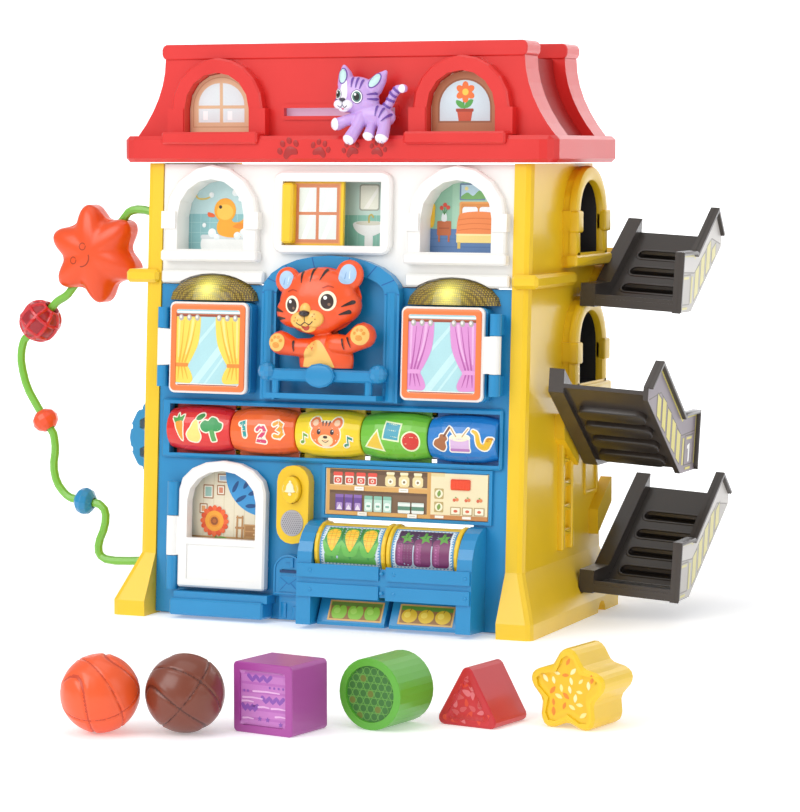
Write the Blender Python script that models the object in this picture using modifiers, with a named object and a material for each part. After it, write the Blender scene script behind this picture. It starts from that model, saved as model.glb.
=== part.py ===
"""A learning house toy: a three-storey play house with a shop counter, piano keys, doors, ball stairs,
a bead wire and six loose blocks. Metres, +Z up, front towards -Y, origin under the middle of the house."""

import math

import bmesh
import bpy
from mathutils import Matrix, Vector

# Running clearances and shared settings
FIT = 0.0004
SLIDE_FIT = 0.0007
RUN_FIT = 0.0001
OVERRUN = 0.002
TINY_ROUND = 0.0008
SMALL_ROUND = 0.0015
ROUND_SIDES = 20
SMALL_SIDES = 12
WELD = 0.00001

# House body: the front and the back lean inwards towards the roof
HOUSE_HALF_WIDTH = 0.1625
COLUMN_WIDTH = 0.0142
FRONT_FOOT_Y = -0.0824
FRONT_LEAN = math.radians(3.43)
REAR_FOOT_Y = 0.1055
REAR_LEAN = math.radians(3.9)
WALL_TOP_Z = 0.357
WALL_SKIN = 0.003
FACADE_THICKNESS = 0.004
UPPER_TOP = 0.3565
REAR_TOP = 0.3560
COLUMN_PROUD = 0.0015
COLUMN_ROUND = 0.005

# Feet of the side walls
FOOT_TOP_Z = 0.048
FOOT_EDGE_Z = 0.012
FOOT_OUTER_X = 0.177
FOOT_FRONT_Y = -0.1014
FOOT_REAR_Y = 0.108
FOOT_NOTCH_Y = 0.062
FOOT_NOTCH_RADIUS = 0.009
POCKET_LOW = 0.0060
POCKET_EDGE = 0.0065

# Belt between the storeys
BELT_LOW = 0.2625
BELT_HEIGHT = 0.0105
BELT_PROUD = 0.005
BELT_SIDE_PROUD = 0.008
BELT_LUG_PROUD = 0.015
BELT_ROUND = 0.0025
BELT_WRAP = 0.018

# Base tray
TRAY_THICKNESS = 0.003
TRAY_RIM = 0.010
TRAY_FRONT_GAP = 0.009
TRAY_REAR_GAP = 0.015

# Arched windows of the white storey
ARCH_WINDOW_X = 0.1035
ARCH_OPENING_HALF = 0.029
ARCH_FRAME = 0.0113
ARCH_PROUD = 0.007
ARCH_TUNNEL = 0.014
ARCH_BOTTOM = 0.2895
ARCH_SPRING = 0.3155
SILL_HALF = 0.042
SILL_HEIGHT = 0.0095
SILL_PROUD = 0.010
CLAMP_LOW = 0.3055
CLAMP_HEIGHT = 0.0135
CLAMP_OVER = 0.0018
CLAMP_PROUD = 0.009

# Middle window with its sliding pane
MIDDLE_X = -0.0005
MIDDLE_HALF = 0.0497
MIDDLE_LOW = 0.2868
MIDDLE_HEIGHT = 0.0642
MIDDLE_CORNER = 0.007
MIDDLE_PROUD = 0.006
PANE_OPENING_HALF = 0.0415
PANE_OPENING_LOW = 0.2935
PANE_OPENING_HEIGHT = 0.0495
PANE_LIP = 0.0025
PANE_WIDTH = 0.0500
PANE_THICKNESS = 0.0035
PANE_GRIP_WIDTH = 0.010
PANE_GRIP_PROUD = 0.0100
PANE_TRAVEL = 0.030

# Picture boards behind the windows
BOARD_THICKNESS = 0.0012
BOARD_MARGIN = 0.006

# Lamps over the shutters
LAMP_X = 0.1012
LAMP_HALF = 0.0382
LAMP_LOW = 0.2495
LAMP_RISE = 0.0205
LAMP_DEPTH = 0.0165

# Shutters, the raised window boxes behind them and their hinges
BOX_X = 0.0985
BOX_HALF = 0.0348
BOX_LOW = 0.1765
BOX_HEIGHT = 0.0715
BOX_PROUD = 0.012
BOX_WALL = 0.006
SHUTTER_THICKNESS = 0.0042
SHUTTER_CORNER = 0.004
SHUTTER_HINGE_X = 0.1400
HINGE_RADIUS = 0.0045
HINGE_PIN_RADIUS = 0.0015
SHUTTER_KNUCKLE_SHARE = 0.46
HINGE_WEB_SHARE = 0.6
SHUTTER_RIM_SHARE = 0.13
SHUTTER_RIM = 0.0015

# Front door
DOOR_LEFT_X = -0.1245
DOOR_WIDTH = 0.0755
DOOR_LOW = 0.0235
DOOR_HEIGHT = 0.1005
DOOR_THICKNESS = 0.0095
DOOR_BACK_GAP = 0.0015
DOOR_HINGE_OFFSET = 0.0060
DOOR_HINGE_PROUD = 0.0070
DOOR_RISE = 0.0240
DOOR_HINGE_RADIUS = 0.0050
DOOR_KNUCKLE_LOW = 0.0480
DOOR_KNUCKLE_HEIGHT = 0.0310
DOOR_HINGE_REACH = 0.0270
DOOR_WINDOW_SIDE = 0.0080
DOOR_WINDOW_LOW = 0.0625
DOOR_PANEL_DEPTH = 0.0012
DOOR_PANEL_LOW = 0.0300
DOOR_PANEL_HEIGHT = 0.0275
DOORWAY_MARGIN = 0.0045

# Door steps
STEP_LEFT_X = -0.1265
STEP_WIDTH = 0.0810
STEP_LOWER_HEIGHT = 0.0130
STEP_UPPER_HEIGHT = 0.0205
STEP_LOWER_PROUD = 0.0200
STEP_UPPER_PROUD = 0.0165
STEP_INSET = 0.0025
GROUND_CLEARANCE = 0.0020

# Letter box relief
MAIL_X = -0.0300
MAIL_HALF = 0.0130
MAIL_LOW = 0.0205
MAIL_HEIGHT = 0.0315
MAIL_PROUD = 0.0050
MAIL_POST_HALF = 0.0085
MAIL_SLOT_HALF = 0.0060
MAIL_SLOT_HEIGHT = 0.0022

# Doorbell plate and its push button
BELL_X = -0.0255
BELL_PLATE_HALF = 0.0135
BELL_PLATE_LOW = 0.0617
BELL_PLATE_HEIGHT = 0.0610
BELL_PLATE_PROUD = 0.0110
BELL_PLATE_WALL = 0.0025
BELL_CENTRE = 0.1040
BELL_WIDTH = 0.0150
BELL_STRETCH = 1.4
BELL_PROUD = 0.0050
BELL_TRAVEL = 0.0020
BELL_STEM_RADIUS = 0.0035
GRILLE_CENTRE = 0.0780
GRILLE_HOLE_RADIUS = 0.0011
GRILLE_HOLE_RING = 0.0052
GRILLE_HOLE_COUNT = 6

# Balcony
BALCONY_X = 0.0020
BALCONY_HALF = 0.0580
BALCONY_SPRING = 0.2570
BALCONY_RISE = 0.0288
BALCONY_ARCH_WIDTH = 0.0125
BALCONY_ARCH_PROUD = 0.0100
BALCONY_BACK = 0.0025
BALCONY_LOW = 0.1735
COLUMN_RADIUS = 0.0056
COLUMN_Y = -0.0068
RAIL_Y = -0.0215
RAIL_HEIGHT = 0.0095
RAIL_DEPTH = 0.0060
RAIL_LOW = 0.1885
FINIAL_X = 0.0465
FINIAL_RADIUS = 0.0074
FINIAL_CENTRE = 0.1955
LEDGE_HEIGHT = 0.0040
BALUSTER_RADIUS = 0.0030
BALUSTER_SHARES = (-0.42, 0.42)
PLAQUE_HALF_WIDTH = 0.0125
PLAQUE_STRETCH = 0.75
PLAQUE_PROUD = 0.0030

# Cub figure, pushed in as one big button
CUB_X = -0.0010
CUB_Y = -0.0175
CUB_HEAD_X = -0.0040
CUB_HEAD_CENTRE = 0.2505
CUB_HEAD_WIDTH = 0.0720
CUB_HEAD_HEIGHT = 0.0540
CUB_HEAD_DEPTH = 0.0300
CUB_HEAD_TURN = math.radians(-6.7)
CUB_EARS = ((-0.0305, 0.2662, 0.0106), (0.0213, 0.2710, 0.0118))
CUB_MUZZLE_X = -0.0080
CUB_MUZZLE_WIDTH = 0.0300
CUB_MUZZLE_HEIGHT = 0.0180
CUB_MUZZLE_DROP = 0.0140
CUB_BODY_X = 0.0035
CUB_BODY_CENTRE = 0.2040
CUB_BODY_WIDTH = 0.0460
CUB_BODY_HEIGHT = 0.0420
CUB_BODY_DEPTH = 0.0118
CUB_BODY_FLOOR = 0.1992
CUB_SHOULDERS = ((-0.0100, 0.2140), (0.0120, 0.2175))
CUB_PAWS = ((-0.0333, 0.2178), (0.0361, 0.2248))
CUB_PAW_RADIUS = 0.0098
CUB_ARM_SHARE = 0.75
CUB_TRAVEL = 0.0030
CUB_STEM_RADIUS = 0.0070
CUB_STEM_RISE = 0.0220
CUB_STEM_HEIGHT = CUB_BODY_CENTRE + CUB_STEM_RISE
CUB_STEM_TAIL = 0.0050

# Five barrel keys
KEY_COUNT = 5
KEY_PITCH = 0.0556
KEYS_X = 0.0025
KEY_SIDES = 24
KEY_SHOULDER_SHARE = 0.55
KEY_FLANGE_HALF = 0.0215
KEY_CENTRE = 0.1480
KEY_MIDDLE_RADIUS = 0.0187
KEY_END_RADIUS = 0.0158
KEY_AXIS_Y = 0.0040
KEY_TRAVEL = 0.0030
KEY_NAMES = ("key_red", "key_orange", "key_yellow", "key_green", "key_blue")
KEY_STRIP_LOW = 0.1250
KEY_STRIP_HEIGHT = 0.0465
KEY_STRIP_PROUD = 0.0040
KEY_STRIP_HALF = 0.1440
KEYPAD_GAP = 0.0040
CIRCUIT_THICKNESS = 0.0016
CIRCUIT_HALF = 0.1460
CIRCUIT_POST_RADIUS = 0.0018
CIRCUIT_HEIGHT = 0.0340
CHIP_SIZE = 0.0120
CHIP_HEIGHT = 0.0020

# Shop shelf and its switch
SHELF_X = 0.0660
SHELF_HALF = 0.0680
SHELF_LOW = 0.0855
SHELF_HEIGHT = 0.0365
SHELF_THICKNESS = 0.0012
SHELF_RIM = 0.0025
SWITCH_X = 0.1150
SWITCH_CENTRE = 0.1130
SWITCH_HALF = 0.0180
SWITCH_FRAME_HEIGHT = 0.0200
SWITCH_SLOT_HALF = 0.0125
SWITCH_SLOT_HEIGHT = 0.0090
SWITCH_KNOB_HALF = 0.0080
SWITCH_TRAVEL = 0.0080
SWITCH_PROUD = 0.0040
SWITCH_SEAT_PROUD = 0.0020

# Shop counter
COUNTER_X = 0.0600
COUNTER_HALF = 0.0720
COUNTER_PROUD = 0.0300
COUNTER_END_WIDTH = 0.0120
COUNTER_SHOULDER = 0.0500
COUNTER_TOP = 0.0815
SHOULDER_STEPS = 6
COUNTER_BOARD_LOW = 0.0240
COUNTER_BOARD_HEIGHT = 0.0105
COUNTER_BOARD_PITCH = 0.0150
COUNTER_BOARD_PROUD = 0.0020
COUNTER_BOARD_GAP = 0.0060
COUNTER_SKIN = 0.0022

# Produce drums on one axle
DRUM_RADIUS = 0.0205
DRUM_RIM_RADIUS = 0.0222
DRUM_RIM_WIDTH = 0.0030
DRUM_PITCH = 0.0598
DRUM_AXIS_HEIGHT = 0.0590
DRUM_AXIS_Y = -0.0050
AXLE_RADIUS = 0.0030
AXLE_END = 0.0060

# Fruit crates under the counter
CRATE_HALF = 0.0280
CRATE_X_OFFSET = 0.0300
CRATE_HEIGHT = 0.0220
CRATE_FRONT_HEIGHT = 0.0090
CRATE_FRONT_Y = -0.0210
CRATE_STEP = 0.0025
CRATE_BACK_Y = -0.0060

# Roof
EAVE_HEIGHT = 0.0210
ROOF_RISE = 0.0720
ROOF_LOW_Z = WALL_TOP_Z + EAVE_HEIGHT
ROOF_TOP_Z = ROOF_LOW_Z + ROOF_RISE
ROOF_CAP_HEIGHT = 0.0115
ROOF_CAP_HALF = 0.1515
ROOF_CAP_FLARE = 0.0028
ROOF_CAP_PROUD = 0.0015
ROOF_FRONT_Y = -0.0510
ROOF_REAR_Y = 0.0670
ROOF_SLAB_DEPTH = 0.0280
ROOF_HALF_TOP = 0.1518
ROOF_HALF_BOTTOM = 0.1765
ROOF_CURVE_POWER = 2.0
ROOF_CURVE_STEPS = 6
EAVE_HALF_WIDTH = 0.1826
EAVE_FRONT_Y = -0.0710
EAVE_REAR_Y = 0.0850
EAVE_CORNER = 0.0120
EAVE_ROUND = 0.0030
ROOF_SKIN = 0.0040
ROOF_END_WALL = 0.0090
DECK_POCKET_Y = (-0.0590, 0.0750)
TROUGH_Y = 0.0080
TROUGH_DROP = 0.0010
TROUGH_WALL = 0.0025
TROUGH_INSET = 0.0100
DROP_HOLE_X = 0.0950
DROP_HOLE_RADIUS = 0.0270

# Dormers
DORMER_X = 0.1030
DORMER_HALF = 0.0425
DORMER_LEG_HALF = 0.0395
DORMER_TOP_DROP = 0.0110
DORMER_RISE = 0.0395
DORMER_LEG_HEIGHT = 0.0200
DORMER_TOP_Z = ROOF_TOP_Z - DORMER_TOP_DROP
DORMER_SPRING_Z = DORMER_TOP_Z - DORMER_RISE
DORMER_LOW = DORMER_SPRING_Z - DORMER_LEG_HEIGHT
DORMER_PROUD = 0.0090
DORMER_BAND = 0.0145
DORMER_SILL_HALF = 0.0415
DORMER_SILL_HEIGHT = 0.0095
DORMER_SILL_DROP = 0.0080
DORMER_SILL_Z = DORMER_LOW - DORMER_SILL_DROP
DORMER_SILL_PROUD = 0.0035
DORMER_PANE_THICKNESS = 0.0012

# Kitten slider in the roof; the figure's heights are measured from the middle of its slot
SLOT_LEFT_X = -0.0480
SLOT_RIGHT_X = 0.0460
SLOT_RISE = 0.0185
SLOT_Z = ROOF_LOW_Z + SLOT_RISE
SLOT_HEIGHT = 0.0062
SLOT_FRAME = 0.0030
KITTEN_X = 0.0290
KITTEN_TRAVEL = 0.0600
KITTEN_Y = -0.0660
KITTEN_BODY = (0.0335, -0.0040)
KITTEN_BODY_LENGTH = 0.0350
KITTEN_BODY_HEIGHT = 0.0200
KITTEN_BODY_DEPTH = 0.0150
KITTEN_HEAD = (0.0205, 0.0122)
KITTEN_HEAD_WIDTH = 0.0360
KITTEN_HEAD_HEIGHT = 0.0300
KITTEN_EARS = (((0.0120, 0.0165), (0.0092, 0.0340)), ((0.0320, 0.0155), (0.0432, 0.0290)))
KITTEN_EAR_RADIUS = 0.0070
KITTEN_FEET = (
    (0.0063, -0.0700, -0.0097),
    (0.0196, -0.0775, -0.0208),
    (0.0348, -0.0772, -0.0183),
    (0.0461, -0.0775, -0.0200),
)
KITTEN_HIPS = ((0.0215, -0.0050), (0.0255, -0.0040), (0.0345, -0.0080), (0.0425, -0.0040))
KITTEN_LEG_RADIUS = 0.0044
KITTEN_TAIL = ((0.0435, 0.0015), (0.0495, 0.0125), (0.0580, 0.0172))
KITTEN_TAIL_RADIUS = 0.0034
KITTEN_FOOT_WIDTH = 0.0180
KITTEN_FOOT_HEIGHT = 0.0110

# Side arches of the right wall, big enough for a ball
SIDE_ARCH_Y = 0.0440
SIDE_ARCH_HALF = 0.0270
SIDE_ARCH_FRAME = 0.0110
SIDE_ARCH_PROUD = 0.0065
SIDE_ARCH_LOWS = (0.2860, 0.1840)
SIDE_ARCH_HEIGHT = 0.0575
SIDE_ARCH_CLAMP_RISE = 0.0190
SIDE_ARCH_CLAMP_HEIGHT = 0.0150
SIDE_SILL_HEIGHT = 0.0100
SIDE_SILL_PROUD = 0.0080

# Ladder relief low on the right wall
LADDER_Y = 0.0100
LADDER_WIDTH = 0.0260
LADDER_LOW = 0.0600
LADDER_HEIGHT = 0.0950
LADDER_RAIL = 0.0045
LADDER_RUNGS = 5
LADDER_PROUD = 0.0022
LADDER_RUNG_SHARE = 0.4

# Ball stairs on the right wall
STAIR_INNER_X = 0.1710
STAIR_OUTER_X = 0.2500
STAIR_TILT = math.radians(3.4)
STAIR_SLOPE = math.radians(34.0)
STAIR_LANDING = 0.0360
STAIR_FLOOR = 0.0030
STAIR_LIP = 0.0100
STAIR_GUARD_HEIGHT = 0.0460
STAIR_GUARD_THICKNESS = 0.0040
STAIR_RAIL_WIDTH = 0.0120
STAIR_RAIL_RISE = 0.0100
STAIR_SLOT_WIDTH = 0.0090
STAIR_SLOT_PITCH = 0.0185
STAIR_SLOT_MARGIN = 0.0060
STAIR_PEAK_DROP = 0.0240
STAIR_LONG_RUN = 0.1050
STAIR_SHORT_RUN = 0.0870
STAIR_LONG_LENGTH = 0.1310
STAIR_SHORT_LENGTH = 0.1080
STAIR_LONG_SLOTS = 4
STAIR_SHORT_SLOTS = 3
STAIR_BLOCK_RISE = 0.0080
STAIR_TOP_Y = 0.0220
STAIR_TOP_Z = 0.2460
STAIR_MIDDLE_Y = 0.0710
STAIR_MIDDLE_Z = 0.1210
STAIR_BOTTOM_Y = 0.0220
STAIR_BOTTOM_Z = 0.0210
STAIR_SEAT_DROP = 0.0012
BRACKET_HEIGHT = 0.0200
BRACKET_Y = 0.0700
BRACKET_RISE = 0.0400
BRACKET_LENGTH = 0.0340

# Sorting panel at the back
SORT_LOW = 0.1830
SORT_CENTRE = 0.2600
SORT_PITCH = 0.0700
SORT_CLEARANCE = 0.0025
PANEL_THICKNESS = 0.0030
PANEL_SET_BACK = 0.0080
EXIT_HALF = 0.0900
EXIT_HEIGHT = 0.1150
EXIT_CORNER = 0.0200

# Ramp inside the house
RAMP_Y = (-0.0220, 0.0725)
RAMP_START_X = 0.0300
RAMP_END_X = 0.1460
RAMP_END_Z = 0.2820
RAMP_START_Z = 0.3060
RAMP_THICKNESS = 0.0030
RAMP_LIP = 0.0080

# Bead wire on the left wall and its beads; x is measured from the wall's outer face
WIRE_Y = 0.0050
WIRE_RADIUS = 0.0035
WIRE_FLANGE_RADIUS = 0.0090
WIRE_FLANGE_THICKNESS = 0.0050
WIRE_FLANGE_FACES = (-0.0015, -0.0120)
CORNER_CUTS = 1
CORNER_SHARE = 0.25
WIRE_POINTS = (
    (0.0025, 0.3160), (-0.0275, 0.3160), (-0.0425, 0.3190), (-0.0520, 0.3173), (-0.0558, 0.3127),
    (-0.1072, 0.2513), (-0.1110, 0.2467), (-0.1206, 0.2416), (-0.1226, 0.2394), (-0.1504, 0.2106),
    (-0.1524, 0.2084), (-0.1550, 0.1990), (-0.1550, 0.1880), (-0.1500, 0.1690), (-0.1403, 0.1536),
    (-0.1389, 0.1516), (-0.1261, 0.1324), (-0.1247, 0.1304), (-0.1230, 0.1180), (-0.1255, 0.1040),
    (-0.1225, 0.0900), (-0.1145, 0.0805), (-0.1089, 0.0774), (-0.1064, 0.0771), (-0.0846, 0.0739),
    (-0.0821, 0.0736), (-0.0760, 0.0680), (-0.0770, 0.0550), (-0.0835, 0.0410), (-0.0830, 0.0310),
    (-0.0745, 0.0265), (-0.0475, 0.0275), (-0.0215, 0.0300), (0.0025, 0.0300),
)
BEAD_BORE_RADIUS = 0.0042
STAR_BEAD = ((-0.0815, 0.2820), (0.6416, 0.7670))
LATTICE_BEAD = ((-0.1365, 0.2250), (0.693, 0.721))
SMALL_BEAD = ((-0.1325, 0.1420), (-0.555, 0.832))
BLUE_BEAD = ((-0.0955, 0.0755), (-0.990, 0.141))
STAR_BEAD_RADIUS = 0.0415
STAR_BEAD_WAIST = 0.0300
STAR_BEAD_THICKNESS = 0.0300
STAR_BEAD_ROUND = 0.0060
STAR_BEAD_POINTS = 6
STAR_BEAD_TURN = math.radians(8)
LATTICE_BEAD_RADIUS = 0.0178
SMALL_BEAD_RADIUS = 0.0112
SMALL_BEAD_HALF_LENGTH = 0.0095
BLUE_BEAD_RADIUS = 0.0116
BLUE_BEAD_HALF_LENGTH = 0.0092

# Spinning wheel in the left wall
WHEEL_SET_IN = 0.0100
WHEEL_X = -HOUSE_HALF_WIDTH + WHEEL_SET_IN
WHEEL_Y = -0.0440
WHEEL_Z = 0.1360
WHEEL_RADIUS = 0.0350
WHEEL_THICKNESS = 0.0130
WHEEL_TEETH = 12
WHEEL_NOTCH_RADIUS = 0.0028
WHEEL_HOLE_RADIUS = 0.0060
WHEEL_HOLE_RING = 0.0230
WHEEL_HOLES = 6
WHEEL_NOTCH_SHARE = 0.5
WHEEL_CUT_SIDES = 6
WHEEL_AXLE_RADIUS = 0.0030
WHEEL_AXLE_REACH = 0.0040
WHEEL_SLOT_GAP = 0.0020
BEARING_RADIUS = 0.0065

# Speaker, battery box and its cover
SPEAKER_RADIUS = 0.0165
SPEAKER_DEPTH = 0.0110
MAGNET_SHARE = 0.6
BATTERY_HALF = 0.0320
BATTERY_DEPTH = 0.0300
BATTERY_HEIGHT = 0.0560
BATTERY_LOW = 0.1210
BATTERY_X = 0.0700
BATTERY_WALL = 0.0020
COVER_MARGIN = 0.0030

# Loose balls and blocks in front of the house
BLOCK_DEPTH = 0.0400
BALL_RADIUS = 0.0252
CUBE_SIDE = 0.0450
CYLINDER_RADIUS = 0.0231
TRIANGLE_SIDE = 0.0490
TRIANGLE_ROUND = 0.0040
STAR_BLOCK_RADIUS = 0.0285
STAR_BLOCK_WAIST = 0.0195
STAR_BLOCK_POINTS = 5
BLOCK_ROUND = 0.0025
BLOCK_RIM = 0.0024
BLOCK_RECESS = 0.0016
BLOCK_CIRCLE_SIDES = 32
TRIANGLE_INSET_SHARE = 2 * math.sqrt(3)
BLOCK_TURN = math.radians(-10)
BALL_ORANGE_SPOT = (0.0490, -0.5410)
BALL_BROWN_SPOT = (0.0984, -0.5204)
CUBE_SPOT = (0.1495, -0.4878)
CYLINDER_SPOT = (0.2062, -0.4493)
TRIANGLE_SPOT = (0.2585, -0.4143)
STAR_SPOT = (0.3205, -0.3983)

COLOURS = {
    "red": (0.82, 0.10, 0.08),
    "dark_red": (0.45, 0.04, 0.04),
    "white": (0.93, 0.92, 0.90),
    "yellow": (0.95, 0.72, 0.10),
    "blue": (0.10, 0.42, 0.72),
    "orange": (0.92, 0.28, 0.08),
    "lavender": (0.62, 0.45, 0.78),
    "green": (0.35, 0.65, 0.12),
    "brown": (0.28, 0.09, 0.05),
    "purple": (0.50, 0.12, 0.45),
    "stair_grey": (0.075, 0.068, 0.062),
    "gold": (0.40, 0.33, 0.05),
    "print": (0.75, 0.80, 0.72),
    "steel": (0.60, 0.60, 0.62),
    "board_green": (0.03, 0.25, 0.10),
    "black": (0.02, 0.02, 0.02),
}
METALS = {"steel"}

COLLECTIONS = {}


def clear_scene():
    for obj in list(bpy.data.objects):
        bpy.data.objects.remove(obj, do_unlink=True)


def collection(name):
    made = bpy.data.collections.new(name)
    bpy.context.scene.collection.children.link(made)
    return made


def material(tint):
    found = bpy.data.materials.get(tint)
    if found:
        return found
    made = bpy.data.materials.new(tint)
    made.use_nodes = True
    shader = made.node_tree.nodes["Principled BSDF"]
    shader.inputs["Base Color"].default_value = (*COLOURS[tint], 1.0)
    shader.inputs["Roughness"].default_value = 0.3
    shader.inputs["Metallic"].default_value = float(tint in METALS)
    return made


def empty(name, location=(0, 0, 0), rotation=(0, 0, 0), parent=None):
    obj = bpy.data.objects.new(name, None)
    obj.location = location
    obj.rotation_euler = rotation
    obj.parent = parent
    COLLECTIONS["parts"].objects.link(obj)
    bpy.context.view_layer.update()
    return obj


def tool_object(name, mesh, frame):
    """A shape for building with: it stays out of the model until as_part takes it in."""
    obj = bpy.data.objects.new(name, mesh)
    obj.parent = frame
    obj.hide_render = True
    obj.display_type = "WIRE"
    COLLECTIONS["tools"].objects.link(obj)
    return obj


def from_bmesh(name, bm, frame):
    bmesh.ops.recalc_face_normals(bm, faces=bm.faces)
    mesh = bpy.data.meshes.new(name)
    bm.to_mesh(mesh)
    bm.free()
    return tool_object(name, mesh, frame)


def soften(obj, width, segments=1):
    bevel = obj.modifiers.new("rounding", "BEVEL")
    bevel.width = width
    bevel.segments = segments
    bevel.limit_method = "ANGLE"
    return obj


def box(name, frame, x, y, z, rounding=0.0):
    """A block between the low and high values of x, y and z."""
    bm = bmesh.new()
    bmesh.ops.create_cube(bm, size=1.0)
    bmesh.ops.scale(bm, vec=(x[1] - x[0], y[1] - y[0], z[1] - z[0]), verts=bm.verts)
    centre = Vector((x[0] + x[1], y[0] + y[1], z[0] + z[1])) / 2
    bmesh.ops.translate(bm, vec=centre, verts=bm.verts)
    obj = from_bmesh(name, bm, frame)
    return soften(obj, rounding) if rounding else obj


def meshed(obj):
    """The curve object made a mesh, with its loose caps welded."""
    bpy.context.view_layer.update()
    graph = bpy.context.evaluated_depsgraph_get()
    mesh = bpy.data.meshes.new_from_object(obj.evaluated_get(graph))
    bm = bmesh.new()
    bm.from_mesh(mesh)
    bmesh.ops.remove_doubles(bm, verts=bm.verts, dist=WELD)
    bmesh.ops.recalc_face_normals(bm, faces=bm.faces)
    bm.to_mesh(mesh)
    bm.free()
    name, frame, matrix = obj.name, obj.parent, obj.matrix_local.copy()
    bpy.data.objects.remove(obj, do_unlink=True)
    made = tool_object(name, mesh, frame)
    made.matrix_local = matrix
    return made


TURNS = {
    "X": Matrix(((0, 0, 1, 0), (1, 0, 0, 0), (0, 1, 0, 0), (0, 0, 0, 1))),
    "Y": Matrix.Rotation(math.pi / 2, 4, "X"),
    "Z": Matrix.Identity(4),
}


def plate(name, frame, outline, side, low, high, holes=(), rounding=0.0):
    """A flat outline with holes, thick along side from low to high. Its points lie on the other axes."""
    curve = bpy.data.curves.new(name, "CURVE")
    curve.dimensions = "2D"
    curve.fill_mode = "BOTH"
    curve.extrude = (high - low) / 2
    for ring in (outline, *holes):
        spline = curve.splines.new("POLY")
        spline.points.add(len(ring) - 1)
        for point, (a, b) in zip(spline.points, ring):
            point.co = (a, b, 0, 1)
        spline.use_cyclic_u = True
    obj = bpy.data.objects.new(name, curve)
    COLLECTIONS["tools"].objects.link(obj)
    obj.parent = frame
    middle = [(low + high) / 2 if axis == side else 0 for axis in "XYZ"]
    obj.matrix_local = Matrix.Translation(middle) @ TURNS[side]
    made = meshed(obj)
    return soften(made, rounding) if rounding else made


def loft(name, frame, rings):
    """A skin over rings of points that have the same count, closed at both ends."""
    bm = bmesh.new()
    loops = [[bm.verts.new(point) for point in ring] for ring in rings]
    for lower, upper in zip(loops, loops[1:]):
        for i in range(len(lower)):
            j = (i + 1) % len(lower)
            bm.faces.new((lower[i], lower[j], upper[j], upper[i]))
    bm.faces.new(loops[0][::-1])
    bm.faces.new(loops[-1])
    return from_bmesh(name, bm, frame)


def ellipsoid(name, frame, centre, radii, sides=SMALL_SIDES, turn=0.0):
    """A ball stretched to its three radii, turned about Y before it is placed."""
    bm = bmesh.new()
    bmesh.ops.create_uvsphere(bm, u_segments=sides, v_segments=sides // 2, radius=1.0)
    bmesh.ops.scale(bm, vec=radii, verts=bm.verts)
    bmesh.ops.rotate(bm, matrix=Matrix.Rotation(turn, 3, "Y"), verts=bm.verts)
    bmesh.ops.translate(bm, vec=centre, verts=bm.verts)
    return from_bmesh(name, bm, frame)


def rod(name, frame, start, end, radius, end_radius=None, sides=SMALL_SIDES):
    """A round bar or cone from start to end."""
    start, end = Vector(start), Vector(end)
    bm = bmesh.new()
    bmesh.ops.create_cone(
        bm,
        cap_ends=True,
        segments=sides,
        radius1=radius,
        radius2=radius if end_radius is None else end_radius,
        depth=(end - start).length,
    )
    turn = (end - start).to_track_quat("Z", "Y").to_matrix()
    bmesh.ops.rotate(bm, matrix=turn, verts=bm.verts)
    bmesh.ops.translate(bm, vec=(start + end) / 2, verts=bm.verts)
    return from_bmesh(name, bm, frame)


def turned(name, frame, profile, location, axis="Z", sides=ROUND_SIDES):
    """A profile of (radius, height) points, listed from its top down, turned about an axis."""
    mesh = bpy.data.meshes.new(name)
    points = [(radius, 0, height) for radius, height in profile]
    mesh.from_pydata(points, [(i, i + 1) for i in range(len(points) - 1)], [])
    obj = tool_object(name, mesh, frame)
    obj.location = location
    obj.rotation_euler = {"X": (0, math.pi / 2, 0), "Y": (math.pi / 2, 0, 0), "Z": (0, 0, 0)}[axis]
    screw = obj.modifiers.new("turning", "SCREW")
    screw.steps = sides
    screw.render_steps = sides
    screw.use_merge_vertices = True
    screw.merge_threshold = WELD
    return obj


def boolean(obj, tool, operation):
    modifier = obj.modifiers.new(tool.name, "BOOLEAN")
    modifier.operation = operation
    modifier.object = tool
    return obj


def cut(obj, *tools):
    for tool in tools:
        boolean(obj, tool, "DIFFERENCE")
    return obj


def join(obj, *tools):
    for tool in tools:
        boolean(obj, tool, "UNION")
    return obj


def as_part(obj, name, tint):
    """Takes a finished shape into the model."""
    obj.name = name
    obj.hide_render = False
    obj.display_type = "TEXTURED"
    COLLECTIONS["tools"].objects.unlink(obj)
    COLLECTIONS["parts"].objects.link(obj)
    obj.data.materials.clear()
    obj.data.materials.append(material(tint))
    if obj.data.polygons:
        obj.data.shade_smooth()
        obj.data.set_sharp_from_angle(angle=math.radians(35))
    return obj


def tools_of(obj):
    found = [m.object for m in obj.modifiers if m.type == "BOOLEAN"]
    return found + [inner for tool in found for inner in tools_of(tool)]


def on_joint(obj, name, point):
    """Hangs a moving piece and its tools on an empty at its joint's axis."""
    pivot = empty(name, point, parent=obj.parent)
    for piece in [obj, *tools_of(obj)]:
        piece.parent = pivot
        piece.location = Vector(piece.location) - Vector(point)
    return obj


def rounded_outline(low, high, corner, steps=2):
    """A rectangle between two corners, with round corners."""
    centres = (
        (high[0] - corner, high[1] - corner, 0),
        (low[0] + corner, high[1] - corner, 1),
        (low[0] + corner, low[1] + corner, 2),
        (high[0] - corner, low[1] + corner, 3),
    )
    points = []
    for a, b, quarter in centres:
        for step in range(steps + 1):
            angle = math.pi / 2 * (quarter + step / steps)
            points.append((a + corner * math.cos(angle), b + corner * math.sin(angle)))
    return points


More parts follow.
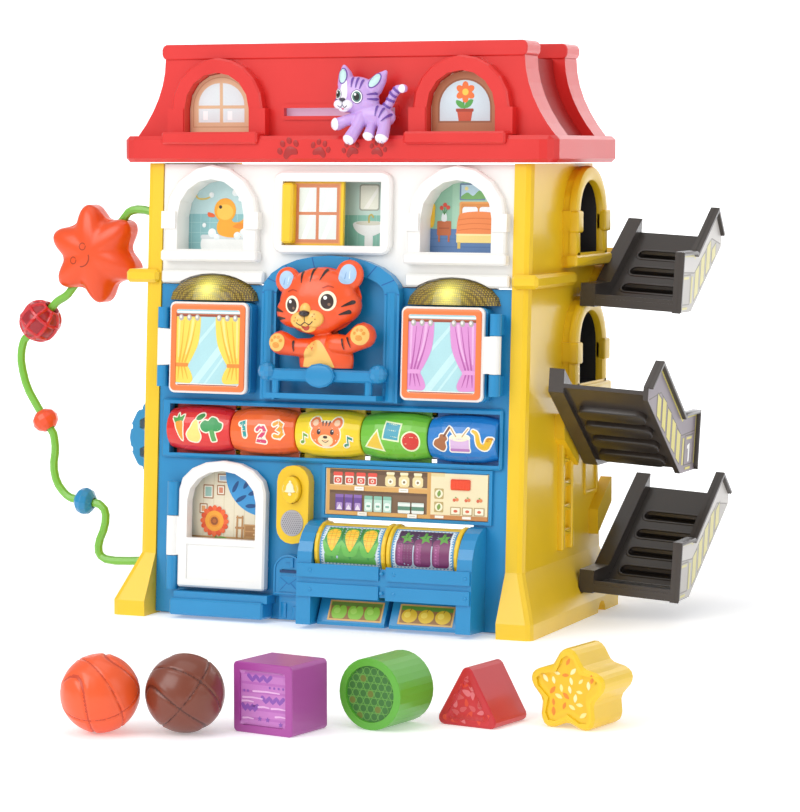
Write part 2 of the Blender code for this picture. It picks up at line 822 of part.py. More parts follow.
def arch_outline(centre, half, low, spring, rise=None, steps=8):
    """Straight legs from low to the spring line, and a round or oval arch over them."""
    rise = half if rise is None else rise
    points = [(centre - half, low), (centre + half, low)]
    for step in range(steps + 1):
        angle = math.pi * step / steps
        points.append((centre + half * math.cos(angle), spring + rise * math.sin(angle)))
    return points


def circle_outline(centre, radius, steps=ROUND_SIDES, stretch=1.0):
    angles = [2 * math.pi * step / steps for step in range(steps)]
    return [(centre[0] + radius * math.cos(a), centre[1] + radius * stretch * math.sin(a)) for a in angles]


def star_outline(centre, tip, waist, count, turn=math.pi / 2, steps=6):
    """A soft star: its radius swings between waist and tip."""
    middle, swing = (tip + waist) / 2, (tip - waist) / 2
    points = []
    for step in range(count * steps):
        angle = 2 * math.pi * step / (count * steps)
        radius = middle + swing * math.cos(count * angle)
        points.append(
            (centre[0] + radius * math.cos(angle + turn), centre[1] + radius * math.sin(angle + turn))
        )
    return points


def triangle_outline(centre, side, corner, steps=3):
    """A triangle on its flat side, with round corners."""
    reach = side / math.sqrt(3) - 2 * corner
    points = []
    for k in range(3):
        direction = math.pi / 2 + 2 * math.pi * k / 3
        a = centre[0] + reach * math.cos(direction)
        b = centre[1] + reach * math.sin(direction)
        for step in range(steps + 1):
            angle = direction - math.pi / 3 + 2 * math.pi / 3 * step / steps
            points.append((a + corner * math.cos(angle), b + corner * math.sin(angle)))
    return points


def front_y(z):
    """Where the front plane of the facade is at a height."""
    return FRONT_FOOT_Y + z * math.tan(FRONT_LEAN)


def rear_y(z):
    return REAR_FOOT_Y - z * math.tan(REAR_LEAN)


def wall_ring(side, z, outer_x, front, rear):
    """One level of a side wall: square inside, round at its outer corners."""
    inner_x = HOUSE_HALF_WIDTH - COLUMN_WIDTH
    ring = [(inner_x, front), *corner_arc(outer_x, front, 1, -1), *corner_arc(outer_x, rear, 1, 1)]
    ring.append((inner_x, rear))
    return [(side * x, y, z) for x, y in ring]


def corner_arc(x, y, along_x, along_y, steps=2):
    centre_x = x - along_x * COLUMN_ROUND
    centre_y = y - along_y * COLUMN_ROUND
    angles = [math.pi / 2 * step / steps for step in range(steps + 1)]
    if along_y < 0:
        return [
            (centre_x + COLUMN_ROUND * math.sin(a), centre_y - COLUMN_ROUND * math.cos(a))
            for a in angles
        ]
    return [(centre_x + COLUMN_ROUND * math.cos(a), centre_y + COLUMN_ROUND * math.sin(a)) for a in angles]


def side_wall(side, name):
    """One side of the house: hollow inside, with a flared foot, a belt end and square columns."""
    top = WALL_TOP_Z - FIT
    levels = (
        (0, FOOT_OUTER_X, FOOT_FRONT_Y, FOOT_REAR_Y),
        (FOOT_EDGE_Z, FOOT_OUTER_X, FOOT_FRONT_Y, FOOT_REAR_Y),
        (FOOT_TOP_Z, HOUSE_HALF_WIDTH, front_y(FOOT_TOP_Z) - COLUMN_PROUD, rear_y(FOOT_TOP_Z)),
        (top, HOUSE_HALF_WIDTH, front_y(top) - COLUMN_PROUD, rear_y(top)),
    )
    wall = loft(name, None, [wall_ring(side, *level) for level in levels])
    cut(wall, wall_pocket(side), foot_notch(side))
    join(wall, belt_end(side))
    return wall


def wall_pocket(side):
    inner_x = HOUSE_HALF_WIDTH - COLUMN_WIDTH - OVERRUN
    outer_x = HOUSE_HALF_WIDTH - WALL_SKIN
    rings = []
    for z in (POCKET_LOW, WALL_TOP_Z - POCKET_EDGE):
        front, rear = front_y(z) + POCKET_EDGE, rear_y(z) - POCKET_EDGE
        corners = ((inner_x, front), (outer_x, front), (outer_x, rear), (inner_x, rear))
        rings.append([(side * x, y, z) for x, y in corners])
    return loft("wall_pocket", None, rings)


def foot_notch(side):
    reach = sorted((side * (HOUSE_HALF_WIDTH - COLUMN_WIDTH - OVERRUN), side * (FOOT_OUTER_X + OVERRUN)))
    start, end = ((x, FOOT_NOTCH_Y, 0) for x in reach)
    return rod("foot_notch", None, start, end, FOOT_NOTCH_RADIUS)


def belt_end(side):
    """The belt wraps round the column and stops on the side of the house."""
    front = front_y(BELT_LOW) - COLUMN_PROUD - BELT_PROUD
    proud = BELT_SIDE_PROUD if side > 0 else BELT_LUG_PROUD
    x = sorted((side * (HOUSE_HALF_WIDTH - COLUMN_WIDTH + TINY_ROUND), side * (HOUSE_HALF_WIDTH + proud)))
    y = (front, BELT_WRAP)
    return box("belt_end", None, x, y, (BELT_LOW, BELT_LOW + BELT_HEIGHT), BELT_ROUND)


def side_arch(wall, low):
    """An arched opening for the balls, with its moulding, clamps and sill."""
    outer_half = SIDE_ARCH_HALF + SIDE_ARCH_FRAME
    spring = low + SIDE_ARCH_HEIGHT - SIDE_ARCH_HALF
    inner_x = HOUSE_HALF_WIDTH - COLUMN_WIDTH + TINY_ROUND
    skin_x = HOUSE_HALF_WIDTH - WALL_SKIN / 2
    frame = arch_outline(SIDE_ARCH_Y, outer_half, low - SIDE_SILL_HEIGHT / 2, spring)
    hole = arch_outline(SIDE_ARCH_Y, SIDE_ARCH_HALF, low, spring)
    moulding = plate(
        "moulding", None, frame, "X", inner_x, HOUSE_HALF_WIDTH + SIDE_ARCH_PROUD, (), SMALL_ROUND
    )
    join(wall, moulding)
    for end in (-1, 1):
        y = sorted(
            (
                SIDE_ARCH_Y + end * (SIDE_ARCH_HALF + TINY_ROUND),
                SIDE_ARCH_Y + end * (outer_half + CLAMP_OVER),
            ),
        )
        clamp_low = low + SIDE_ARCH_CLAMP_RISE
        z = (clamp_low, clamp_low + SIDE_ARCH_CLAMP_HEIGHT)
        x = (skin_x, HOUSE_HALF_WIDTH + SIDE_ARCH_PROUD + CLAMP_OVER / 2)
        join(wall, box("clamp", None, x, y, z))
    half = outer_half + CLAMP_OVER
    y = (SIDE_ARCH_Y - half, SIDE_ARCH_Y + half)
    x = (skin_x, HOUSE_HALF_WIDTH + SIDE_SILL_PROUD)
    join(wall, box("sill", None, x, y, (low - SIDE_SILL_HEIGHT, low - TINY_ROUND), SMALL_ROUND))
    reach = (inner_x - COLUMN_WIDTH, HOUSE_HALF_WIDTH + COLUMN_WIDTH)
    cut(wall, plate("ball_opening", None, hole, "X", *reach))


def stair_bracket(wall, near, low, direction):
    """A slanted arm on the wall beside a stair."""
    rise = BRACKET_LENGTH * math.tan(STAIR_SLOPE)
    far = near + direction * BRACKET_LENGTH
    outline = [
        (near, low), (far, low + rise), (far, low + rise + BRACKET_HEIGHT), (near, low + BRACKET_HEIGHT)
    ]
    reach = (HOUSE_HALF_WIDTH - WALL_SKIN / 2, STAIR_INNER_X - FIT)
    join(wall, plate("bracket", None, outline, "X", *reach))


def ladder(wall):
    """A ladder in low relief beside the ground floor."""
    x = (HOUSE_HALF_WIDTH - WALL_SKIN / 2, HOUSE_HALF_WIDTH + LADDER_PROUD)
    z = (LADDER_LOW, LADDER_LOW + LADDER_HEIGHT)
    half = LADDER_WIDTH / 2
    for end in (-1, 1):
        y = sorted((LADDER_Y + end * half, LADDER_Y + end * (half - LADDER_RAIL)))
        join(wall, box("ladder_rail", None, x, y, z))
    pitch = LADDER_HEIGHT / LADDER_RUNGS
    inside = half - LADDER_RAIL / 2
    for rung in range(LADDER_RUNGS):
        low = LADDER_LOW + pitch * (rung + LADDER_RUNG_SHARE)
        z = (low, low + LADDER_RAIL)
        join(
            wall,
            box("ladder_rung", None, (x[0], x[1] - TINY_ROUND), (LADDER_Y - inside, LADDER_Y + inside), z),
        )


def right_wall():
    wall = side_wall(1, "side_wall_right")
    for low in SIDE_ARCH_LOWS:
        side_arch(wall, low)
    stair_bracket(wall, BRACKET_Y, STAIR_TOP_Z, 1)
    stair_bracket(wall, STAIR_MIDDLE_Y - BRACKET_Y + STAIR_BOTTOM_Y, STAIR_MIDDLE_Z, -1)
    stair_bracket(wall, BRACKET_Y, STAIR_BOTTOM_Z + BRACKET_RISE, 1)
    ladder(wall)
    reach = FOOT_OUTER_X + OVERRUN
    seat_z = (STAIR_BOTTOM_Z - STAIR_SEAT_DROP, FOOT_TOP_Z)
    cut(
        wall,
        box(
            "stair_seat",
            None,
            (STAIR_INNER_X - FIT, reach),
            (STAIR_BOTTOM_Y - OVERRUN, FOOT_REAR_Y + OVERRUN),
            seat_z,
        ),
    )
    as_part(wall, "side_wall_right", "yellow")


def left_wall():
    """The left side carries the bead wire and the bearings of the wheel."""
    wall = side_wall(-1, "side_wall_left")
    clear = WHEEL_THICKNESS / 2 + WHEEL_SLOT_GAP
    slot_half = math.sqrt(WHEEL_RADIUS**2 - (HOUSE_HALF_WIDTH + WHEEL_X) ** 2) + WHEEL_SLOT_GAP
    x = (-HOUSE_HALF_WIDTH - OVERRUN, -HOUSE_HALF_WIDTH + COLUMN_WIDTH + OVERRUN)
    cut(
        wall,
        box(
            "wheel_slot",
            None,
            x,
            (WHEEL_Y - clear, WHEEL_Y + clear),
            (WHEEL_Z - slot_half, WHEEL_Z + slot_half),
        ),
    )
    inner = -HOUSE_HALF_WIDTH + COLUMN_WIDTH + WHEEL_AXLE_REACH
    for end in (-1, 1):
        y = sorted((WHEEL_Y + end * clear, WHEEL_Y + end * (clear + WHEEL_AXLE_REACH)))
        z = (WHEEL_Z - BEARING_RADIUS, WHEEL_Z + BEARING_RADIUS)
        join(wall, box("bearing", None, (-HOUSE_HALF_WIDTH + WALL_SKIN / 2, inner), y, z))
    reach = clear + WHEEL_AXLE_REACH + OVERRUN
    start, end = (WHEEL_X, WHEEL_Y - reach, WHEEL_Z), (WHEEL_X, WHEEL_Y + reach, WHEEL_Z)
    cut(wall, rod("bearing_bore", None, start, end, WHEEL_AXLE_RADIUS + RUN_FIT, sides=ROUND_SIDES))
    for route_x, z in (WIRE_POINTS[0], WIRE_POINTS[-1]):
        x = route_x - HOUSE_HALF_WIDTH
        start, end = (x + COLUMN_WIDTH, WIRE_Y, z), (x - COLUMN_WIDTH - FOOT_EDGE_Z, WIRE_Y, z)
        cut(wall, rod("wire_socket", None, start, end, WIRE_RADIUS + FIT, sides=SMALL_SIDES))
    as_part(wall, "side_wall_left", "yellow")


def base_tray():
    half = HOUSE_HALF_WIDTH - COLUMN_WIDTH - FIT
    y = (FRONT_FOOT_Y + TRAY_FRONT_GAP, REAR_FOOT_Y - TRAY_REAR_GAP)
    tray = box("base_tray", None, (-half, half), y, (0, TRAY_RIM))
    inner = half - TRAY_THICKNESS
    inside = (y[0] + TRAY_THICKNESS, y[1] - TRAY_THICKNESS)
    cut(tray, box("tray_inside", None, (-inner, inner), inside, (TRAY_THICKNESS, TRAY_RIM + OVERRUN)))
    as_part(tray, "base_tray", "blue")


def arch_window(facade_plate, frame, centre):
    outer_half = ARCH_OPENING_HALF + ARCH_FRAME
    outer = arch_outline(centre, outer_half, ARCH_BOTTOM - SILL_HEIGHT / 2, ARCH_SPRING)
    inner = arch_outline(centre, ARCH_OPENING_HALF, ARCH_BOTTOM, ARCH_SPRING)
    join(facade_plate, plate("window_frame", frame, outer, "Y", -ARCH_PROUD, ARCH_TUNNEL, (), SMALL_ROUND))
    for end in (-1, 1):
        x = sorted(
            (centre + end * (ARCH_OPENING_HALF + TINY_ROUND), centre + end * (outer_half + CLAMP_OVER))
        )
        z = (CLAMP_LOW, CLAMP_LOW + CLAMP_HEIGHT)
        join(facade_plate, box("clamp", frame, x, (-CLAMP_PROUD, FIT), z))
    x = (centre - SILL_HALF, centre + SILL_HALF)
    z = (ARCH_BOTTOM - SILL_HEIGHT, ARCH_BOTTOM - TINY_ROUND)
    join(facade_plate, box("sill", frame, x, (-SILL_PROUD, FIT), z, SMALL_ROUND))
    cut(
        facade_plate,
        plate("window_opening", frame, inner, "Y", -ARCH_PROUD - OVERRUN, ARCH_TUNNEL + OVERRUN),
    )


def middle_window(facade_plate, frame):
    """A window with a groove all round inside its frame, where the pane slides."""
    low = (MIDDLE_X - MIDDLE_HALF, MIDDLE_LOW)
    high = (MIDDLE_X + MIDDLE_HALF, MIDDLE_LOW + MIDDLE_HEIGHT)
    outline = rounded_outline(low, high, MIDDLE_CORNER)
    join(
        facade_plate,
        plate("middle_frame", frame, outline, "Y", -MIDDLE_PROUD, MIDDLE_PROUD, (), SMALL_ROUND),
    )
    x = (MIDDLE_X - PANE_OPENING_HALF, MIDDLE_X + PANE_OPENING_HALF)
    z = (PANE_OPENING_LOW, PANE_OPENING_LOW + PANE_OPENING_HEIGHT)
    reach = MIDDLE_PROUD + OVERRUN
    cut(facade_plate, box("middle_opening", frame, x, (-reach, reach), z))
    lip = PANE_LIP + FIT
    groove = PANE_THICKNESS / 2 + FIT
    x = (x[0] - FIT, x[1] + FIT)
    cut(facade_plate, box("pane_groove", frame, x, (-groove, groove), (z[0] - lip, z[1] + lip)))


def facade_belt(facade_plate, frame):
    """The belt stops at the balcony and at the lamps."""
    half = HOUSE_HALF_WIDTH - COLUMN_WIDTH - SMALL_ROUND
    for end in (-1, 1):
        x = sorted((end * half, BALCONY_X + end * (BALCONY_HALF + SMALL_ROUND)))
        belt = box(
            "belt", frame, x, (-BELT_PROUD, FIT), (BELT_LOW + FIT, BELT_LOW + BELT_HEIGHT), SMALL_ROUND
        )
        gap = FIT * 2
        shade = arch_outline(
            end * LAMP_X, LAMP_HALF + gap, BELT_LOW - BELT_HEIGHT, LAMP_LOW, LAMP_RISE + gap, 12
        )
        cut(belt, plate("belt_gap", frame, shade, "Y", -BELT_PROUD - OVERRUN, -FIT / 2))
        join(facade_plate, belt)


def upper_facade(frame):
    half = HOUSE_HALF_WIDTH - COLUMN_WIDTH - FIT
    z = (BELT_LOW + FIT, UPPER_TOP)
    wall = box("upper_facade", frame, (-half, half), (0, FACADE_THICKNESS), z)
    for end in (-1, 1):
        arch_window(wall, frame, end * ARCH_WINDOW_X)
    middle_window(wall, frame)
    facade_belt(wall, frame)
    as_part(wall, "upper_facade", "white")


def window_cards(frame):
    """Thin boards that carry the pictures seen through the windows."""
    half = ARCH_WINDOW_X + ARCH_OPENING_HALF + BOARD_MARGIN
    y = (ARCH_TUNNEL + FIT, ARCH_TUNNEL + FIT + BOARD_THICKNESS)
    z = (ARCH_BOTTOM - BOARD_MARGIN, ARCH_SPRING + ARCH_OPENING_HALF + BOARD_MARGIN)
    as_part(box("upper_window_card", frame, (-half, half), y, z), "upper_window_card", "print")
    half = BOX_X + BOX_HALF
    y = (FACADE_THICKNESS + FIT, FACADE_THICKNESS + FIT + BOARD_THICKNESS)
    card = box("shutter_window_card", frame, (-half, half), y, (BOX_LOW, BOX_LOW + BOX_HEIGHT))
    cut(card, stem_hole("card_hole", frame, CUB_X, CUB_STEM_HEIGHT, CUB_STEM_RADIUS + SLIDE_FIT))
    as_part(card, "shutter_window_card", "print")
    x = (DOOR_LEFT_X - BOARD_MARGIN / 2, DOOR_LEFT_X + DOOR_WIDTH)
    card = box("door_card", frame, x, y, (DOOR_LOW - BOARD_MARGIN, DOOR_LOW + DOOR_HEIGHT - FIT))
    as_part(card, "door_card", "print")


def stem_hole(name, frame, x, z, radius):
    reach = FACADE_THICKNESS + COUNTER_PROUD
    return rod(name, frame, (x, -reach, z), (x, reach, z), radius, sides=ROUND_SIDES)


def sliding_window(frame):
    x = (MIDDLE_X - PANE_OPENING_HALF, MIDDLE_X - PANE_OPENING_HALF + PANE_WIDTH)
    z = (PANE_OPENING_LOW - PANE_LIP, PANE_OPENING_LOW + PANE_OPENING_HEIGHT + PANE_LIP)
    pane = box("sliding_window", frame, x, (-PANE_THICKNESS / 2, PANE_THICKNESS / 2), z)
    grip_x = (x[0] + TINY_ROUND, x[0] + PANE_GRIP_WIDTH)
    grip_z = (z[0] + PANE_LIP + SMALL_ROUND, z[1] - PANE_LIP - SMALL_ROUND)
    join(pane, box("grip", frame, grip_x, (-PANE_GRIP_PROUD, FIT), grip_z, SMALL_ROUND))
    as_part(on_joint(pane, "sliding_window_joint", (x[0], 0, z[0])), "sliding_window", "yellow")


def lamps(frame):
    for name, x in (("lamp_lens_left", -LAMP_X), ("lamp_lens_right", LAMP_X)):
        lens = ellipsoid(name, frame, (x, -FIT, LAMP_LOW), (LAMP_HALF, LAMP_DEPTH, LAMP_RISE), ROUND_SIDES)
        reach = LAMP_HALF + OVERRUN
        cut(
            lens,
            box(
                "lamp_back",
                frame,
                (x - reach, x + reach),
                (-FIT, LAMP_HALF),
                (LAMP_LOW - reach, LAMP_LOW + reach),
            ),
        )
        below = (LAMP_LOW - reach, LAMP_LOW)
        cut(lens, box("lamp_under", frame, (x - reach, x + reach), (-LAMP_HALF, LAMP_HALF), below))
        as_part(lens, name, "gold")


def lower_facade(frame):
    half = HOUSE_HALF_WIDTH - COLUMN_WIDTH - FIT
    wall = box(
        "lower_facade", frame, (-half, half), (0, FACADE_THICKNESS), (GROUND_CLEARANCE, BELT_LOW - FIT)
    )
    key_strip(wall, frame)
    for end in (-1, 1):
        shutter_box(wall, frame, end)
    doorway(wall, frame)
    door_steps(wall, frame)
    letter_box(wall, frame)
    shelf_rim(wall, frame)
    crates(wall, frame)
    drum_slot(wall, frame)
    for end in (-1, 1):
        x = end * (CIRCUIT_HALF - CIRCUIT_POST_RADIUS)
        start, stop = (x, FACADE_THICKNESS / 2, KEY_CENTRE), (x, circuit_y() - FIT, KEY_CENTRE)
        join(wall, rod("circuit_post", frame, start, stop, CIRCUIT_POST_RADIUS, sides=WHEEL_CUT_SIDES))
    cut(wall, stem_hole("cub_stem_hole", frame, CUB_X, CUB_STEM_HEIGHT, CUB_STEM_RADIUS + SLIDE_FIT))
    cut(wall, stem_hole("bell_stem_hole", frame, BELL_X, BELL_CENTRE, BELL_STEM_RADIUS + SLIDE_FIT))
    as_part(wall, "lower_facade", "blue")


def key_strip(wall, frame):
    x = (-KEY_STRIP_HALF, KEY_STRIP_HALF)
    z = (KEY_STRIP_LOW, KEY_STRIP_LOW + KEY_STRIP_HEIGHT)
    join(wall, box("key_strip", frame, x, (-KEY_STRIP_PROUD, FIT), z, SMALL_ROUND))
    reach = KEY_COUNT * KEY_PITCH / 2 + FIT
    x = (KEYS_X - reach, KEYS_X + reach)
    half = KEY_MIDDLE_RADIUS + SLIDE_FIT
    depth = KEY_STRIP_PROUD + FACADE_THICKNESS
    cut(wall, box("key_opening", frame, x, (-depth, depth), (KEY_CENTRE - half, KEY_CENTRE + half)))


def shutter_box(wall, frame, end):
    """A raised window box with an opening, and the fixed knuckles of its shutter's hinge."""
    low, high = (end * BOX_X - BOX_HALF, BOX_LOW), (end * BOX_X + BOX_HALF, BOX_LOW + BOX_HEIGHT)
    outline = rounded_outline(low, high, SHUTTER_CORNER)
    join(wall, plate("window_box", frame, outline, "Y", -BOX_PROUD, FIT, (), TINY_ROUND))
    low = (low[0] + BOX_WALL, low[1] + BOX_WALL)
    high = (high[0] - BOX_WALL, high[1] - BOX_WALL)
    opening = rounded_outline(low, high, SHUTTER_CORNER / 2)
    cut(wall, plate("box_opening", frame, opening, "Y", -BOX_PROUD - OVERRUN, FACADE_THICKNESS + OVERRUN))
    for z in shutter_knuckles()[::2]:
        hinge_knuckle(wall, frame, end * SHUTTER_HINGE_X, -BOX_PROUD, z, HINGE_RADIUS)


def shutter_knuckles():
    """Low and high ends of the three knuckles of a shutter's hinge: fixed, moving, fixed."""
    low, high = BOX_LOW + HINGE_RADIUS, BOX_LOW + BOX_HEIGHT - HINGE_RADIUS
    middle = (high - low) * SHUTTER_KNUCKLE_SHARE / 2
    centre = (low + high) / 2
    return (low, centre - middle - FIT), (centre - middle, centre + middle), (centre + middle + FIT, high)


def hinge_knuckle(wall, frame, x, y, z, radius):
    """A knuckle with a web back to the wall, and a bore for the pin."""
    join(wall, rod("knuckle", frame, (x, y, z[0]), (x, y, z[1]), radius, sides=ROUND_SIDES))
    web = radius * HINGE_WEB_SHARE
    join(
        wall,
        box("knuckle_web", frame, (x - web, x + web), (y, FIT), (z[0] + TINY_ROUND, z[1] - TINY_ROUND)),
    )
    cut(
        wall,
        rod(
            "pin_bore",
            frame,
            (x, y, z[0] - FIT / 2),
            (x, y, z[1] + FIT / 2),
            HINGE_PIN_RADIUS + RUN_FIT,
            sides=ROUND_SIDES,
        ),
    )


def hinge_pin(name, frame, x, y, low, high):
    return as_part(
        rod(name, frame, (x, y, low), (x, y, high), HINGE_PIN_RADIUS, sides=ROUND_SIDES), name, "steel"
    )


def shutters(frame):
    """Window shutters with a pane opening each, hinged on their outer sides."""
    for end, name in ((-1, "shutter_left"), (1, "shutter_right")):
        half = BOX_HALF - SHUTTER_CORNER / 4
        low, high = (end * BOX_X - half, BOX_LOW), (end * BOX_X + half, BOX_LOW + BOX_HEIGHT)
        outline = rounded_outline(low, high, SHUTTER_CORNER)
        front = -BOX_PROUD - FIT - SHUTTER_THICKNESS
        leaf = plate(name, frame, outline, "Y", front, front + SHUTTER_THICKNESS, (), TINY_ROUND)
        _, z, _ = shutter_knuckles()
        x = sorted((end * SHUTTER_HINGE_X, end * (BOX_X + half - SHUTTER_CORNER)))
        arm_z = (z[0] + FIT, z[1] - FIT)
        join(leaf, box("leaf_arm", frame, x, (front + TINY_ROUND, front + SHUTTER_THICKNESS - FIT), arm_z))
        hinge = (end * SHUTTER_HINGE_X, -BOX_PROUD)
        join(
            leaf,
            rod("leaf_knuckle", frame, (*hinge, z[0]), (*hinge, z[1]), HINGE_RADIUS, sides=ROUND_SIDES),
        )
        cut(
            leaf,
            rod(
                "leaf_bore",
                frame,
                (*hinge, z[0] - FIT),
                (*hinge, z[1] + FIT),
                HINGE_PIN_RADIUS + RUN_FIT,
                sides=ROUND_SIDES,
            ),
        )
        join(leaf, window_bars(frame, end * BOX_X, half, front))
        on_joint(leaf, name + "_joint", (*hinge, BOX_LOW))
        as_part(leaf, name, "white")
        high = BOX_LOW + BOX_HEIGHT - HINGE_RADIUS
        hinge_pin(name.replace("shutter", "shutter_pin"), frame, *hinge, BOX_LOW + HINGE_RADIUS, high)


def window_bars(frame, centre, half, front):
    """The raised rim round the pane of a shutter."""
    inset = half * SHUTTER_RIM_SHARE
    rise = BOX_HEIGHT * SHUTTER_RIM_SHARE / 2
    rings = []
    for edge in (0, SHUTTER_RIM):
        low = (centre - half + inset + edge, BOX_LOW + rise + edge)
        high = (centre + half - inset - edge, BOX_LOW + BOX_HEIGHT - rise - edge)
        rings.append(rounded_outline(low, high, SHUTTER_CORNER - edge))
    return plate("shutter_rim", frame, rings[0], "Y", front - TINY_ROUND, front + TINY_ROUND, rings[1:])


def door_arch(margin, low):
    """The front door's outline, drawn in by a margin."""
    centre, half = DOOR_LEFT_X + DOOR_WIDTH / 2, DOOR_WIDTH / 2 - margin
    top = DOOR_LOW + DOOR_HEIGHT - margin
    return arch_outline(centre, half, low, top - DOOR_RISE, DOOR_RISE)


def door_knuckles():
    low, high = DOOR_KNUCKLE_LOW, DOOR_KNUCKLE_LOW + DOOR_KNUCKLE_HEIGHT
    return (low - DOOR_HINGE_REACH, low - FIT), (low, high), (high + FIT, high + DOOR_HINGE_REACH)


def doorway(wall, frame):
    outline = door_arch(DOORWAY_MARGIN, DOOR_LOW + DOORWAY_MARGIN)
    cut(wall, plate("doorway", frame, outline, "Y", -OVERRUN, FACADE_THICKNESS + OVERRUN))
    for z in door_knuckles()[::2]:
        hinge_knuckle(wall, frame, DOOR_LEFT_X - DOOR_HINGE_OFFSET, -DOOR_HINGE_PROUD, z, DOOR_HINGE_RADIUS)


def front_door(frame):
    front = -DOOR_BACK_GAP - DOOR_THICKNESS
    door = plate("front_door", frame, door_arch(0, DOOR_LOW), "Y", front, -DOOR_BACK_GAP, (), SMALL_ROUND)
    window = door_arch(DOOR_WINDOW_SIDE, DOOR_WINDOW_LOW)
    cut(door, plate("door_window", frame, window, "Y", front - OVERRUN, OVERRUN))
    x = (DOOR_LEFT_X + DOOR_WINDOW_SIDE, DOOR_LEFT_X + DOOR_WIDTH - DOOR_WINDOW_SIDE)
    z = (DOOR_PANEL_LOW, DOOR_PANEL_LOW + DOOR_PANEL_HEIGHT)
    cut(door, box("door_panel", frame, x, (front - OVERRUN, front + DOOR_PANEL_DEPTH), z))
    hinge = (DOOR_LEFT_X - DOOR_HINGE_OFFSET, -DOOR_HINGE_PROUD)
    _, z, _ = door_knuckles()
    x = (hinge[0], DOOR_LEFT_X + SMALL_ROUND * 2)
    arm_z = (z[0] + FIT, z[1] - FIT)
    join(door, box("door_arm", frame, x, (front + SMALL_ROUND, -DOOR_BACK_GAP - SMALL_ROUND), arm_z))
    join(
        door,
        rod("door_knuckle", frame, (*hinge, z[0]), (*hinge, z[1]), DOOR_HINGE_RADIUS, sides=ROUND_SIDES),
    )
    cut(
        door,
        rod(
            "door_bore",
            frame,
            (*hinge, z[0] - FIT),
            (*hinge, z[1] + FIT),
            HINGE_PIN_RADIUS + RUN_FIT,
            sides=ROUND_SIDES,
        ),
    )
    as_part(on_joint(door, "front_door_joint", (*hinge, DOOR_LOW)), "front_door", "white")
    lower, _, upper = door_knuckles()
    hinge_pin("door_pin", frame, *hinge, lower[0], upper[1])


def door_steps(wall, frame):
    right = STEP_LEFT_X + STEP_WIDTH
    z = (GROUND_CLEARANCE, GROUND_CLEARANCE + STEP_LOWER_HEIGHT)
    join(wall, box("lower_step", frame, (STEP_LEFT_X, right), (-STEP_LOWER_PROUD, FIT), z, SMALL_ROUND))
    z = (z[1] - TINY_ROUND, STEP_UPPER_HEIGHT)
    x = (STEP_LEFT_X + STEP_INSET, right + STEP_INSET)
    join(wall, box("upper_step", frame, x, (-STEP_UPPER_PROUD, FIT), z))


def letter_box(wall, frame):
    spring = MAIL_LOW + MAIL_HEIGHT - MAIL_HALF
    outline = arch_outline(MAIL_X, MAIL_HALF, MAIL_LOW, spring)
    body = plate("letter_box", frame, outline, "Y", -MAIL_PROUD, FIT)
    x = (MAIL_X - MAIL_SLOT_HALF, MAIL_X + MAIL_SLOT_HALF)
    cut(
        body,
        box(
            "letter_slot", frame, x, (-MAIL_PROUD * 2, -MAIL_PROUD / 2), (spring, spring + MAIL_SLOT_HEIGHT)
        ),
    )
    join(wall, body)
    x = (MAIL_X - MAIL_POST_HALF, MAIL_X + MAIL_POST_HALF)
    z = (GROUND_CLEARANCE, MAIL_LOW + SMALL_ROUND)
    join(wall, box("letter_post", frame, x, (-MAIL_PROUD + SMALL_ROUND, FIT), z))


def shelf_rim(wall, frame):
    """The frame of the shelf picture, with the slot of the switch in its corner."""
    half, top = SHELF_HALF + SHELF_RIM, SHELF_LOW + SHELF_HEIGHT
    z = (SHELF_LOW - SHELF_RIM, top + SHELF_RIM)
    join(wall, box("shelf_rim", frame, (SHELF_X - half, SHELF_X + half), (-SHELF_RIM, FIT), z))
    x = (SHELF_X - SHELF_HALF, SHELF_X + SHELF_HALF)
    cut(wall, box("shelf_pocket", frame, x, (-SHELF_RIM - OVERRUN, FIT / 2), (SHELF_LOW, top)))
    join(wall, switch_seat(frame, "switch_seat", 0, -SWITCH_SEAT_PROUD, FIT))
    slot = (SWITCH_X - SWITCH_SLOT_HALF, SWITCH_X + SWITCH_SLOT_HALF)
    z = (SWITCH_CENTRE - SWITCH_SLOT_HEIGHT / 2, SWITCH_CENTRE + SWITCH_SLOT_HEIGHT / 2)
    reach = FACADE_THICKNESS + OVERRUN
    cut(wall, box("switch_slot", frame, slot, (-reach, reach), z))


def switch_seat(frame, name, margin, front, back):
    half, rise = SWITCH_HALF + margin, SWITCH_FRAME_HEIGHT / 2 + margin
    low, high = (SWITCH_X - half, SWITCH_CENTRE - rise), (SWITCH_X + half, SWITCH_CENTRE + rise)
    return plate(name, frame, rounded_outline(low, high, SHUTTER_CORNER), "Y", front, back)


def shelf_card(frame):
    half, top = SHELF_HALF - FIT, SHELF_LOW + SHELF_HEIGHT - FIT
    y = (-FIT - SHELF_THICKNESS, -FIT)
    card = box("shelf_card", frame, (SHELF_X - half, SHELF_X + half), y, (SHELF_LOW + FIT, top))
    cut(card, switch_seat(frame, "card_corner", FIT, -SHELF_RIM, OVERRUN))
    as_part(card, "shelf_card", "print")


